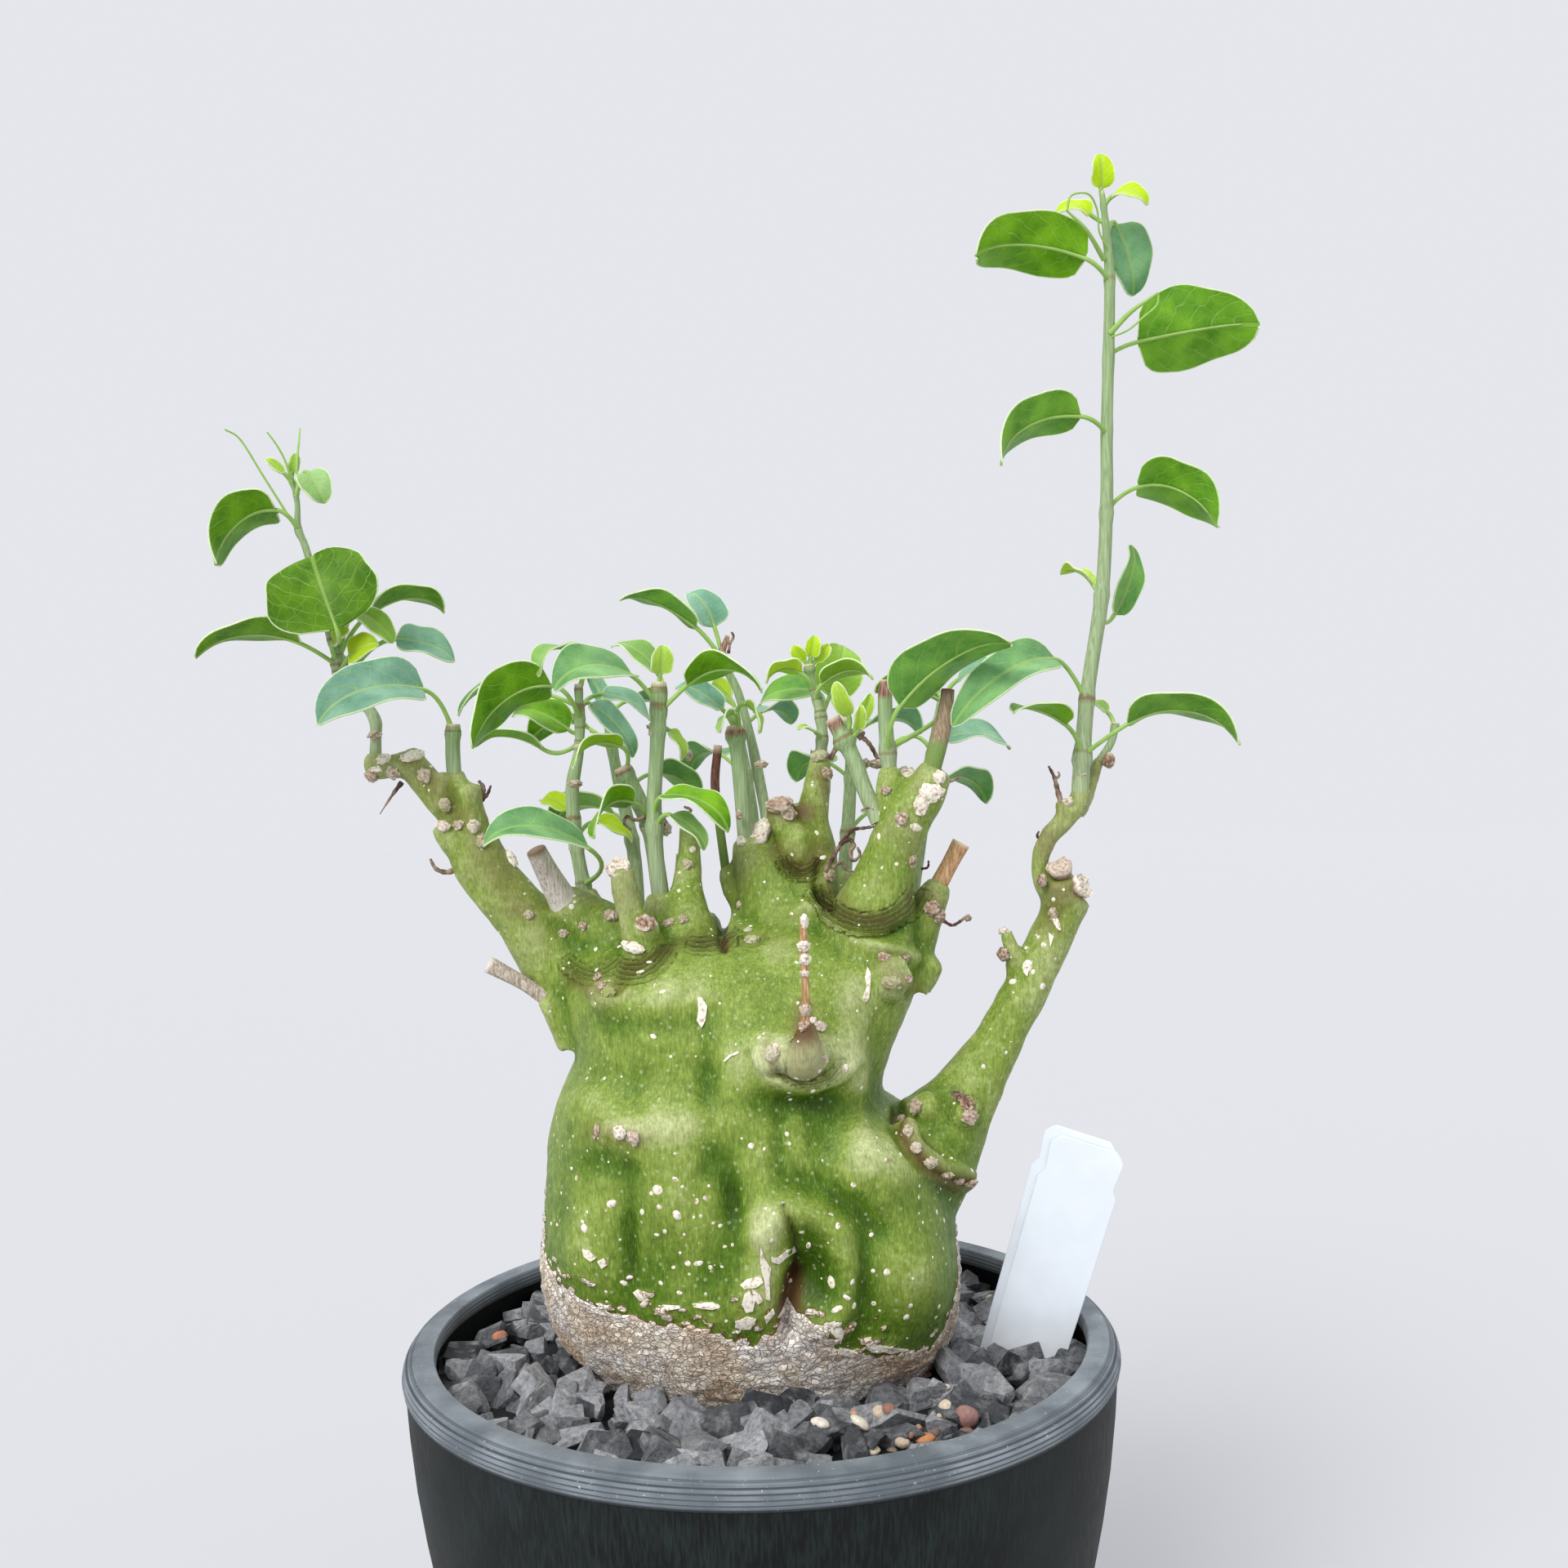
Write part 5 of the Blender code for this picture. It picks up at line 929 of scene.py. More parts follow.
# The painted light and shade is mixed with the skin's own clouds and mottles, and the ramp turns it from deep
# green to pale.
tone_and_painted_light = add_node("Math", {0: clouds, 1: 0.46}, operation="MULTIPLY")
tone_and_painted_light = add_node("Math", {0: painted_light_part, 1: 0.4, 2: tone_and_painted_light}, operation="MULTIPLY_ADD")
grainy = add_node("Math", {0: mottle, 1: 0.3, 2: tone_and_painted_light}, operation="MULTIPLY_ADD")
tone_and_painted_light = add_node("MapRange", {"Value": grainy, "From Min": 0.05, "From Max": 0.76})
green = add_node("ValToRGB", {"Fac": tone_and_painted_light})
ramp = made.node_tree.nodes[-1].color_ramp
ramp.elements[0].color, ramp.elements[1].color = linear("365204"), linear("C6CC96")
for at, tint in ((0.28, "507014"), (0.6, "84993F")):
    ramp.elements.new(at).color = linear(tint)
fine = add_node("Math", {0: mottle, 1: 0.45, 2: streaks}, operation="MULTIPLY_ADD")
fine = add_node("MapRange", {"Value": fine, "From Min": 0.52, "From Max": 0.92, "To Min": 0.66,
                             "To Max": 1.26})
green = add_node("VectorMath", {0: green, "Scale": fine}, operation="SCALE")
fibres = add_node("MapRange", {"Value": streaks, "From Min": 0.58, "From Max": 0.72, "To Max": 0.3})
green = add_node("Mix", {0: fibres, 6: green, 7: "C2CC9C"}, 2, data_type="RGBA")
dots = add_node("TexVoronoi", {"Vector": place, "Scale": 480.0})
dots = add_node("MapRange", {"Value": dots, "From Min": 0.22, "From Max": 0.10, "To Max": 0.4})
green = add_node("Mix", {0: dots, 6: green, 7: "C6CE9E"}, 2, data_type="RGBA")
wave = add_node("Math", {0: mottle, 1: 1.4, 2: reach_part}, operation="MULTIPLY_ADD")
wave = add_node("Math", {0: wave, 1: 6.5}, operation="MULTIPLY")
wave = add_node("Math", {0: wave}, operation="SINE")
line = add_node("MapRange", {"Value": wave, "From Min": 0.0, "From Max": 0.9, "To Max": 0.85})
line = add_node("Math", {0: line, 1: ring_part}, operation="MULTIPLY")
green = add_node("Mix", {0: line, 6: green, 7: "6A5530"}, 2, data_type="RGBA")
tired = add_node("MapRange", {"Value": clouds, "From Min": 0.46, "From Max": 0.64, "To Max": 0.5})
tired = add_node("Math", {0: tired, 1: aged}, operation="MULTIPLY")
green = add_node("Mix", {0: tired, 6: green, 7: "71703C"}, 2, data_type="RGBA")
# Browned old skin, and the deep folds darkened too as painted shade.
green = add_node("Mix", {0: brown_and_fold_shade, 6: green, 7: "664A2E"}, 2, data_type="RGBA")
bark_tone = add_node("TexNoise", {"Vector": place, "Scale": 620.0, "Detail": 7.0, "Roughness": 0.75,
                                  "Distortion": 0.8})
bark_patch = add_node("TexNoise", {"Vector": place, "Scale": 110.0, "Detail": 4.0})
bark_tone = add_node("MapRange", {"Value": bark_tone, "From Min": 0.28, "From Max": 0.5})
flake = add_node("TexNoise", {"Vector": place, "Scale": 380.0, "Detail": 3.0})
flake = add_node("VectorMath", {0: flake, 1: (0.004, 0.004, 0.003), 2: place}, operation="MULTIPLY_ADD")
flake = add_node("Mapping", {"Vector": flake, "Scale": (560.0, 560.0, 900.0)})
flake_gap = add_node("TexVoronoi", {"Vector": flake, "Scale": 1.0}, feature="DISTANCE_TO_EDGE")
flake_gap = add_node("MapRange", {"Value": flake_gap, "From Min": 0.1, "From Max": 0.0, "To Max": 0.7})
flake = add_node("TexVoronoi", {"Vector": flake, "Scale": 1.0}, "Color")
flake = add_node("SeparateColor", {0: flake})
bark_tone = add_node("Math", {0: bark_tone, 1: 0.75}, operation="MULTIPLY")
bark_tone = add_node("Math", {0: flake, 1: 0.5, 2: bark_tone}, operation="MULTIPLY_ADD")
bark = add_node("Mix", {0: bark_tone, 6: "DDAE80", 7: "FFF4E0"}, 2, data_type="RGBA")
patch = add_node("MapRange", {"Value": bark_patch, "From Min": 0.46, "From Max": 0.57, "To Max": 0.8})
pale = add_node("Mix", {0: bark_tone, 6: "CDB6A6", 7: "FFFAF4"}, 2, data_type="RGBA")
bark = add_node("Mix", {0: patch, 6: bark, 7: pale}, 2, data_type="RGBA")
stain = add_node("MapRange", {"Value": clouds, "From Min": 0.52, "From Max": 0.4, "To Max": 0.5})
bark = add_node("Mix", {0: stain, 6: bark, 7: "C08C54"}, 2, data_type="RGBA")
broken = add_node("TexNoise", {"Vector": place, "Scale": 300.0, "Detail": 3.0})
broken = add_node("VectorMath", {0: broken, 1: (0.009, 0.009, 0.006), 2: place}, operation="MULTIPLY_ADD")
cracks = add_node("Mapping", {"Vector": broken, "Scale": (170.0, 170.0, 420.0)})
cracks = add_node("TexVoronoi", {"Vector": cracks, "Scale": 1.0}, feature="DISTANCE_TO_EDGE")
cracks = add_node("MapRange", {"Value": cracks, "From Min": 0.05, "From Max": 0.0, "To Max": 0.4})
cracks = add_node("Math", {0: cracks, 1: flake_gap}, operation="MAXIMUM")
bark = add_node("Mix", {0: cracks, 6: bark, 7: "5E3B20"}, 2, data_type="RGBA")
ragged = add_node("Math", {0: bark_tone, 1: 0.9, 2: 0.55}, operation="MULTIPLY_ADD")
ragged = add_node("Math", {0: ragged, 1: cork_part}, operation="MULTIPLY")
# Along the cork's upper edge the green is painted dark brown: the skin's own browning, with painted shadow
# under the overlapping flakes.
cork_edge_brown_and_shadow = add_node("MapRange", {"Value": ragged, "From Min": 0.12, "From Max": 0.36, "To Max": 0.9})
green = add_node("Mix", {0: cork_edge_brown_and_shadow, 6: green, 7: "6A4E26"}, 2, data_type="RGBA")
ragged = add_node("MapRange", {"Value": ragged, "From Min": 0.42, "From Max": 0.50})
colour = add_node("Mix", {0: ragged, 6: green, 7: bark}, 2, data_type="RGBA")
rough = add_node("MapRange", {"Value": cork_part, "To Min": 0.46, "To Max": 0.92})
ring_bump = add_node("Math", {0: wave, 1: ring_part}, operation="MULTIPLY")
ring_bump = add_node("Bump", {"Height": ring_bump, "Strength": 1.0, "Distance": 0.0005}, invert=True)
skin_bump = add_node("Bump", {"Height": fine, "Strength": 0.4, "Distance": 0.0003, "Normal": ring_bump})
bark_height = add_node("Math", {0: bark_tone, 1: cracks}, operation="SUBTRACT")
bark_height = add_node("Math", {0: bark_height, 1: cork_part}, operation="MULTIPLY")
bark_bump = add_node("Bump", {"Height": bark_height, "Strength": 0.8, "Distance": 0.0006,
                              "Normal": skin_bump})
to_shader(Base_Color=colour, Roughness=rough, Normal=bark_bump)
hand_over(skin, made, "caudex", "caudex")


# Lenticels: raised pores of pale cork all over the living skin, each ringed by a painted shadow at its
# foot, from 0.5 to 2.5 mm across, thickest low on the left. Each is a pixel and its half width and height
# there.
LENTICELS = [
    (1258, 1183, 7, 9), (1240, 1202, 6, 4), (1277, 1208, 5, 5), (1294, 1130, 4, 12), (1278, 1157, 4, 4),
    (1239, 1276, 3, 3), (1213, 1260, 3, 2), (1250, 1225, 2, 2), (519, 962, 2.5, 2.5), (524, 978, 2, 2),
    (542, 991, 2, 2), (642, 1095, 3, 3), (655, 1146, 2.5, 2.5), (700, 1110, 4, 4), (611, 1060, 2.5, 2.5),
    (1076, 1024, 3, 5), (1090, 1030, 2.5, 2.5), (1054, 1015, 3, 5), (1072, 1048, 2.5, 2.5),
    (1040, 1040, 3, 2.5), (1012, 985, 3, 3), (1000, 1020, 3.5, 4), (992, 965, 2.5, 2.5), (1008, 1050, 5, 3),
    (935, 1080, 3, 3), (950, 1110, 2, 2), (915, 1090, 2.5, 2.5), (842, 1085, 3, 3), (848, 1040, 5, 5),
    (838, 1062, 3, 3), (860, 1120, 2, 2.5), (768, 1100, 2.5, 2.5), (755, 1118, 2, 2), (689, 1222, 2.5, 3.5),
    (764, 1169, 2.5, 2.5), (795, 1178, 5, 2.5), (784, 1190, 6, 3), (758, 1194, 2, 2), (811, 1214, 5, 2.5),
    (791, 1222, 2.5, 2), (801, 1228, 2, 1.5), (783, 1231, 3, 2.2), (771, 1236, 2.6, 3.2), (761, 1241, 2, 2),
    (727, 1242, 2, 2), (810, 1253, 3, 2.6), (800, 1269, 5, 3), (772, 1273, 1.8, 2), (808, 1282, 2.2, 2),
    (805, 1284, 2.4, 2), (800, 1287, 3, 1.6), (790, 1296, 2.8, 3), (821, 1294, 2.6, 2.4), (800, 1307, 3, 2),
    (785, 1324, 2, 2), (758, 1324, 2.4, 2), (731, 1330, 2, 2.6), (799, 1331, 3, 3), (817, 1329, 2.2, 2),
    (807, 1345, 3.2, 3), (761, 1352, 2.2, 2), (766, 1359, 2.2, 1.5), (701, 1359, 1.7, 1.7),
    (903, 1334, 3.4, 3), (857, 1207, 2.8, 2.4), (893, 1207, 2, 2), (901, 1247, 2.4, 2), (920, 1403, 5, 4.5),
    (917, 1386, 1.7, 1.7), (850, 1399, 2.2, 2), (882, 1400, 2, 2), (841, 1416, 2.4, 2.4),
    (847, 1423, 1.8, 1.8), (827, 1444, 5, 3), (870, 1447, 2.6, 2.6), (745, 1405, 2.6, 2.6),
    (703, 1405, 1.8, 1.8), (678, 1415, 3, 2.6), (686, 1434, 2, 2.4), (729, 1422, 2.2, 2), (745, 1423, 3, 3.4),
    (751, 1442, 3, 2.2), (712, 1443, 2.6, 2), (690, 1458, 2.8, 2.8), (805, 1457, 7.5, 7),
    (749, 1474, 7.5, 5.5), (786, 1484, 3.6, 4.6), (829, 1488, 5.5, 7.5), (807, 1478, 4.4, 3.8),
    (827, 1469, 3, 2), (835, 1453, 2.8, 3.6), (832, 1475, 2.4, 2.2), (853, 1471, 3, 4.5), (858, 1489, 3, 3.6),
    (853, 1496, 2.6, 2.2), (861, 1499, 2, 2.6), (882, 1501, 3.6, 3), (838, 1512, 2.8, 3.6),
    (804, 1512, 4.2, 2.6), (870, 1509, 3, 1.8), (856, 1522, 3.2, 2), (887, 1527, 3.6, 2.4),
    (904, 1528, 2.6, 2), (915, 1507, 2.4, 2.8), (915, 1525, 2.4, 2.4), (715, 1504, 5.5, 6.5),
    (742, 1513, 2.8, 2.8), (764, 1491, 2.2, 2.2), (761, 1503, 1.8, 1.6), (774, 1550, 2.4, 2),
    (764, 1571, 6, 3.6), (809, 1571, 4, 3), (844, 1560, 3.6, 3.6), (842, 1547, 4.5, 4.5), (855, 1547, 7, 3.6),
    (837, 1575, 3.4, 2.8), (832, 1583, 4.5, 3), (864, 1584, 3.4, 3), (821, 1577, 2.2, 1.8),
    (875, 1549, 3.4, 2.4), (903, 1566, 1.8, 2.6), (878, 1600, 4.6, 4), (959, 1473, 4.6, 2.8),
    (968, 1467, 1.8, 1.8), (982, 1509, 4, 3.6), (961, 1510, 3, 2.6), (945, 1519, 2.8, 4), (990, 1525, 3.4, 6),
    (1016, 1533, 2.4, 2.6), (999, 1541, 2.2, 2), (1018, 1487, 4.5, 2.2), (1026, 1501, 3.6, 5),
    (1033, 1489, 2.6, 2.4), (1055, 1497, 2.4, 2), (1055, 1502, 2, 2), (1067, 1512, 4.2, 3.4),
    (1077, 1504, 1.7, 1.7), (1090, 1536, 1.8, 2), (1086, 1558, 5, 5.5), (1020, 1552, 2.8, 2),
    (1018, 1570, 6, 9), (1044, 1570, 3.4, 5), (1037, 1589, 6, 3.2), (1046, 1599, 4.6, 5), (1025, 1603, 9, 4),
    (1070, 1596, 4, 4), (1077, 1573, 2, 2), (1110, 1613, 5, 5), (1115, 1599, 4, 4), (1144, 1579, 3, 3),
    (1127, 1503, 2.6, 2.2), (1142, 1499, 2.6, 2.2), (1149, 1512, 2.2, 3), (1161, 1458, 2.6, 2),
    (1163, 1469, 4, 1.6), (1045, 1451, 4.4, 4), (884, 1551, 3.6, 2.6), (888, 1526, 3.6, 2),
    (1012, 1242, 3.2, 3), (1092, 1229, 2.6, 2.2), (1146, 1354, 2.8, 2.8), (1169, 1351, 3.4, 2),
    (1153, 1361, 1.8, 1.8), (1170, 1369, 2, 2), (1174, 1383, 3, 2.6), (1097, 1388, 2.4, 4),
    (1100, 1408, 2.6, 2.6), (1165, 1419, 2.6, 3), (1175, 1423, 2.2, 2.4), (1184, 1304, 2, 2),
    (995, 1336, 5, 3), (1035, 1308, 4, 6), (951, 1407, 2, 2), (1068, 1419, 2, 1.7), (1060, 1350, 1.8, 1.8),
    (742, 1130, 2, 2), (1265, 1190, 3, 4), (1240, 1215, 2.4, 3), (1256, 1160, 3, 4), (1290, 1130, 2.4, 3),
    (1225, 1245, 2, 2.4), (1208, 1290, 2, 2.6), (1030, 1112, 2, 2), (1048, 1090, 2.2, 2.2), (935, 1075, 2, 2),
]
STRAY_LENTICELS = 950
LENTICEL_SIZES = (0.2, 0.22, 0.26, 0.3, 0.36, 0.48)
# Scars and flakes: their outline in pixels, and how thick they are in millimetres
SCARS = [
    ([(854, 1221), (860, 1222), (866, 1232), (864, 1250), (859, 1259), (853, 1250), (855, 1236)], 0.35),
    ([(1062, 1184), (1067, 1192), (1065, 1206), (1063, 1222), (1058, 1228), (1056, 1223), (1061, 1208),
      (1059, 1196)], 0.35),
    ([(886, 1299), (893, 1292), (904, 1287), (905, 1290), (895, 1294), (888, 1300)], 0.25),
    ([(907, 1573), (915, 1566), (931, 1562), (934, 1570), (926, 1576), (912, 1578)], 0.45),
    ([(932, 1526), (936, 1540), (943, 1552), (941, 1566), (942, 1592), (938, 1590), (935, 1566),
      (931, 1548)], 0.45),
    ([(944, 1539), (952, 1540), (964, 1530), (973, 1526), (974, 1531), (963, 1538), (953, 1547),
      (945, 1545)], 0.4),
    ([(912, 1584), (918, 1580), (925, 1590), (922, 1604), (914, 1606), (909, 1596)], 0.5),
    ([(921, 1578), (930, 1584), (934, 1592), (928, 1596), (922, 1588)], 0.45),
    ([(903, 1618), (914, 1612), (926, 1614), (919, 1626), (905, 1628), (900, 1624)], 0.4),
    ([(848, 1596), (872, 1594), (882, 1600), (872, 1603), (850, 1600)], 0.35),
    ([(812, 1598), (832, 1598), (834, 1602), (818, 1603)], 0.35),
    ([(714, 1529), (722, 1531), (730, 1540), (724, 1544), (716, 1538)], 0.4),
    ([(732, 1544), (740, 1540), (744, 1548), (737, 1553)], 0.4),
    ([(776, 1582), (782, 1578), (790, 1586), (796, 1592), (784, 1592)], 0.4),
    ([(1010, 1622), (1022, 1617), (1034, 1630), (1028, 1644), (1020, 1634)], 0.4),
    ([(1050, 1638), (1072, 1646), (1090, 1650), (1112, 1652), (1090, 1656), (1066, 1652)], 0.4),
    ([(1028, 1650), (1050, 1656), (1042, 1661), (1026, 1657)], 0.4),
    ([(936, 1612), (946, 1602), (948, 1607), (938, 1620)], 0.35),
    ([(1255, 1176), (1262, 1180), (1258, 1196), (1253, 1190)], 0.35),
    ([(1284, 1142), (1290, 1146), (1286, 1160)], 0.3),
]


def on_skin(x, y):
    """Where a pixel of the photograph falls on the skin, and which way the skin faces there."""
    return skin_tree.ray_cast(CAMERA_PLACE, sight(x, y).normalized())[:2]


def seat(place, outward, along=None):
    """A frame on the skin: its Z looks out of the skin and its Y as far along the hint as it can."""
    up = Vector(outward).normalized()
    hint = Vector(along) if along else CAMERA_UP
    side = hint.cross(up).normalized()
    return Matrix.Translation(Vector(place) * MM) @ Matrix((side, up.cross(side), up)).transposed().to_4x4()


# One pore: a ring of nine points drawn up in two steps and closed to a blunt tip
deselect()
bpy.ops.mesh.primitive_circle_add(vertices=9, radius=1.0, fill_type="TRIFAN")
pore = bpy.context.object
bpy.ops.object.mode_set(mode="EDIT")
bpy.ops.mesh.select_all(action="SELECT")
bpy.ops.mesh.normals_make_consistent(inside=True)
bpy.ops.mesh.region_to_loop()
for lift, size in ((0.35, 0.82), (0.12, 0.6)):
    bpy.ops.mesh.extrude_region_move(TRANSFORM_OT_translate={"value": (0, 0, lift)})
    bpy.ops.transform.resize(value=(size, size, 1.0))
bpy.ops.mesh.merge(type="CENTER")
face_outwards()
# What the cork's material reads: painted shadow at the foot, brown scales and green
store(pore, "rim", [(1.0 if vert.co.z < 0.1 else 0.0, 0, 0, 1) for vert in pore.data.vertices])

rng = random.Random(23)
pores = []
for x, y, across, down in LENTICELS:
    place, outward = on_skin(x, y)
    if place is None:
        continue
    near = pixel_at(place) * MM
    size = (across * near, down * near, 0.55 * max(across, down) * near)
    pores.append((seat(place - outward * 0.12, outward), size))
tries = 0
heights = points[:, 2]
while len(pores) < len(LENTICELS) + STRAY_LENTICELS and tries < 20000:
    tries += 1
    index = rng.randrange(len(points))
    if cork[index] > 0.2 or heights[index] < 118 or rng.random() > 0.6 + 0.4 * (heights[index] < 165):
        continue
    if facing[index] > 0.5 and rng.random() < 0.25:
        continue
    size = rng.choice(LENTICEL_SIZES) * MM
    here = seat(Vector(points[index]) - Vector(normals[index]) * 0.08, normals[index], (0.1, 0.0, 1.0))
    pores.append((here, (size, size * rng.uniform(0.8, 1.4), size * 0.8)))
pore_copies = []
for here, size in pores:
    copy = laid_copy(pore, (0, 0, 0), size, Matrix.Rotation(rng.uniform(-0.6, 0.6), 4, "Z"))
    copy.data.transform(here)
    pore_copies.append(copy)
bpy.data.objects.remove(pore)

# A scar or flake: its outline drawn on the skin, raised, and closed below under the skin
flakes_made = []
for outline, thick in SCARS:
    hits = [on_skin(x, y) for x, y in outline]
    if any(place is None for place, _ in hits):
        continue
    middle = (np.mean([p[0] for p in outline]), np.mean([p[1] for p in outline]))
    centre, outward = on_skin(*middle)
    top = [place + way * thick for place, way in hits]
    low = [place - way * 0.4 for place, way in hits]
    count = len(outline)
    corners = low + top + [centre + outward * (thick + 0.12), centre - outward * 0.4]
    sides = [(i, (i + 1) % count, count + (i + 1) % count, count + i) for i in range(count)]
    sides += [(count + i, count + (i + 1) % count, 2 * count) for i in range(count)]
    sides += [((i + 1) % count, i, 2 * count + 1) for i in range(count)]
    mesh = bpy.data.meshes.new("scar")
    mesh.from_pydata([tuple(corner * MM) for corner in corners], [], sides)
    scar = bpy.data.objects.new("scar", mesh)
    store(scar, "rim", (0.0, 0.0, 0.0, 1.0))
    bpy.context.scene.collection.objects.link(scar)
    flakes_made.append(scar)

# Buds, knots and broken ends: scaly lumps of dead bud scales and cork caps over old wounds.
# Each is a pixel and its half width and height there, then how brown and how green it is
BUDS = [
    (791, 1131, 12, 11, 0.9, 0), (775, 1160, 15, 7, 0.1, 0), (733, 1197, 7, 6, 0.9, 0),
    (737, 1207, 6, 5, 0.8, 0), (746, 1214, 9, 7, 0.3, 0.9), (731, 1385, 5, 10, 0.8, 0.2),
    (759, 1387, 9, 8, 0.25, 0), (776, 1393, 8, 10, 0.6, 0), (1083, 1172, 8, 6, 0.8, 0),
    (1091, 1203, 12, 8, 0.5, 0.6), (1108, 1173, 6, 5, 0.9, 0), (1112, 1199, 6, 5, 0.9, 0),
    (1121, 1355, 9, 10, 0.7, 0.3), (1184, 1352, 9, 9, 0.95, 0), (1187, 1367, 10, 9, 0.8, 0),
    (1176, 1343, 6, 6, 0.9, 0), (946, 1290, 10, 11, 0.4, 0.3), (950, 1282, 5, 5, 0.1, 0),
    (1010, 1297, 4, 5, 0.5, 0), (1003, 1311, 3, 3, 0.4, 0), (1004, 1257, 8, 7, 0.5, 0),
    (995, 1250, 5, 5, 0.3, 0), (985, 1256, 7, 8, 0.9, 0), (921, 1152, 10, 8, 0.4, 0.5),
    (906, 1108, 6, 5, 0.4, 0.3), (916, 1140, 5, 5, 0.3, 0.4), (1104, 1003, 8, 8, 0.8, 0),
    (1085, 968, 7, 6, 0.8, 0.2), (1141, 1112, 10, 9, 0.8, 0.1), (1150, 1122, 8, 8, 0.9, 0),
    (690, 1142, 6, 5, 0.6, 0.2), (748, 1122, 9, 9, 0.7, 0.1), (714, 1134, 5, 6, 0.8, 0),
    (819, 1130, 8, 5, 0.7, 0), (836, 1126, 6, 6, 0.7, 0.3), (1117, 1054, 6, 8, 0.7, 0.3),
    (1044, 1058, 9, 8, 0.8, 0.2), (1015, 1072, 8, 8, 0.7, 0.3), (955, 985, 17, 10, 0.75, 0.1),
    (938, 992, 8, 10, 0.85, 0), (965, 996, 10, 8, 0.7, 0.2), (1003, 926, 10, 7, 0.25, 0.5),
    (1012, 948, 8, 8, 0.7, 0.3), (869, 1078, 8, 7, 0.5, 0.5), (842, 1058, 7, 6, 0.5, 0.4),
    (846, 1010, 7, 8, 0.7, 0.1), (829, 1022, 6, 9, 0.6, 0), (758, 1062, 14, 10, 0.05, 0),
    (776, 1053, 8, 8, 0.6, 0), (1296, 1068, 15, 13, 0.25, 0), (1325, 1086, 13, 14, 0.05, 0),
    (1302, 1056, 8, 5, 0.1, 0), (543, 1012, 9, 7, 0.45, 0), (625, 1052, 8, 13, 0.05, 0),
    (577, 957, 9, 7, 0.35, 0.1), (532, 940, 6, 8, 0.7, 0), (600, 968, 8, 10, 0.9, 0),
    (580, 1012, 8, 9, 0.4, 0.2), (455, 950, 10, 8, 0.7, 0.1), (482, 946, 9, 8, 0.6, 0.2),
    (1290, 1118, 6, 8, 0.6, 0.3), (505, 926, 16, 7, 0.1, 0.1), (520, 950, 8, 10, 0.6, 0.2),
    (545, 985, 7, 9, 0.5, 0.4), (470, 930, 9, 7, 0.15, 0.1), (562, 1010, 7, 6, 0.6, 0.3),
    (590, 1030, 7, 9, 0.6, 0.4), (648, 1120, 6, 6, 0.6, 0.3), (1109, 948, 15, 6, 0, 0),
    (1140, 970, 15, 11, 0.05, 0), (1128, 985, 9, 12, 0.15, 0), (1150, 952, 8, 8, 0.1, 0),
    (1121, 1013, 8, 5, 0.1, 0.2), (925, 1019, 20, 7, 0.05, 0.1), (908, 1030, 8, 6, 0.05, 0.1),
    (940, 1008, 8, 8, 0.05, 0.1), (1188, 1448, 9, 7, 0.8, 0), (1112, 1385, 6, 8, 0.55, 0.2),
    (1122, 1405, 7, 7, 0.5, 0.1), (1140, 1423, 8, 7, 0.5, 0.2), (1160, 1438, 8, 6, 0.6, 0.2),
    (1104, 1370, 6, 6, 0.5, 0.2), (1174, 1445, 7, 6, 0.65, 0.1), (1085, 1420, 3, 3, 0.3, 0),
]


def from_photo(x, y, depth):
    """The point in millimetres seen at a pixel, where the part's y is the given depth."""
    aim = sight(x, y)
    return CAMERA_PLACE + aim * ((depth - CAMERA_PLACE.y) / aim.y)


# Buds and knobs on stems and twigs, and the cut or broken ends of limbs: a depth besides, and for a
# cut end its radius in millimetres and how far it leans right and towards the camera
LOOSE_BUDS = [
    (984, 1158, -38, 8, 7, 0.1, 0), (1357, 931, -1, 8, 9, 0.95, 0.1), (1308, 982, -6, 7, 6, 0.3, 0),
    (1276, 1078, -10, 6, 9, 0.9, 0.1), (986, 1174, -38, 7, 8, 0.15, 0), (985, 1128, -37.8, 5, 9, 0.1, 0),
    (985, 1192, -38, 6, 5, 0.3, 0), (986, 1236, -37.6, 7, 8, 0.6, 0), (1229, 1168, -8, 8, 9, 0.95, 0),
    (1229, 1140, -8, 6, 5, 0.3, 0), (802, 890, -4, 10, 6, 0.7, 0.1), (800, 897, -6, 6, 6, 0.4, 0.2),
    (1083, 878, -5, 7, 5, 0.8, 0), (1075, 935, -3, 14, 6, 0.7, 0.1), (1060, 935, -4, 6, 6, 0.6, 0.2),
    (932, 936, 2, 8, 5, 0.6, 0.2), (905, 998, -1, 4, 6, 0.8, 0), (704, 960, -3, 9, 5, 0.75, 0.1),
    (708, 915, -4, 7, 4, 0.6, 0.2), (459, 900, -2, 8, 5, 0.7, 0.1), (418, 838, 0, 8, 5, 0.6, 0.2),
    (1150, 906, -6, 6, 7, 0.7, 0.1), (843, 925, 6, 5, 7, 0.6, 0.1), (808, 1005, -3, 8, 10, 0.75, 0.1),
    (816, 1015, -2, 6, 9, 0.5, 0), (1325, 950, -5, 8, 5, 0.6, 0.1), (463, 942, -2, 12, 5, 0.05, 0),
    (884, 802, 4, 6, 4, 0.6, 0.1), (1333, 843, -3, 7, 4, 0.4, 0.4),
]
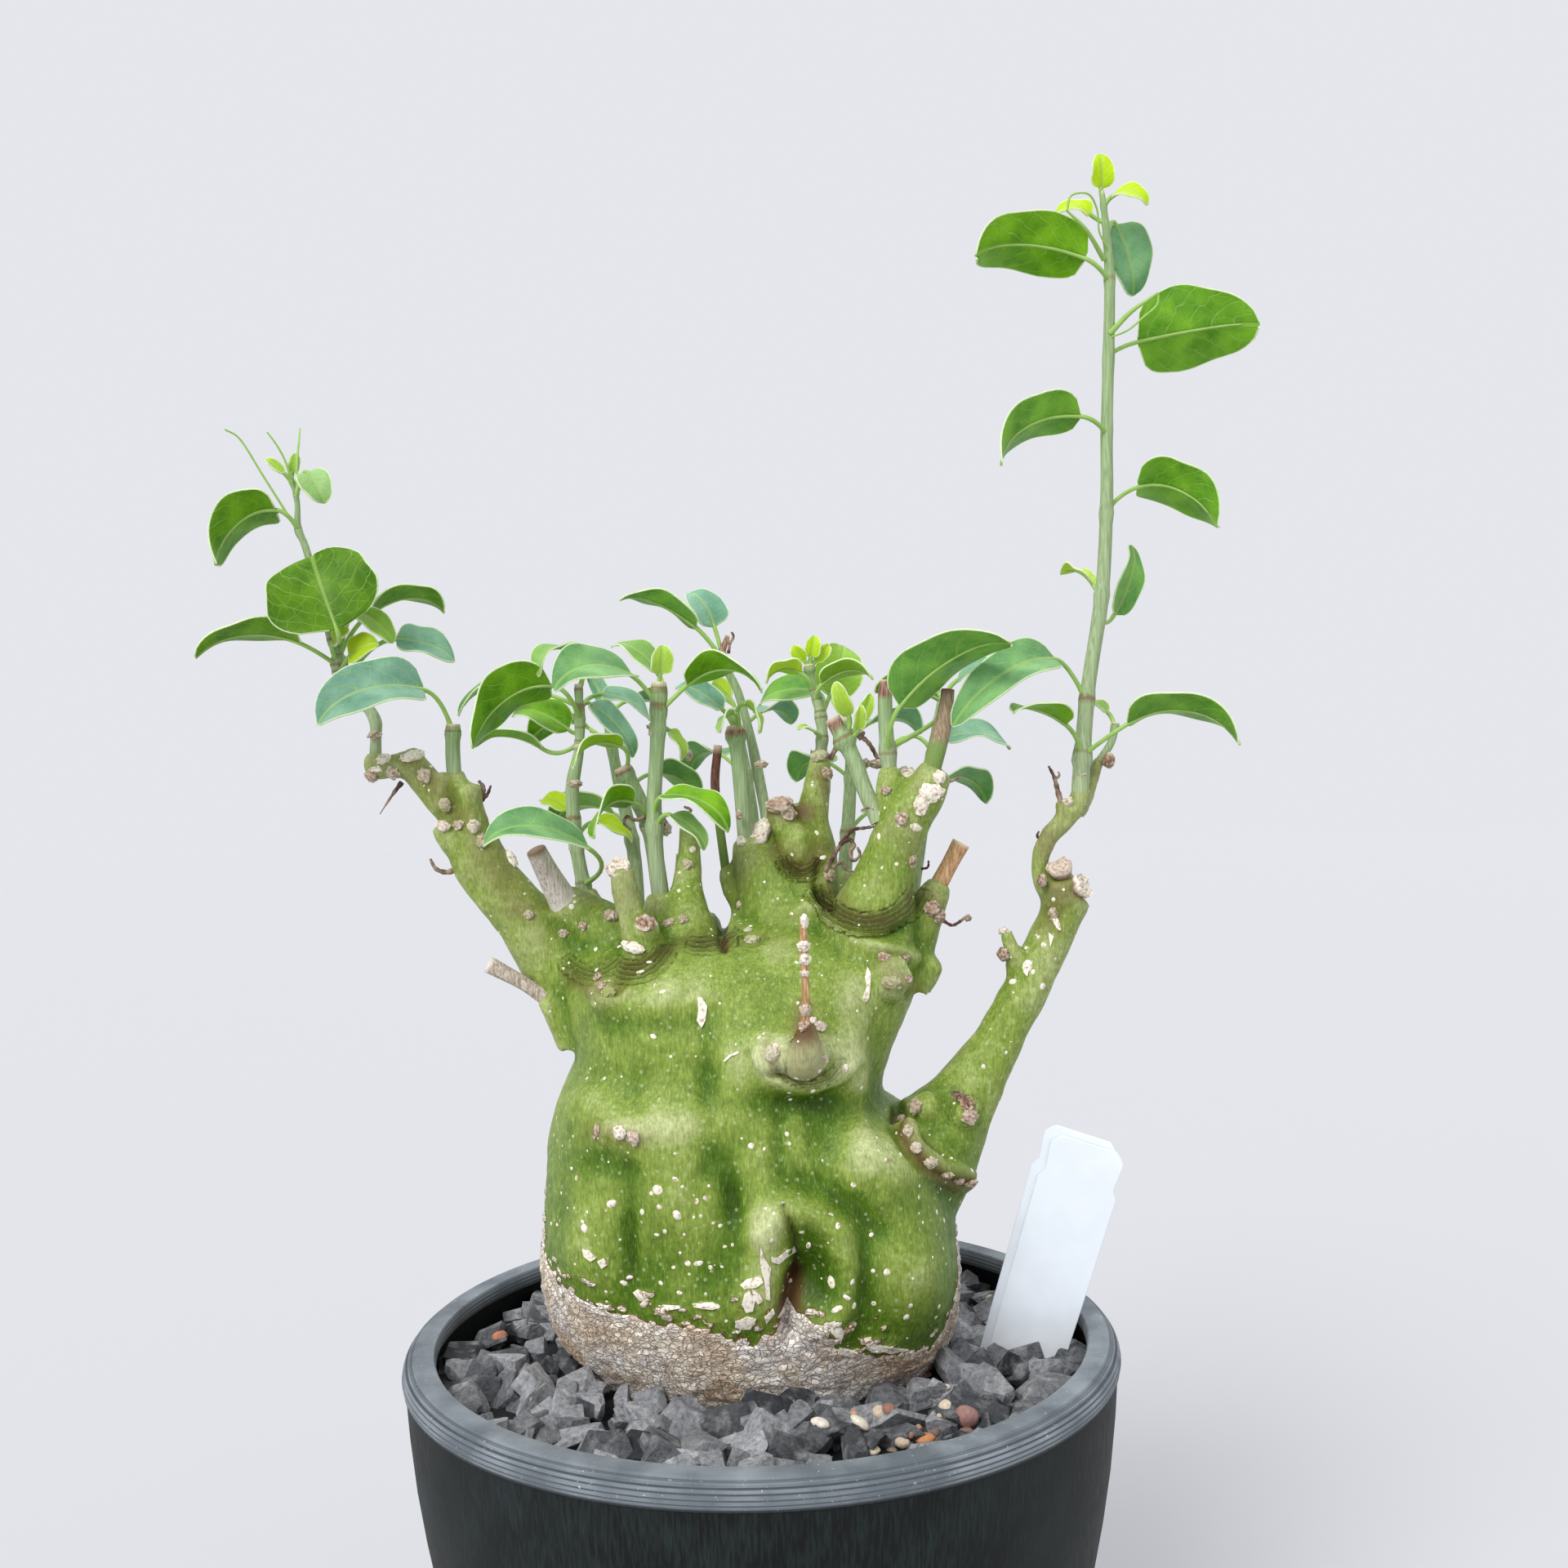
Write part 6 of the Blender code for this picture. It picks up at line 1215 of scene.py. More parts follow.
CUT_ENDS = [
    (758, 1062, -18, 2.7, -12, 35, 0.1), (1003, 925, 2.5, 2.1, 8, 28, 0.3), (1109, 950, -9, 2.8, 4, 32, 0.05),
    (1138, 968, -14, 3.2, 38, 20, 0.1), (1326, 1084, -9, 2.7, 65, 30, 0.05), (502, 927, -2, 2.6, -5, 26, 0.1),
    (1297, 1062, -9, 2.8, -25, 30, 0.3), (926, 1020, 2, 4, -34, 26, 0.05),
]
# Heights and shares of the radius of a cut end, ringed like the wood in it
CUT_PROFILE = [(-2.2, 0.2), (-2.2, 0.62), (-1.0, 0.9), (0.0, 1.0), (0.5, 0.96), (0.25, 0.84), (0.4, 0.66),
               (0.15, 0.5), (0.35, 0.34), (0.1, 0.15)]
FAR_SIDE = 385.0  # from the camera: a bud that falls further off has missed the front
BUD_KINDS = 5


def scaly(points, shift):
    """Heaves a ball's points in and out like bud scales."""
    coarse = [abs(noise.noise(Vector(p) * MM * 1.9 + shift)) for p in points]
    fine = [abs(noise.noise(Vector(p) * MM * 4.5 + shift)) for p in points]
    return [p * (0.82 + 0.5 * a + 0.3 * b) for p, a, b in zip(points, coarse, fine)]


def scaly_lump(number, place, size, turn, brown, leafy):
    """A copy of a bud, browner in its hollows, and darker there as painted shade."""
    kind = bud_kinds[number % BUD_KINDS]
    lump = laid_copy(kind, place, size, turn)
    shade = np.clip((1.12 - np.array([vert.co.length for vert in kind.data.vertices])) / 0.3, 0, 1)
    # Painted shade: the hollows between the scales are painted browner and darker.
    brown_and_hollow_shade = np.clip(brown * (0.45 + 0.9 * shade), 0, 1)
    store(lump, "rim", np.stack([shade * 0.2, brown_and_hollow_shade, shade * 0 + leafy, shade * 0 + 1], axis=1))
    lumps_made.append(lump)
    return lump


bud_kinds = []
for number in range(BUD_KINDS):
    deselect()
    bpy.ops.mesh.primitive_ico_sphere_add(subdivisions=3, radius=1.0)
    bud = bpy.context.object
    shift = Vector((number * 5.3, 0.0, 2.0))
    move_points(bud, lambda points: scaly(points, shift))
    bud_kinds.append(bud)
rng = random.Random(31)
lumps_made = []
for number, (x, y, across, down, brown, leafy) in enumerate(BUDS):
    place, outward = on_skin(x, y)
    if place is None or (place - CAMERA_PLACE).dot(CAMERA_AHEAD) > FAR_SIDE:
        continue
    near = pixel_at(place)
    here = seat(place + outward * 0.15 * min(across, down) * near, outward)
    size = [across * near * MM, down * near * MM, 0.7 * min(across, down) * near * MM]
    turn = Matrix.Rotation(rng.uniform(-0.4, 0.4), 4, "Z")
    scaly_lump(number, (0, 0, 0), size, turn, brown, leafy).data.transform(here)
for number, (x, y, depth, across, down, brown, leafy) in enumerate(LOOSE_BUDS):
    place = from_photo(x, y, depth)
    near = pixel_at(place) * MM
    size = [across * near, 0.7 * (across + down) * near, down * near]
    scaly_lump(number, place, size, Matrix.Identity(4), brown, leafy)
for bud in bud_kinds:
    bpy.data.objects.remove(bud)
for number, (x, y, depth, radius, right, toward, brown) in enumerate(CUT_ENDS):
    end = turned_shape("cut_end", [(height, radius * share) for height, share in CUT_PROFILE], 26)
    values = []
    for vert in end.data.vertices:
        ringed = brown + 0.35 * (0.5 + 0.5 * math.sin(math.hypot(vert.co.x, vert.co.y) / (radius * MM) * 17))
        values.append((0.0, 0.85 if vert.co.z < -0.0004 else ringed, 0.0, 1.0))
    store(end, "rim", values)

    def ragged_end(points):
        """Breaks the round of a cut end and its face out of true."""
        for p in points:
            turn = math.atan2(p[1], p[0])
            out = math.hypot(p[0], p[1]) / radius
            around = Vector((math.cos(turn), math.sin(turn), 0.0))
            p *= 1 + 0.22 * out * noise.noise(around * 1.6 + Vector((0, 0, number * 3.0)))
            p[2] += 0.9 * out * noise.noise(around * 2.5 + Vector((0, 0, number * 5.0 + 1)))
        return points

    move_points(end, ragged_end)
    lean = Matrix.Rotation(math.radians(right), 4, "Y") @ Matrix.Rotation(math.radians(toward), 4, "X")
    end.data.transform(Matrix.Translation(from_photo(x, y, depth) * MM) @ lean)
    lumps_made.append(end)
lenticels = join_pieces("cork_lenticels", pore_copies + flakes_made + lumps_made)
bpy.ops.object.mode_set(mode="EDIT")
face_outwards()
bpy.ops.object.shade_smooth_by_angle(angle=math.radians(50))

# Cork of the lenticels and scars: dry and matt, cream with brown pits 0.7 mm apart, which is as fine
# as shows, and painted dark olive at its foot where it breaks out of the skin, as a painted shadow. Buds
# are of brown scales or still green.
made = new_material("pale_cork", Roughness=0.85)
place = add_node("TexCoord", {}, "Object")
rim = add_node("Attribute", {}, "Color", attribute_name="rim")
rim, brown, leafy = add_node("SeparateColor", {0: rim}, 0, 1, 2)
pits = add_node("TexNoise", {"Vector": place, "Scale": 1400.0, "Detail": 5.0})
pitted = add_node("MapRange", {"Value": pits, "From Min": 0.5, "From Max": 0.3})
colour = add_node("Mix", {0: pitted, 6: "F1EADA", 7: "A98B68"}, 2, data_type="RGBA")
scales = add_node("Mix", {0: pitted, 6: "8A5F42", 7: "452A1C"}, 2, data_type="RGBA")
colour = add_node("Mix", {0: leafy, 6: colour, 7: "8AA24A"}, 2, data_type="RGBA")
colour = add_node("Mix", {0: brown, 6: colour, 7: scales}, 2, data_type="RGBA")
# Painted shadow: the foot of each pore is painted dark olive.
rim = add_node("MapRange", {"Value": rim, "From Min": 0.35, "From Max": 0.9})
colour = add_node("Mix", {0: rim, 6: colour, 7: "5A5524"}, 2, data_type="RGBA")
bump = add_node("Bump", {"Height": pits, "Strength": 0.5, "Distance": 0.0002})
to_shader(Base_Color=colour, Normal=bump)
hand_over(lenticels, made, "caudex")


# Dry tendrils and thorns: what is left of climbing tendrils and spent flower stalks, thin and brittle
# brown. Each has its depth, its radius at both ends and the pixels it passes.
THREADS = [
    (-8, 0.55, 0.3, [(1010, 1068), (1020, 1050), (1026, 1039), (1035, 1026), (1045, 1016), (1058, 1014),
                     (1070, 1012)]),
    (-8, 0.5, 0.3, [(1028, 1034), (1040, 1028), (1046, 1036), (1040, 1044), (1045, 1054), (1053, 1047),
                    (1050, 1038)]),
    (-9, 0.4, 0.25, [(1020, 1062), (1030, 1056), (1036, 1064), (1046, 1068)]),
    (-1, 0.6, 0.45, [(1016, 930), (1026, 913), (1037, 904), (1050, 901), (1061, 907), (1069, 918),
                     (1075, 930)]),
    (-1, 0.4, 0.3, [(1050, 901), (1058, 897), (1052, 906)]),
    (-14, 0.75, 0.12, [(1150, 960), (1162, 957), (1178, 951)]),
    (-10, 0.35, 0.3, [(1156, 1128), (1166, 1133), (1176, 1128), (1185, 1121)]),
    (-10, 0.4, 0.3, [(1185, 1121), (1188, 1125), (1183, 1127)]),
    (-6, 0.3, 0.2, [(1128, 1064), (1136, 1062), (1137, 1054)]),
    (-3, 0.6, 0.1, [(492, 958), (480, 974), (465, 997)]),
    (-14, 0.35, 0.25, [(1186, 1356), (1182, 1346), (1174, 1338), (1166, 1338), (1170, 1346)]),
    (-12, 0.4, 0.2, [(1070, 992), (1062, 988), (1056, 992)]),
    (0, 0.45, 0.3, [(790, 1000), (778, 1004), (768, 1000), (764, 1008), (772, 1016)]),
    (-8, 0.45, 0.25, [(1125, 1010), (1132, 1004), (1128, 996)]),
    (2, 0.4, 0.3, [(846, 1012), (840, 1000), (846, 992), (838, 988)]),
    (4, 0.4, 0.25, [(892, 800), (893, 789), (889, 778)]),
    (4, 0.35, 0.25, [(893, 789), (898, 780), (896, 774)]),
    (-5, 0.7, 0.25, [(1300, 986), (1295, 968), (1291, 952), (1284, 938)]),
    (-5, 0.4, 0.15, [(1291, 954), (1297, 950), (1296, 945)]),
    (-5, 0.4, 0.2, [(1276, 1028), (1270, 1024), (1272, 1018)]),
    (-3, 0.7, 0.3, [(588, 978), (592, 965), (586, 956)]),
    (-3, 0.6, 0.2, [(589, 980), (597, 972), (601, 962)]),
    (-3, 0.6, 0.3, [(556, 1000), (553, 985), (560, 972)]),
    (-4, 0.7, 0.3, [(563, 1062), (548, 1068), (534, 1064), (527, 1052)]),
    (-4, 0.5, 0.15, [(590, 1046), (582, 1052), (574, 1050)]),
]
routes = []
for depth, thick, thin, line in THREADS:
    stops = []
    for number, (x, y) in enumerate(line):
        stops.append((*from_photo(x, y, depth + 0.8 * math.sin(3.0 * number)), 0.0))
    route = fine_route(stops, 5)
    route[:, 3] = np.linspace(thick, thin, len(route)) * (1 + 0.15 * np.sin(np.arange(len(route)) * 2.1))
    routes.append(route)
threads = grown_tubes("dry_tendrils", routes, 2)
bpy.ops.object.shade_smooth()

# Dry tendril: dead and shrivelled, dull, turning from red-brown to grey in patches of 2.4 mm.
made = new_material("shrivelled_tendril", Roughness=0.85)
place = add_node("TexCoord", {}, "Object")
spots = add_node("TexNoise", {"Vector": place, "Scale": 420.0, "Detail": 4.0})
spots = add_node("MapRange", {"Value": spots, "From Min": 0.4, "From Max": 0.62})
colour = add_node("Mix", {0: spots, 6: "4B3026", 7: "A08A76"}, 2, data_type="RGBA")
bump = add_node("Bump", {"Height": spots, "Strength": 0.5, "Distance": 0.0003})
to_shader(Base_Color=colour, Normal=bump)
hand_over(threads, made, "caudex")


# Shoots: this year's leafy stems, waxy grey-green, with a brown ring where each leaf stalk leaves
# them. The blades are folded along the midrib, blue-green above and bright green underneath.
# First the stops of the stem: x, y, z and radius. Then its leaves: where the stalk leaves the stem,
# base and tip of the blade, its width, which way its upper side looks, how far it arches, and its
# wax bloom and painted shade: below 0 painted shade by that much, from 0 to 1 its wax bloom, and above 1
# waxed with painted shade.
SHOOTS = {
    "tall_right_shoot": ([
        (70.2, -5, 231, 1.85), (70.7, -4.6, 236, 1.85), (72.8, -3, 253, 1.6), (76.4, -2, 273, 1.5),
        (78.1, -1, 293, 1.4), (78.7, 0, 309, 1.3), (80, 0, 339, 1.15), (79.6, 0, 351, 0.8),
        (78.8, 0, 360.5, 0.5),
    ], [
        ((78.8, 0, 358), (78.6, -0.2, 361), (78.4, -1, 368.3), 5.4, (0.2, -1, 0.1), 0.1, 0),
        ((79, 0, 357), (81, -1, 359), (88, -4, 356), 5.8, (0, -0.75, 0.66), 0.2, 0),
        ((79, 0, 353.5), (76.4, 0.5, 355.6), (68.6, 4, 357), 6, (0, -0.7, 0.7), 0.2, 0),
        ((79.7, -0.5, 341), (74.2, -3, 345), (48.4, -10, 344.5), 14.5, (0.1, 0.72, 0.65), 0.2, 0),
        ((79.7, 0.5, 350), (82.6, 4, 354.5), (87.2, 7, 339.8), 11, (0.25, -0.96, 0.1), 0.08, 0.7),
        ((79.8, 0, 325), (86.6, 3, 328.6), (111.2, -4, 330.4), 18.5, (0, 0.85, 0.5), 0.06, 0.05),
        ((78.8, -1, 308), (72.2, -4, 311), (52.4, -12, 300), 12.5, (-0.2, 0.6, 0.75), 0.2, 0.1),
        ((78.2, 0, 291), (86, 3, 297), (101.8, -5, 287), 14, (0.15, 0.6, 0.8), 0.24, 0.05),
        ((76.2, -2, 269), (81, 7, 269.8), (86.4, 9, 285.6), 7.5, (0.6, -0.8, -0.1), 0.08, 0.3),
        ((76.5, -2, 273), (75.8, 4, 276), (70, 10, 280), 7, (0.3, -0.1, 0.95), 0.15, 0.1),
        ((72.4, -3, 250), (65, -8, 259), (41.4, -15, 245.6), 10.5, (0.1, -0.72, 0.68), 0.2, 0.5),
        ((70.8, -4.6, 238), (66.4, -10, 245.2), (54.4, -17, 248.4), 10, (-0.2, -0.1, 1), 0.1, 0),
        ((70.8, -4.6, 238.6), (79.6, -10, 245), (102, -17, 241), 12.5, (0.1, 0.35, 0.93), 0.2, 0.1),
    ]),
    "right_stub_leaf": ([
        (75.6, 0, 237.6, 0.9), (78.2, 0.4, 241.4, 0.85), (79.4, 1, 245.6, 0.8),
    ], [
        ((79.5, 1, 244.6), (78, 2.4, 248), (72.6, 5, 250), 5, (0, -0.3, 1), 0.15, 0.5),
    ]),
    "left_shoot": ([
        (-80.6, -0.6, 242, 1.3), (-80.5, -0.3, 246.2, 1.2), (-80.6, 0, 249.4, 1.35), (-82, 0, 252.2, 1.2),
        (-84.6, 1, 253.8, 1.15), (-88.4, 2, 258, 1.3), (-88.9, 2, 263.5, 1.15), (-90.9, 2, 270, 0.95),
        (-95.5, 3, 287, 0.8), (-97.3, 3, 292, 0.75), (-97.4, 3, 298, 0.55), (-98.8, 3, 303.5, 0.42),
    ], [
        ((-97.3, 3, 291.6), (-100.8, 0, 295.6), (-112.8, -8, 283), 12.5, (-0.3, 0.55, 0.78), 0.26, -0.3),
        ((-97.6, 3, 299), (-94.8, 2, 304), (-90.4, 0, 296.8), 7, (0.3, -0.9, 0.3), 0.14, 0.65),
        ((-88.9, 2, 262.5), (-88.4, -3, 266.6), (-84.6, -5, 269), 4.6, (0, -0.8, 0.5), 0.1, -0.5),
        ((-98.4, 3, 302), (-99.8, 2, 304), (-103.4, 1, 307), 2.6, (-0.4, -0.5, 0.7), 0.1, 0.3),
        ((-98.6, 3, 302.5), (-98.6, 4, 304.5), (-98, 5, 309), 2.6, (0.4, -0.9, 0.1), 0.1, 0.3),
        ((-90.2, 2, 267), (-86.2, -8, 268.8), (-93.2, -2, 286), 23.5, (0, -0.94, 0.33), 0.06, -0.8),
        ((-88.9, 2, 263.5), (-83, 6, 273.4), (-67.6, 14, 275), 10.5, (0.05, 0.3, 0.95), 0.2, -0.4),
        ((-88.7, 2, 261.5), (-95.6, -2, 266.4), (-117.2, -7, 264.6), 11, (0, 0.3, 0.95), 0.14, -0.5),
        ((-87.6, 1.8, 257.4), (-76.9, 5, 267.6), (-64.6, 9, 263.4), 9, (0.2, -0.72, 0.68), 0.1, 1),
        ((-88.6, 2, 260), (-85.2, -2.4, 263.4), (-78.4, -5, 266), 7, (0.1, -0.85, 0.5), 0.12, -0.55),
        ((-88.7, 2, 262.5), (-82.9, -1, 273), (-75.6, -2, 266.2), 5.5, (0.4, -0.85, 0.3), 0.15, 0.2),
    ]),
    "left_stub_shoot": ([
        (-63.2, -3, 237.5, 1.6), (-63.4, -3, 242.5, 1.6), (-63.2, -3, 248.4, 1.5),
    ], [
        ((-63.3, -3, 246.4), (-68.2, -8, 255.6), (-89.6, -15, 249), 14, (0.1, -0.75, 0.66), 0.2, 1.3),
    ]),
    "crown_left_shoot": ([
        (-37, 6, 211.5, 1.6), (-38.6, 6, 221, 1.5), (-39.3, 6, 231, 1.5), (-39, 6, 236, 1.5),
        (-37.6, 6, 242.4, 1.1), (-37.3, 6, 248.3, 0.95), (-37.4, 6, 257, 0.85),
    ], [
        ((-37.4, 6, 249), (-42.6, 0, 256.4), (-59.4, -8, 243.4), 14.5, (-0.2, 0.62, 0.76), 0.22, -0.15),
        ((-38, 6, 244), (-46.4, 12, 243), (-62.4, 13, 245), 7, (0, 0.25, 0.95), 0.14, 0),
        ((-37.3, 6, 247), (-41, 13.5, 247.4), (-54.4, 18, 252.2), 9.5, (0, -0.6, 0.8), 0.12, 0),
        ((-37.3, 6, 252), (-52.8, 13.6, 257.6), (-66, 12, 251.4), 8.5, (-0.1, -0.2, 0.95), 0.16, 0.3),
        ((-37.4, 6, 255.4), (-37, 4.4, 263.4), (-45.4, -3, 258.4), 8, (-0.3, -0.35, 0.9), 0.3, 0.4),
        ((-37.3, 6, 249.4), (-35.4, 10, 252.8), (-25.4, 12, 241), 6.5, (0.5, -0.7, 0.5), 0.1, 1),
        ((-37.3, 6, 251), (-33, 13.4, 255), (-22.2, 17, 249.6), 7.5, (0.2, -0.5, 0.84), 0.12, 1),
        ((-37, 6, 213), (-33.6, -14, 221.8), (-54.4, -22, 223.8), 10.5, (0, -0.56, 0.83), 0.2, 0.5),
        ((-39, 6, 227), (-41.2, 13, 229.4), (-48, 17, 232), 6, (-0.1, -0.5, 0.85), 0.1, 0),
        ((-38.6, 6, 221.4), (-34.6, 12.6, 226.4), (-27, 16, 222), 6, (0.2, -0.5, 0.85), 0.1, 0),
    ]),
    "crown_left_stub": ([
        (-20.2, 4, 210, 2), (-21.2, 3.6, 219, 1.9), (-22.4, 3, 226, 1.9), (-24.6, 2.4, 231.4, 2),
        (-27.8, 1.4, 238.5, 1.9),
    ], [
        ((-27.2, 1.6, 237), (-27.4, -1.8, 242.8), (-38, -8, 238.8), 7, (-0.2, 0.3, 0.93), 0.22, 0),
        ((-22.3, 3, 225.6), (-25.2, -1, 230.8), (-33.4, -12, 224), 9, (-0.3, 0.5, 0.8), 0.24, 0),
    ]),
    "crown_cut_shoot": ([
        (-19.6, -6, 211, 1.7), (-20.2, -6, 221, 1.65), (-20.3, -6, 231, 1.6), (-19.6, -6, 240, 1.55),
        (-19.1, -6, 247, 1.6), (-18.7, -6, 256.2, 1.5),
    ], [
        ((-18.9, -6, 251), (-24.4, -10, 257.6), (-39.6, -20, 254.6), 12, (0, -0.7, 0.7), 0.22, 0.45),
        ((-18.8, -6, 253), (-19.4, 1, 258.4), (-29.6, 5, 266), 8, (0.3, -0.5, 0.8), 0.12, 0.4),
        ((-18.7, -6, 254.6), (-18.4, -6.2, 258), (-17.6, -7, 264), 5, (0.3, -0.95, 0.1), 0.12, 0.3),
        ((-18.8, -6, 249.4), (-12.6, -7, 255.4), (4, -14, 254), 11, (0, 0.35, 0.93), 0.22, 0),
        ((-19.1, -6, 246), (-17, -3, 246), (-14, -2, 239.6), 4.6, (0.8, -0.4, 0.3), 0.1, 0.3),
        ((-20.2, -6, 226), (-18, -10, 232), (-3.6, -17, 225), 8.5, (0.3, -0.5, 0.8), 0.16, 0),
        ((-20.2, -6, 224.6), (-16.6, -9.6, 228), (-9, -11.6, 221), 6, (0.5, -0.5, 0.7), 0.1, 0.4),
    ]),
    "crown_brown_stub": ([
        (-6, 5.6, 216, 1), (-7.4, 6.6, 228, 0.95), (-7.9, 7, 235, 1), (-7.1, 8, 242.8, 0.95),
    ], []),
    "crown_middle_stub": ([
        (-1.4, 3, 223, 1.7), (-2.2, 3.4, 236, 1.7), (-3.2, 4, 247, 1.65),
    ], [
        ((-3, 4, 245), (-5.8, 1.6, 250.6), (-15.8, 2.4, 256.2), 7, (0, -0.62, 0.78), 0.1, 1),
        ((-3, 4, 245.4), (-0.6, 1, 251.4), (2.6, -3, 245), 5, (0.6, 0.2, 0.75), 0.15, 0.3),
        ((-3, 4, 244), (-3.4, -0.6, 249.4), (-6.4, -5, 245.4), 4.6, (-0.4, 0.2, 0.85), 0.15, 0.6),
    ]),
    "crown_middle_shoot": ([
        (3.4, 6.6, 223, 1.25), (3, 7.4, 228, 1.2), (1.3, 9.6, 238, 1.25), (-0.3, 11, 246.3, 1),
        (-2.7, 12, 255.2, 0.95), (-5.9, 12, 262.3, 0.9), (-4.6, 12.6, 267.5, 0.55),
    ], [
        ((-5.4, 12, 261), (-11.6, 11, 269.4), (-28, 6, 276.4), 9.5, (0, 0.2, 0.97), 0.1, 0.15),
        ((-5.8, 12, 262), (-7.6, 13.4, 269.8), (-13, 17, 278.4), 9, (0.35, -0.8, 0.5), 0.12, 1),
    ]),
    "crown_young_shoot": ([
        (15.5, 3, 240.5, 1.35), (15.9, 3.4, 245.5, 1.2), (15.3, 4, 251, 1.1), (13.8, 4, 256.4, 0.95),
        (13.3, 4, 260, 0.8),
    ], [
        ((14.4, 4, 254), (11.6, 2, 258), (3.4, 0.4, 256.4), 7, (0, 0.35, 0.93), 0.22, 0.1),
        ((15.5, 3.8, 249), (14.6, 9.4, 254.4), (1.4, 16, 252.6), 9, (0, -0.7, 0.7), 0.12, 0.2),
        ((15.2, 4, 252), (16, 1, 255.4), (27.2, -3.4, 256.6), 7.4, (0, 0.42, 0.9), 0.2, 0.1),
        ((15.6, 3.8, 247.6), (18, 12, 253.6), (22, 17, 265.6), 11, (0.2, -0.95, 0.1), 0.1, 0.15),
        ((13.4, 4, 259), (12.4, 3.6, 260.8), (9.8, 2.6, 264), 3.2, (-0.5, -0.7, 0.4), 0.1, 0),
        ((13.4, 4, 259), (13.8, 3.8, 261.6), (14.8, 3.8, 266.4), 3.6, (0.1, -1, 0.1), 0.1, 0),
        ((13.4, 4, 259), (14.8, 4.8, 260.8), (18, 6, 264.4), 3, (0.6, -0.6, 0.5), 0.1, 0),
        ((15.8, 3.2, 243.6), (14.4, 0.6, 245), (10.4, -2, 246), 3.4, (0, -0.3, 0.95), 0.1, 0.2),
    ]),
    "crown_leaning_stub": ([
        (25.8, -10.6, 228.4, 1.75), (23.8, -9.8, 233.5, 1.75), (21.8, -9.2, 239.4, 1.75),
        (17.8, -8.6, 247.6, 1.7),
    ], [
        ((20.4, -9, 243), (21.2, -9.6, 248), (18.4, -12, 255), 3.8, (-0.3, -0.9, 0.2), 0.1, 0.2),
        ((20.6, -9, 242.8), (23.2, -8.4, 246.4), (26, -9.6, 252.6), 3.4, (0.4, -0.9, 0.2), 0.1, 0.2),
        ((20.6, -9, 242.8), (23, -11.4, 245), (23.6, -13.6, 250), 2.8, (0.2, -0.95, 0.2), 0.1, 0.2),
    ]),
    "crown_upright_stub": ([
        (29.4, -9.8, 236.6, 1.6), (28.9, -9.4, 246, 1.55), (28.9, -9.2, 251.7, 1.5), (29, -9.2, 255.4, 1.1),
    ], [
        ((29.2, -9.6, 239.4), (31.6, -16, 249.6), (53, -27, 262.6), 15, (-0.4, 0.7, 0.6), 0.12, 0.2),
        ((29.1, -9.5, 241), (41, -3, 251.6), (27.4, 3.4, 254.6), 7.5, (0, 0.5, 0.85), 0.12, 0),
    ]),
    "crown_right_stub": ([
        (38, -12.6, 236.4, 1.95), (40.2, -11.2, 243.6, 1.9), (41.6, -10.6, 250, 1.5), (42, -10.4, 253, 1.4),
    ], []),
    "dead_twig_left": ([
        (-44, -8, 190.2, 1.7), (-48.7, -8, 193.4, 1.5), (-55.8, -8, 197.4, 1.8),
    ], []),
    "dead_twig_front": ([
        (10.2, -36.5, 186.5, 1), (10.5, -37.6, 193, 0.8), (10.4, -37.8, 203, 0.85), (10.4, -37.6, 208.6, 0.6),
    ], []),
    "dead_stub_grey": ([
        (-40, -7, 210.5, 3.1), (-42.4, -9.6, 216, 2.5), (-44.6, -12, 221.4, 2.1),
    ], []),
    "dead_stub_right": ([
        (40.2, -4, 212.5, 1.9), (42.4, -4, 216.4, 1.8), (44.8, -4, 220.6, 2),
    ], []),
    "back_left_shoot": ([
        (-26.6, 18, 206, 1.7), (-27.6, 20.4, 220, 1.6), (-31, 23, 236, 1.4), (-33, 25, 247, 1.1),
        (-33.6, 26, 253, 0.8),
    ], [
        ((-28, 20.6, 222), (-32.6, 26, 228), (-49, 33, 226), 11, (-0.1, 0.5, 0.85), 0.2, 0.1),
        ((-30, 22.4, 232), (-24, 27, 237), (-13, 34, 231), 10, (0.2, 0.55, 0.8), 0.2, 0.3),
        ((-32.4, 24.4, 243), (-38, 29, 248), (-54, 36, 246), 11.5, (-0.1, 0.5, 0.85), 0.2, 0),
        ((-33.4, 25.6, 250), (-30, 29, 254), (-20, 33, 252), 8, (0.2, 0.4, 0.9), 0.2, 1),
        ((-33.6, 26, 252), (-34.4, 26.6, 254.6), (-38, 28, 261), 5, (0.3, 0.9, 0.3), 0.1, 1),
    ]),
    "back_middle_shoot": ([
        (0.6, 19.5, 213.5, 1.75), (-0.4, 23, 228, 1.6), (-2.6, 27, 243, 1.3), (-4, 29, 252, 0.9),
    ], [
        ((0, 21.6, 222), (6, 28, 228), (14, 42, 223), 11.5, (0.25, 0.5, 0.83), 0.2, 0.3),
        ((-1.4, 25, 236), (-7, 31, 241), (-16, 44, 238), 11, (-0.2, 0.5, 0.83), 0.2, 0.5),
        ((-3, 27.6, 246), (2, 31.6, 251), (10, 41, 249), 9, (0.25, 0.5, 0.85), 0.2, 1),
        ((-3.8, 28.8, 250.6), (-4.6, 30, 254), (-9, 35, 258.6), 6, (-0.3, 0.7, 0.6), 0.12, 0.1),
    ]),
    "back_right_shoot": ([
        (20.6, 18.5, 213, 1.7), (22, 21.6, 226, 1.55), (23, 26, 240, 1.3), (22, 28.6, 249, 0.9),
    ], [
        ((21.6, 20.6, 222), (27, 27, 227), (40, 37, 223), 11.5, (0.25, 0.45, 0.85), 0.2, 0.3),
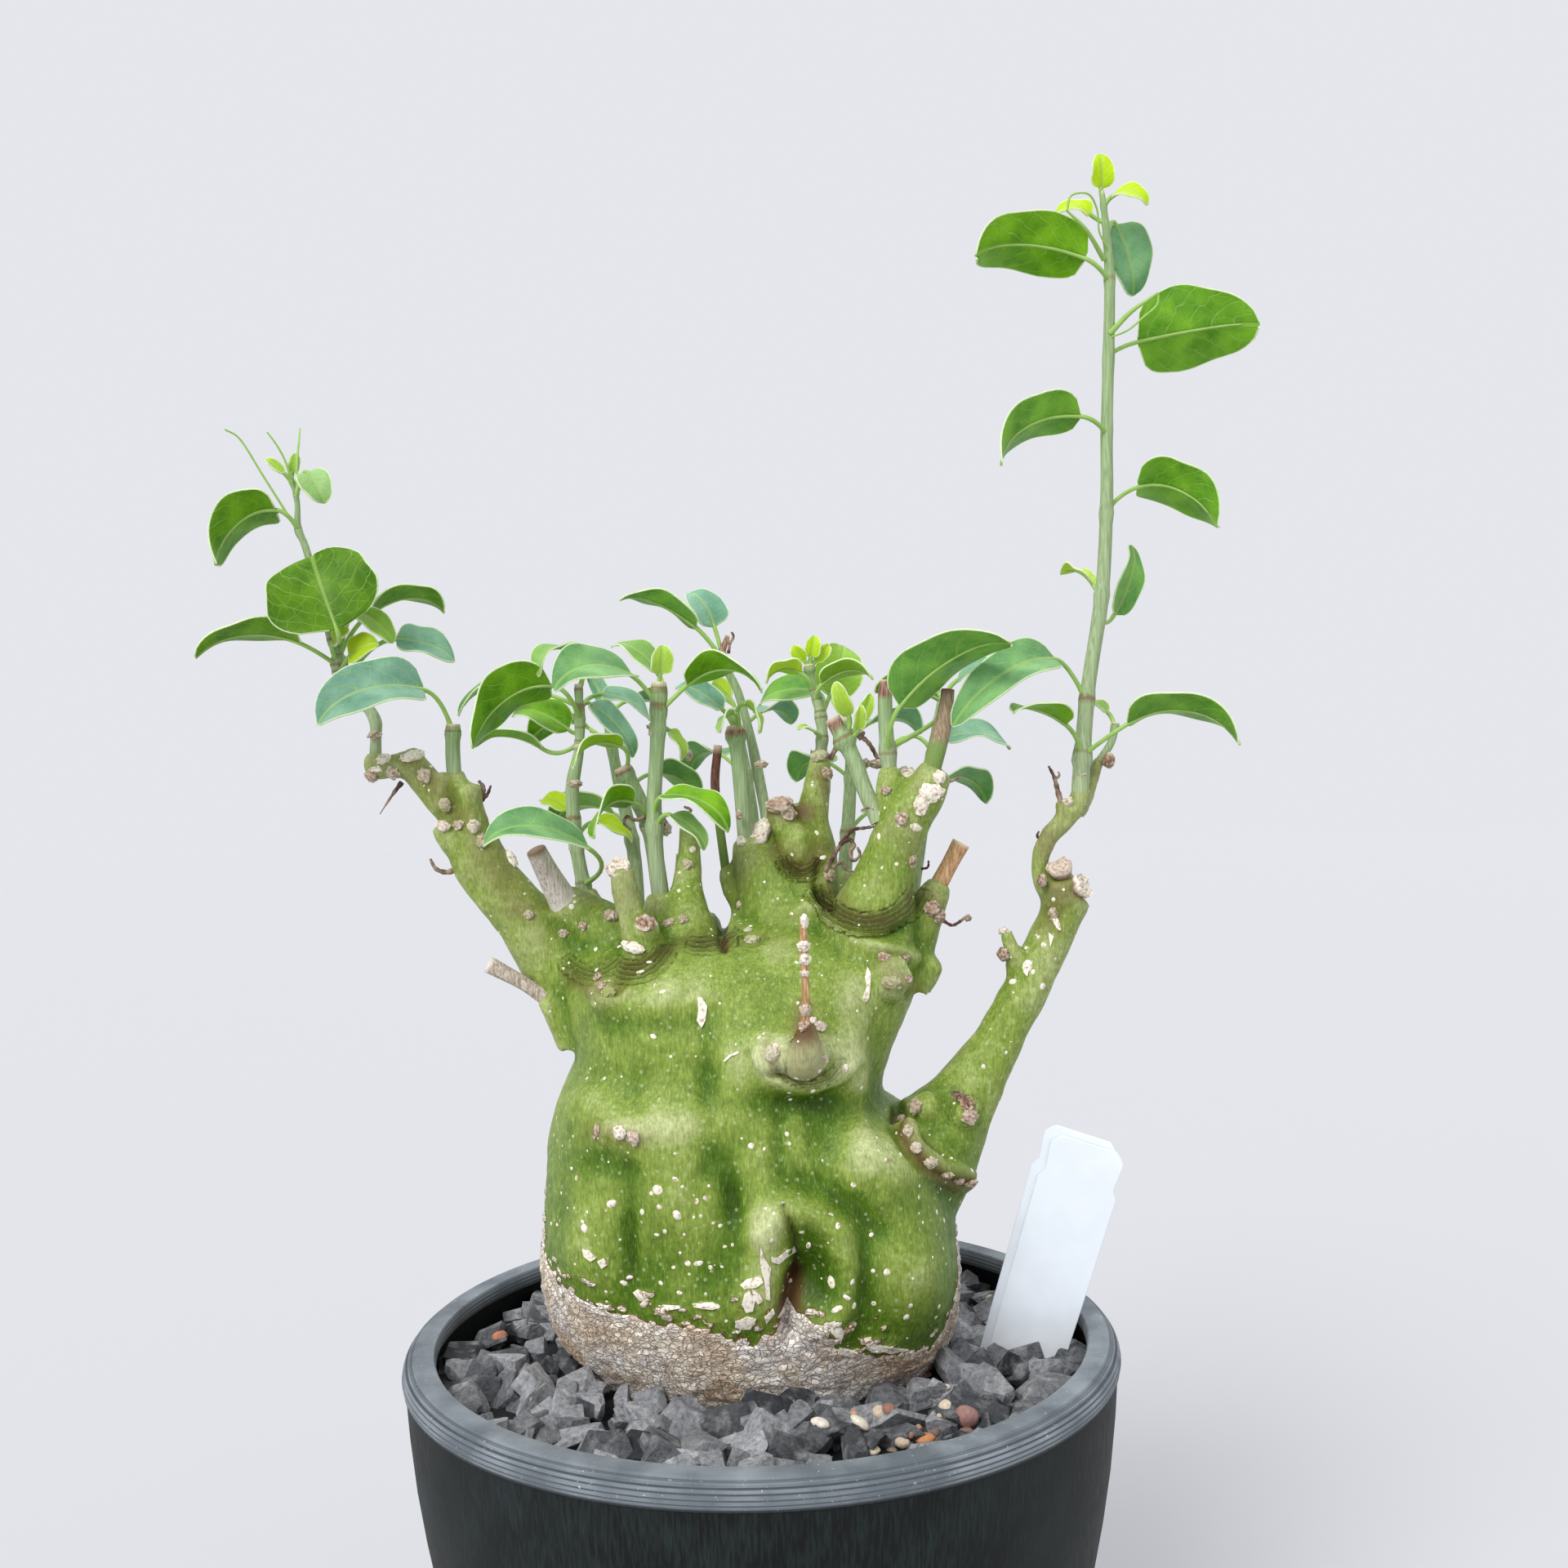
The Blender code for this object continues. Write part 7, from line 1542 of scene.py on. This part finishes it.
        ((22.6, 24.4, 235), (17.6, 30, 239), (10, 42, 235), 10, (-0.2, 0.55, 0.8), 0.2, 0.4),
        ((22.6, 27.2, 244), (28, 30, 248), (41, 37, 246), 9.5, (0.2, 0.45, 0.88), 0.18, 0.9),
        ((22.1, 28.2, 247.8), (21.6, 29.6, 251), (19, 33, 257), 5.4, (0.2, 0.8, 0.5), 0.12, 0.2),
    ]),
    "back_outer_shoot": ([
        (35.2, 6.5, 210, 1.5), (37.4, 8.6, 222, 1.45), (39.6, 12, 235, 1.3), (42.4, 15, 248, 1),
        (43.6, 16, 253.6, 0.8),
    ], [
        ((40.4, 13, 239), (44, 17.6, 243.4), (60, 21, 241.6), 9, (0.1, -0.5, 0.86), 0.14, 1),
        ((39, 10.8, 231), (43.4, 16, 234), (55, 27, 229), 10, (0.2, 0.45, 0.87), 0.2, 0.5),
        ((42.2, 14.8, 247), (47, 15.4, 256.6), (58, 12, 259), 6.5, (0.1, -0.55, 0.83), 0.14, 1),
        ((43.4, 16, 252.8), (42.6, 17, 256.6), (49, 20, 263), 6, (-0.5, 0.6, 0.6), 0.12, 0.3),
        ((40.8, 13.4, 240.6), (36, 16.4, 244), (31, 15, 236.6), 6, (-0.6, -0.2, 0.7), 0.14, 0.5),
    ]),
}

# Half the width of a blade, from base to tip, as shares of its greatest
LEAF_OUTLINE = [
    (0, 0.14), (0.015, 0.4), (0.05, 0.66), (0.11, 0.85), (0.2, 0.96), (0.32, 1), (0.45, 0.98), (0.57, 0.93),
    (0.68, 0.84), (0.79, 0.7), (0.88, 0.54), (0.94, 0.39), (0.98, 0.23), (1, 0.06),
]
LEAF_FOLD = math.tan(math.radians(17.0))
LEAF_THICKNESS = 0.34
LEAF_VEINS = 5.5
YOUNG_LEAF = 9.5
STALK_RADIUS = 0.56


def unit(vector):
    return vector / np.linalg.norm(vector, axis=-1, keepdims=True)


def along_curve(a, b, c, share):
    """Points on the curve that starts at a, is drawn towards b and ends at c."""
    return a * (1 - share) ** 2 + b * 2 * share * (1 - share) + c * share ** 2


def heading(a, b, c, share):
    """Which way that curve runs."""
    return unit(along_curve(a, b, c, share + 0.02) - along_curve(a, b, c, share - 0.02))


def droop(length, share):
    """How far the last third of a blade hangs."""
    return 0.07 * length * np.clip(share - 0.68, 0, 1) ** 2 / 0.1


def nearest_on(route, point):
    """The place on a route nearest to a point, and how far along it is."""
    best = (1e9, None, 0.0)
    gone = 0.0
    for a, b in zip(route[:, :3], route[1:, :3]):
        share = min(max((point - a) @ (b - a) / ((b - a) @ (b - a)), 0.0), 1.0)
        foot = a + (b - a) * share
        span = np.linalg.norm(b - a)
        if np.linalg.norm(foot - point) < best[0]:
            best = (np.linalg.norm(foot - point), foot, gone + span * share)
        gone += span
    return best[1], best[2]


def leaf_curves(spec, route):
    """Root and bend of the stalk, base, crown and tip of the midrib, which way the upper side looks,
    length and width of the blade, and how far along the stem the root is."""
    near, base, tip, width, upper, arch = spec[:6]
    base, tip, upper = np.array(base, float), np.array(tip, float), unit(np.array(upper, float))
    length = np.linalg.norm(tip - base)
    crown = (base + tip) * 0.5 + upper * arch * 2 * length
    root, gone = nearest_on(route, np.array(near, float))
    bend = base - unit(crown - base) * np.linalg.norm(base - root) * 0.4
    return root, bend, base, crown, tip, upper, length, width, gone


def leaf_blade(spec, route, rng):
    """One blade, from a copy of the flat sheet, with its place in the vein pattern at each point."""
    root, bend, base, crown, tip, upper, length, width, gone = leaf_curves(spec, route)
    sheet = laid_copy(leaf_sheet, (0, 0, 0), (1.0, 1.0, 1.0), Matrix.Identity(4))
    phase, waves, ripple = rng.uniform(0, 1), rng.uniform(1.0, 1.7), rng.uniform(0.03, 0.07)
    pattern = np.zeros((len(sheet.data.vertices), 4))
    flat = np.zeros((len(sheet.data.vertices), 2))

    def shape(points):
        across, share = points[:, :1] * MM, (points[:, 1:2] * MM + 1) * 0.5
        centre = along_curve(base, crown, tip, share)
        ahead = heading(base, crown, tip, share)
        up = unit(upper - ahead * (ahead @ upper)[:, None])
        side = np.cross(ahead, up)
        half = np.interp(share, [a for a, _ in LEAF_OUTLINE], [w for _, w in LEAF_OUTLINE]) * width * 0.5
        half = half * (1 + 0.03 * np.sin(math.tau * (share * 2.3 + phase * 3)))
        off = across * half
        rise = LEAF_FOLD * (np.sqrt(off ** 2 + 0.36) - 0.6)
        rise = rise + ripple * width * across ** 2 * np.sin(math.tau * (waves * share + phase) + across * 0.8)
        rise = rise - droop(length, share)
        lean = share - 0.26 * np.abs(across) - 0.08 * across ** 2
        pattern[:, 0] = (lean * LEAF_VEINS + 0.25 * np.sign(across) + phase + 2)[:, 0]
        pattern[:, 1] = np.abs(off)[:, 0]
        pattern[:, 2] = 1.0 if length < YOUNG_LEAF else 0.35 * (length < 14.0)
        pattern[:, 3] = ((1 - np.abs(across)) * half)[:, 0]
        flat[:, 0], flat[:, 1] = (share * length * MM)[:, 0], (off * MM)[:, 0]
        return centre + side * off + up * rise

    move_points(sheet, shape)
    store(sheet, "veins", pattern)
    bloom, shade = min(max(spec[6], 0), 1), max(-spec[6], spec[6] - 1, 0)
    store(sheet, "bloom_and_painted_shade", (bloom, shade, rng.uniform(0.0, 1.0), 1.0))
    corners = np.empty(len(sheet.data.loops), np.int64)
    sheet.data.loops.foreach_get("vertex_index", corners)
    sheet.data.uv_layers[0].data.foreach_set("uv", flat[corners].ravel())
    apply_modifier(sheet, "SOLIDIFY", thickness=LEAF_THICKNESS * MM, offset=0.0, material_offset=1,
                   material_offset_rim=2)
    return sheet


def leaf_stalk(spec, route):
    """The stalk from the stem to the blade, and on under the blade as its midrib."""
    root, bend, base, crown, tip, upper, length, width, gone = leaf_curves(spec, route)
    stops = []
    for share in np.linspace(0, 1, 9):
        centre = along_curve(root, bend, base, share)
        stops.append((*centre, STALK_RADIUS * (1.25 - 0.35 * min(share * 4, 1.0))))
    for share in np.linspace(0.08, 0.86, 9):
        ahead = heading(base, crown, tip, share)
        up = unit(upper - ahead * (ahead @ upper))
        centre = along_curve(base, crown, tip, share) - up * (0.12 + droop(length, share))
        stops.append((*centre, min(0.42, width * 0.05) * (1.0 - share * 0.75)))
    return stops


def stem_tube(name, stem, marks, dry_tip=0.0, roundness=4):
    """A stem with a swollen brown ring at each mark, a distance along it, and dried up at its tip."""
    stem = np.array(stem, float)
    foot = stem[0].copy()
    foot[:3] -= unit(stem[1, :3] - stem[0, :3]) * 3.0
    route = fine_route(np.vstack([foot, stem]), 8)
    gone = np.concatenate([[0], np.cumsum(np.linalg.norm(np.diff(route[:, :3], axis=0), axis=1))])
    for mark in marks:
        route[:, 3] += 0.2 * route[:, 3] * np.exp(-((gone - mark) / 1.1) ** 2)
    obj = grown_tubes(name, [route], roundness)
    points, normals, edges = mesh_arrays(obj)
    values = np.zeros((len(points), 4))
    for index, point in enumerate(points):
        place, far = nearest_on(route, point)
        ring = max([math.exp(-((far - mark - 0.6) / 0.4) ** 2) for mark in marks] or [0.0])
        dry = min(max((far - gone[-1] + dry_tip) / 0.9, 0.0), 1.0) if dry_tip else 0.0
        values[index] = (ring, far / gone[-1], dry, min(max((far - gone[-1] + 0.5) / 0.3, 0.0), 1.0))
    store(obj, "growth", values)
    return obj


# Green tendrils and the stubs of side shoots that carry them: radius at both ends and stops
TENDRILS = {
    "left_shoot": [
        (0.3, 0.2, [(-97.3, 3, 292), (-98.5, 3, 293.5), (-104.4, 2, 303.6), (-108.4, 0, 311),
                    (-111, -2, 312.8)]),
        (0.3, 0.18, [(-98.4, 3, 302), (-99.5, 2, 306.7), (-101, 1, 310), (-102.6, 0, 312.5)]),
        (0.3, 0.18, [(-97.6, 3, 300), (-97.4, 4, 308), (-97.6, 6, 312), (-98, 8, 315)]),
    ],
    "tall_right_shoot": [
        (0.75, 0.3, [(79.6, -0.8, 329.4), (84, -3, 333.5), (89.2, -5, 336.6)]),
        (0.28, 0.2, [(89.2, -5, 336.6), (89, -4.6, 334.2), (86.4, -4, 332), (83, -3, 329.4),
                     (79.8, -1, 328.6)]),
        (0.6, 0.25, [(78.8, -0.5, 345.5), (74, -6, 350), (69.6, -8, 353.4)]),
        (0.25, 0.2, [(69.6, -8, 353.4), (70.6, -8, 356.6), (74.4, -7, 357.2), (76.6, -5, 354.6),
                     (77.4, -3, 350.6), (79.2, -1.5, 348)]),
    ],
}
deselect()
bpy.ops.mesh.primitive_grid_add(x_subdivisions=10, y_subdivisions=22, size=2.0)
leaf_sheet = bpy.context.object

# Leaf: living green with a waxy bloom above, which turns it bluish and dull, and the veins show pale
# through it. The net of veins has 2.4 mm meshes and the tints drift over 7 mm. Each side has its
# tints when deep, light and young, that of its veins, and its roughness.
LEAF_SIDES = {"waxy_leaf_top": ("4C8200", "76AA10", "A6C864", "B6D414", 0.45),
              "leaf_underside": ("4E8400", "78AC12", "ACCE66", "BEDA1C", 0.5)}
leaf_finish = []
for name, (deep, light, vein, young, rough) in LEAF_SIDES.items():
    made = new_material(name, Roughness=rough, IOR=1.42, Specular_IOR_Level=0.25, Subsurface_Weight=0.3,
                        Subsurface_Radius=(0.8, 1.0, 0.25), Subsurface_Scale=0.0012)
    veins, margin = add_node("Attribute", {}, "Color", "Alpha", attribute_name="veins")
    order, off_rib, youth = add_node("SeparateColor", {0: veins}, 0, 1, 2)
    place = add_node("UVMap", {}, uv_map="UVMap")
    wander = add_node("TexNoise", {"Vector": place, "Scale": 260.0, "Detail": 2.0})
    order = add_node("Math", {0: wander, 1: 0.7, 2: order}, operation="MULTIPLY_ADD")
    order = add_node("Math", {0: order}, operation="FRACT")
    order = add_node("Math", {0: order, 1: 0.5}, operation="SUBTRACT")
    order = add_node("Math", {0: order}, operation="ABSOLUTE")
    side = add_node("MapRange", {"Value": order, "From Min": 0.05, "From Max": 0.012})
    rib = add_node("MapRange", {"Value": off_rib, "From Min": 0.6, "From Max": 0.3})
    net = add_node("TexVoronoi", {"Vector": place, "Scale": 420.0}, feature="DISTANCE_TO_EDGE")
    net = add_node("MapRange", {"Value": net, "From Min": 0.06, "From Max": 0.0, "To Max": 0.3})
    line = add_node("Math", {0: side, 1: net}, operation="MAXIMUM")
    line = add_node("Math", {0: line, 1: rib}, operation="MAXIMUM")
    spread = add_node("TexNoise", {"Vector": place, "Scale": 150.0, "Detail": 4.0})
    spread = add_node("MapRange", {"Value": spread, "From Min": 0.35, "From Max": 0.65})
    colour = add_node("Mix", {0: spread, 6: deep, 7: light}, 2, data_type="RGBA")
    colour = add_node("Mix", {0: youth, 6: colour, 7: young}, 2, data_type="RGBA")
    bloom_and_painted_shade = add_node("Attribute", {}, "Color", attribute_name="bloom_and_painted_shade")
    bloom, shade = add_node("SeparateColor", {0: bloom_and_painted_shade}, 0, 1)
    waxed = add_node("Mix", {0: spread, 6: "5E8F78", 7: "86B096"}, 2, data_type="RGBA")
    colour = add_node("Mix", {0: bloom, 6: colour, 7: waxed}, 2, data_type="RGBA")
    # Painted shade: a shaded leaf's colour is darkened by up to half.
    shade = add_node("MapRange", {"Value": shade, "To Min": 1.0, "To Max": 0.5})
    colour = add_node("VectorMath", {0: colour, "Scale": shade}, operation="SCALE")
    faint = add_node("Math", {0: line, 1: 0.38}, operation="MULTIPLY")
    colour = add_node("Mix", {0: faint, 6: colour, 7: vein}, 2, data_type="RGBA")
    edge = add_node("MapRange", {"Value": margin, "From Min": 0.3, "From Max": 0.1, "To Max": 0.9})
    colour = add_node("Mix", {0: edge, 6: colour, 7: "D3E2B8"}, 2, data_type="RGBA")
    bump = add_node("Bump", {"Height": line, "Strength": 0.5, "Distance": 0.0003},
                    invert=name == "waxy_leaf_top")
    to_shader(Base_Color=colour, Normal=bump)
    leaf_finish.append(made)
made = new_material("pale_leaf_margin", Base_Color=linear("D6E4BE"), Roughness=0.5)
leaf_finish.append(made)

# Young bark of the stems: ridges 0.4 mm apart along it under a grey wax, and a corky brown ring at
# each leaf. A stem that has died back is dry and brown at its tip, and a cut one shows its pith.
made = new_material("waxy_young_bark", Roughness=0.55, IOR=1.42, Specular_IOR_Level=0.35)
place = add_node("TexCoord", {}, "Object")
growth, cut = add_node("Attribute", {}, "Color", "Alpha", attribute_name="growth")
ring, upward, dried = add_node("SeparateColor", {0: growth}, 0, 1, 2)
stretched = add_node("Mapping", {"Vector": place, "Scale": (2600.0, 2600.0, 130.0)})
ridges = add_node("TexNoise", {"Vector": stretched, "Scale": 1.0, "Detail": 3.0})
spots = add_node("TexNoise", {"Vector": place, "Scale": 700.0, "Detail": 3.0})
fine = add_node("MapRange", {"Value": ridges, "From Min": 0.36, "From Max": 0.64})
old = add_node("Mix", {0: fine, 6: "8A9B74", 7: "AAB890"}, 2, data_type="RGBA")
new = add_node("Mix", {0: fine, 6: "7C9862", 7: "98B07C"}, 2, data_type="RGBA")
colour = add_node("Mix", {0: upward, 6: old, 7: new}, 2, data_type="RGBA")
brown = add_node("Math", {0: spots, 1: 0.8, 2: -0.4}, operation="MULTIPLY_ADD")
brown = add_node("Math", {0: brown, 1: ring}, operation="ADD")
brown = add_node("MapRange", {"Value": brown, "From Min": 0.45, "From Max": 0.9, "To Max": 0.75})
colour = add_node("Mix", {0: brown, 6: colour, 7: "7A5A3C"}, 2, data_type="RGBA")
husk = add_node("Mix", {0: fine, 6: "6B4036", 7: "B08C78"}, 2, data_type="RGBA")
colour = add_node("Mix", {0: dried, 6: colour, 7: husk}, 2, data_type="RGBA")
pith = add_node("Mix", {0: spots, 6: "C9B48E", 7: "EDE3CC"}, 2, data_type="RGBA")
colour = add_node("Mix", {0: cut, 6: colour, 7: pith}, 2, data_type="RGBA")
bump = add_node("Bump", {"Height": ridges, "Strength": 0.5, "Distance": 0.0003})
to_shader(Base_Color=colour, Normal=bump)
young_bark = made

# Leaf stalks: soft and juicy, a clear yellow-green with a low gloss, in 2 mm spots.
made = new_material("soft_leaf_stalk", Roughness=0.4, IOR=1.42, Subsurface_Weight=0.2,
                    Subsurface_Radius=(0.8, 1.0, 0.25), Subsurface_Scale=0.001)
place = add_node("TexCoord", {}, "Object")
spots = add_node("TexNoise", {"Vector": place, "Scale": 500.0, "Detail": 3.0})
colour = add_node("Mix", {0: spots, 6: "7FAA45", 7: "A9C973"}, 2, data_type="RGBA")
to_shader(Base_Color=colour)
leaf_stalk_finish = made

# Weathered wood: dead, dry and barkless, with long cracks. Each dead stem has its own tints: in the
# cracks, on the face, at the foot, at the tip, and the share of it that the foot's tint takes.
DEAD_TINTS = {
    "dead_twig_left": ("8F7B66", "DDD2C2", "7C6A52", "F0E8DA", 0.08),
    "dead_twig_front": ("8A5526", "DDBB88", "8E4030", "F4EEE4", 0.16),
    "dead_stub_grey": ("B29E86", "F4EEE3", "F0EADD", "B49A80", 0.2),
    "dead_stub_right": ("B07A4E", "EFC899", "A06F60", "F6E4C4", 0.16),
    "crown_brown_stub": ("4E2A20", "8E5F4B", "6E8A3E", "DCC0AA", 0.48),
    "crown_right_stub": ("76614A", "BBA287", "7E9850", "8A5B50", 0.42),
}
dead_finish = {}
for name, (dark, light, foot, tip, foot_end) in DEAD_TINTS.items():
    made = new_material("weathered_" + name, Roughness=0.9)
    place = add_node("TexCoord", {}, "Object")
    growth = add_node("Attribute", {}, "Color", attribute_name="growth")
    along = add_node("SeparateColor", {0: growth}, 1)
    stretched = add_node("Mapping", {"Vector": place, "Scale": (2400.0, 2400.0, 300.0)})
    cracks = add_node("TexNoise", {"Vector": stretched, "Scale": 1.0, "Detail": 5.0, "Roughness": 0.7})
    fine = add_node("MapRange", {"Value": cracks, "From Min": 0.35, "From Max": 0.62})
    colour = add_node("Mix", {0: fine, 6: dark, 7: light}, 2, data_type="RGBA")
    edge = add_node("Math", {0: cracks, 1: 0.3, 2: along}, operation="MULTIPLY_ADD")
    edge = add_node("MapRange", {"Value": edge, "From Min": foot_end + 0.1, "From Max": foot_end + 0.22})
    colour = add_node("Mix", {0: edge, 6: foot, 7: colour}, 2, data_type="RGBA")
    end = add_node("MapRange", {"Value": along, "From Min": 0.93, "From Max": 0.99})
    colour = add_node("Mix", {0: end, 6: colour, 7: tip}, 2, data_type="RGBA")
    bump = add_node("Bump", {"Height": cracks, "Strength": 0.9, "Distance": 0.0005})
    to_shader(Base_Color=colour, Normal=bump)
    dead_finish[name] = made

# How far some stems have dried up from the tip
DRY_TIPS = {"crown_leaning_stub": 3.0, "crown_middle_stub": 2.6, "crown_upright_stub": 4.2,
            "crown_left_stub": 1.4, "left_stub_shoot": 1.0, "crown_middle_shoot": 4.5, "crown_cut_shoot": 0.7}
rng = random.Random(5)
for name, (stops, leaves) in SHOOTS.items():
    route = np.array(stops, float)
    marks = [leaf_curves(leaf, fine_route(route, 8))[8] + 3.0 for leaf in leaves]
    stem = stem_tube(name + "_stem", stops, marks, DRY_TIPS.get(name, 0.0))
    if not leaves:
        hand_over(stem, dead_finish[name], "dead_wood", name)
        continue
    stem.data.materials.append(young_bark)
    routes = [leaf_stalk(leaf, route) for leaf in leaves]
    for thick, thin, stops in TENDRILS.get(name, []):
        tendril = fine_route([(*stop, 0.0) for stop in stops], 5)
        tendril[:, 3] = np.linspace(thick, thin, len(tendril))
        routes.append(tendril)
    stalks = grown_tubes("stalks", routes, 2)
    stalks.data.materials.append(leaf_stalk_finish)
    blades = [leaf_blade(leaf, route, rng) for leaf in leaves]
    for blade in blades:
        blade.data.materials.clear()
        for finish in leaf_finish:
            blade.data.materials.append(finish)
    shoot = join_pieces(name, [stem, stalks] + blades)
    bpy.ops.object.shade_smooth_by_angle(angle=math.radians(50))
    hand_over(shoot, None, "shoot", name)
bpy.data.objects.remove(leaf_sheet)
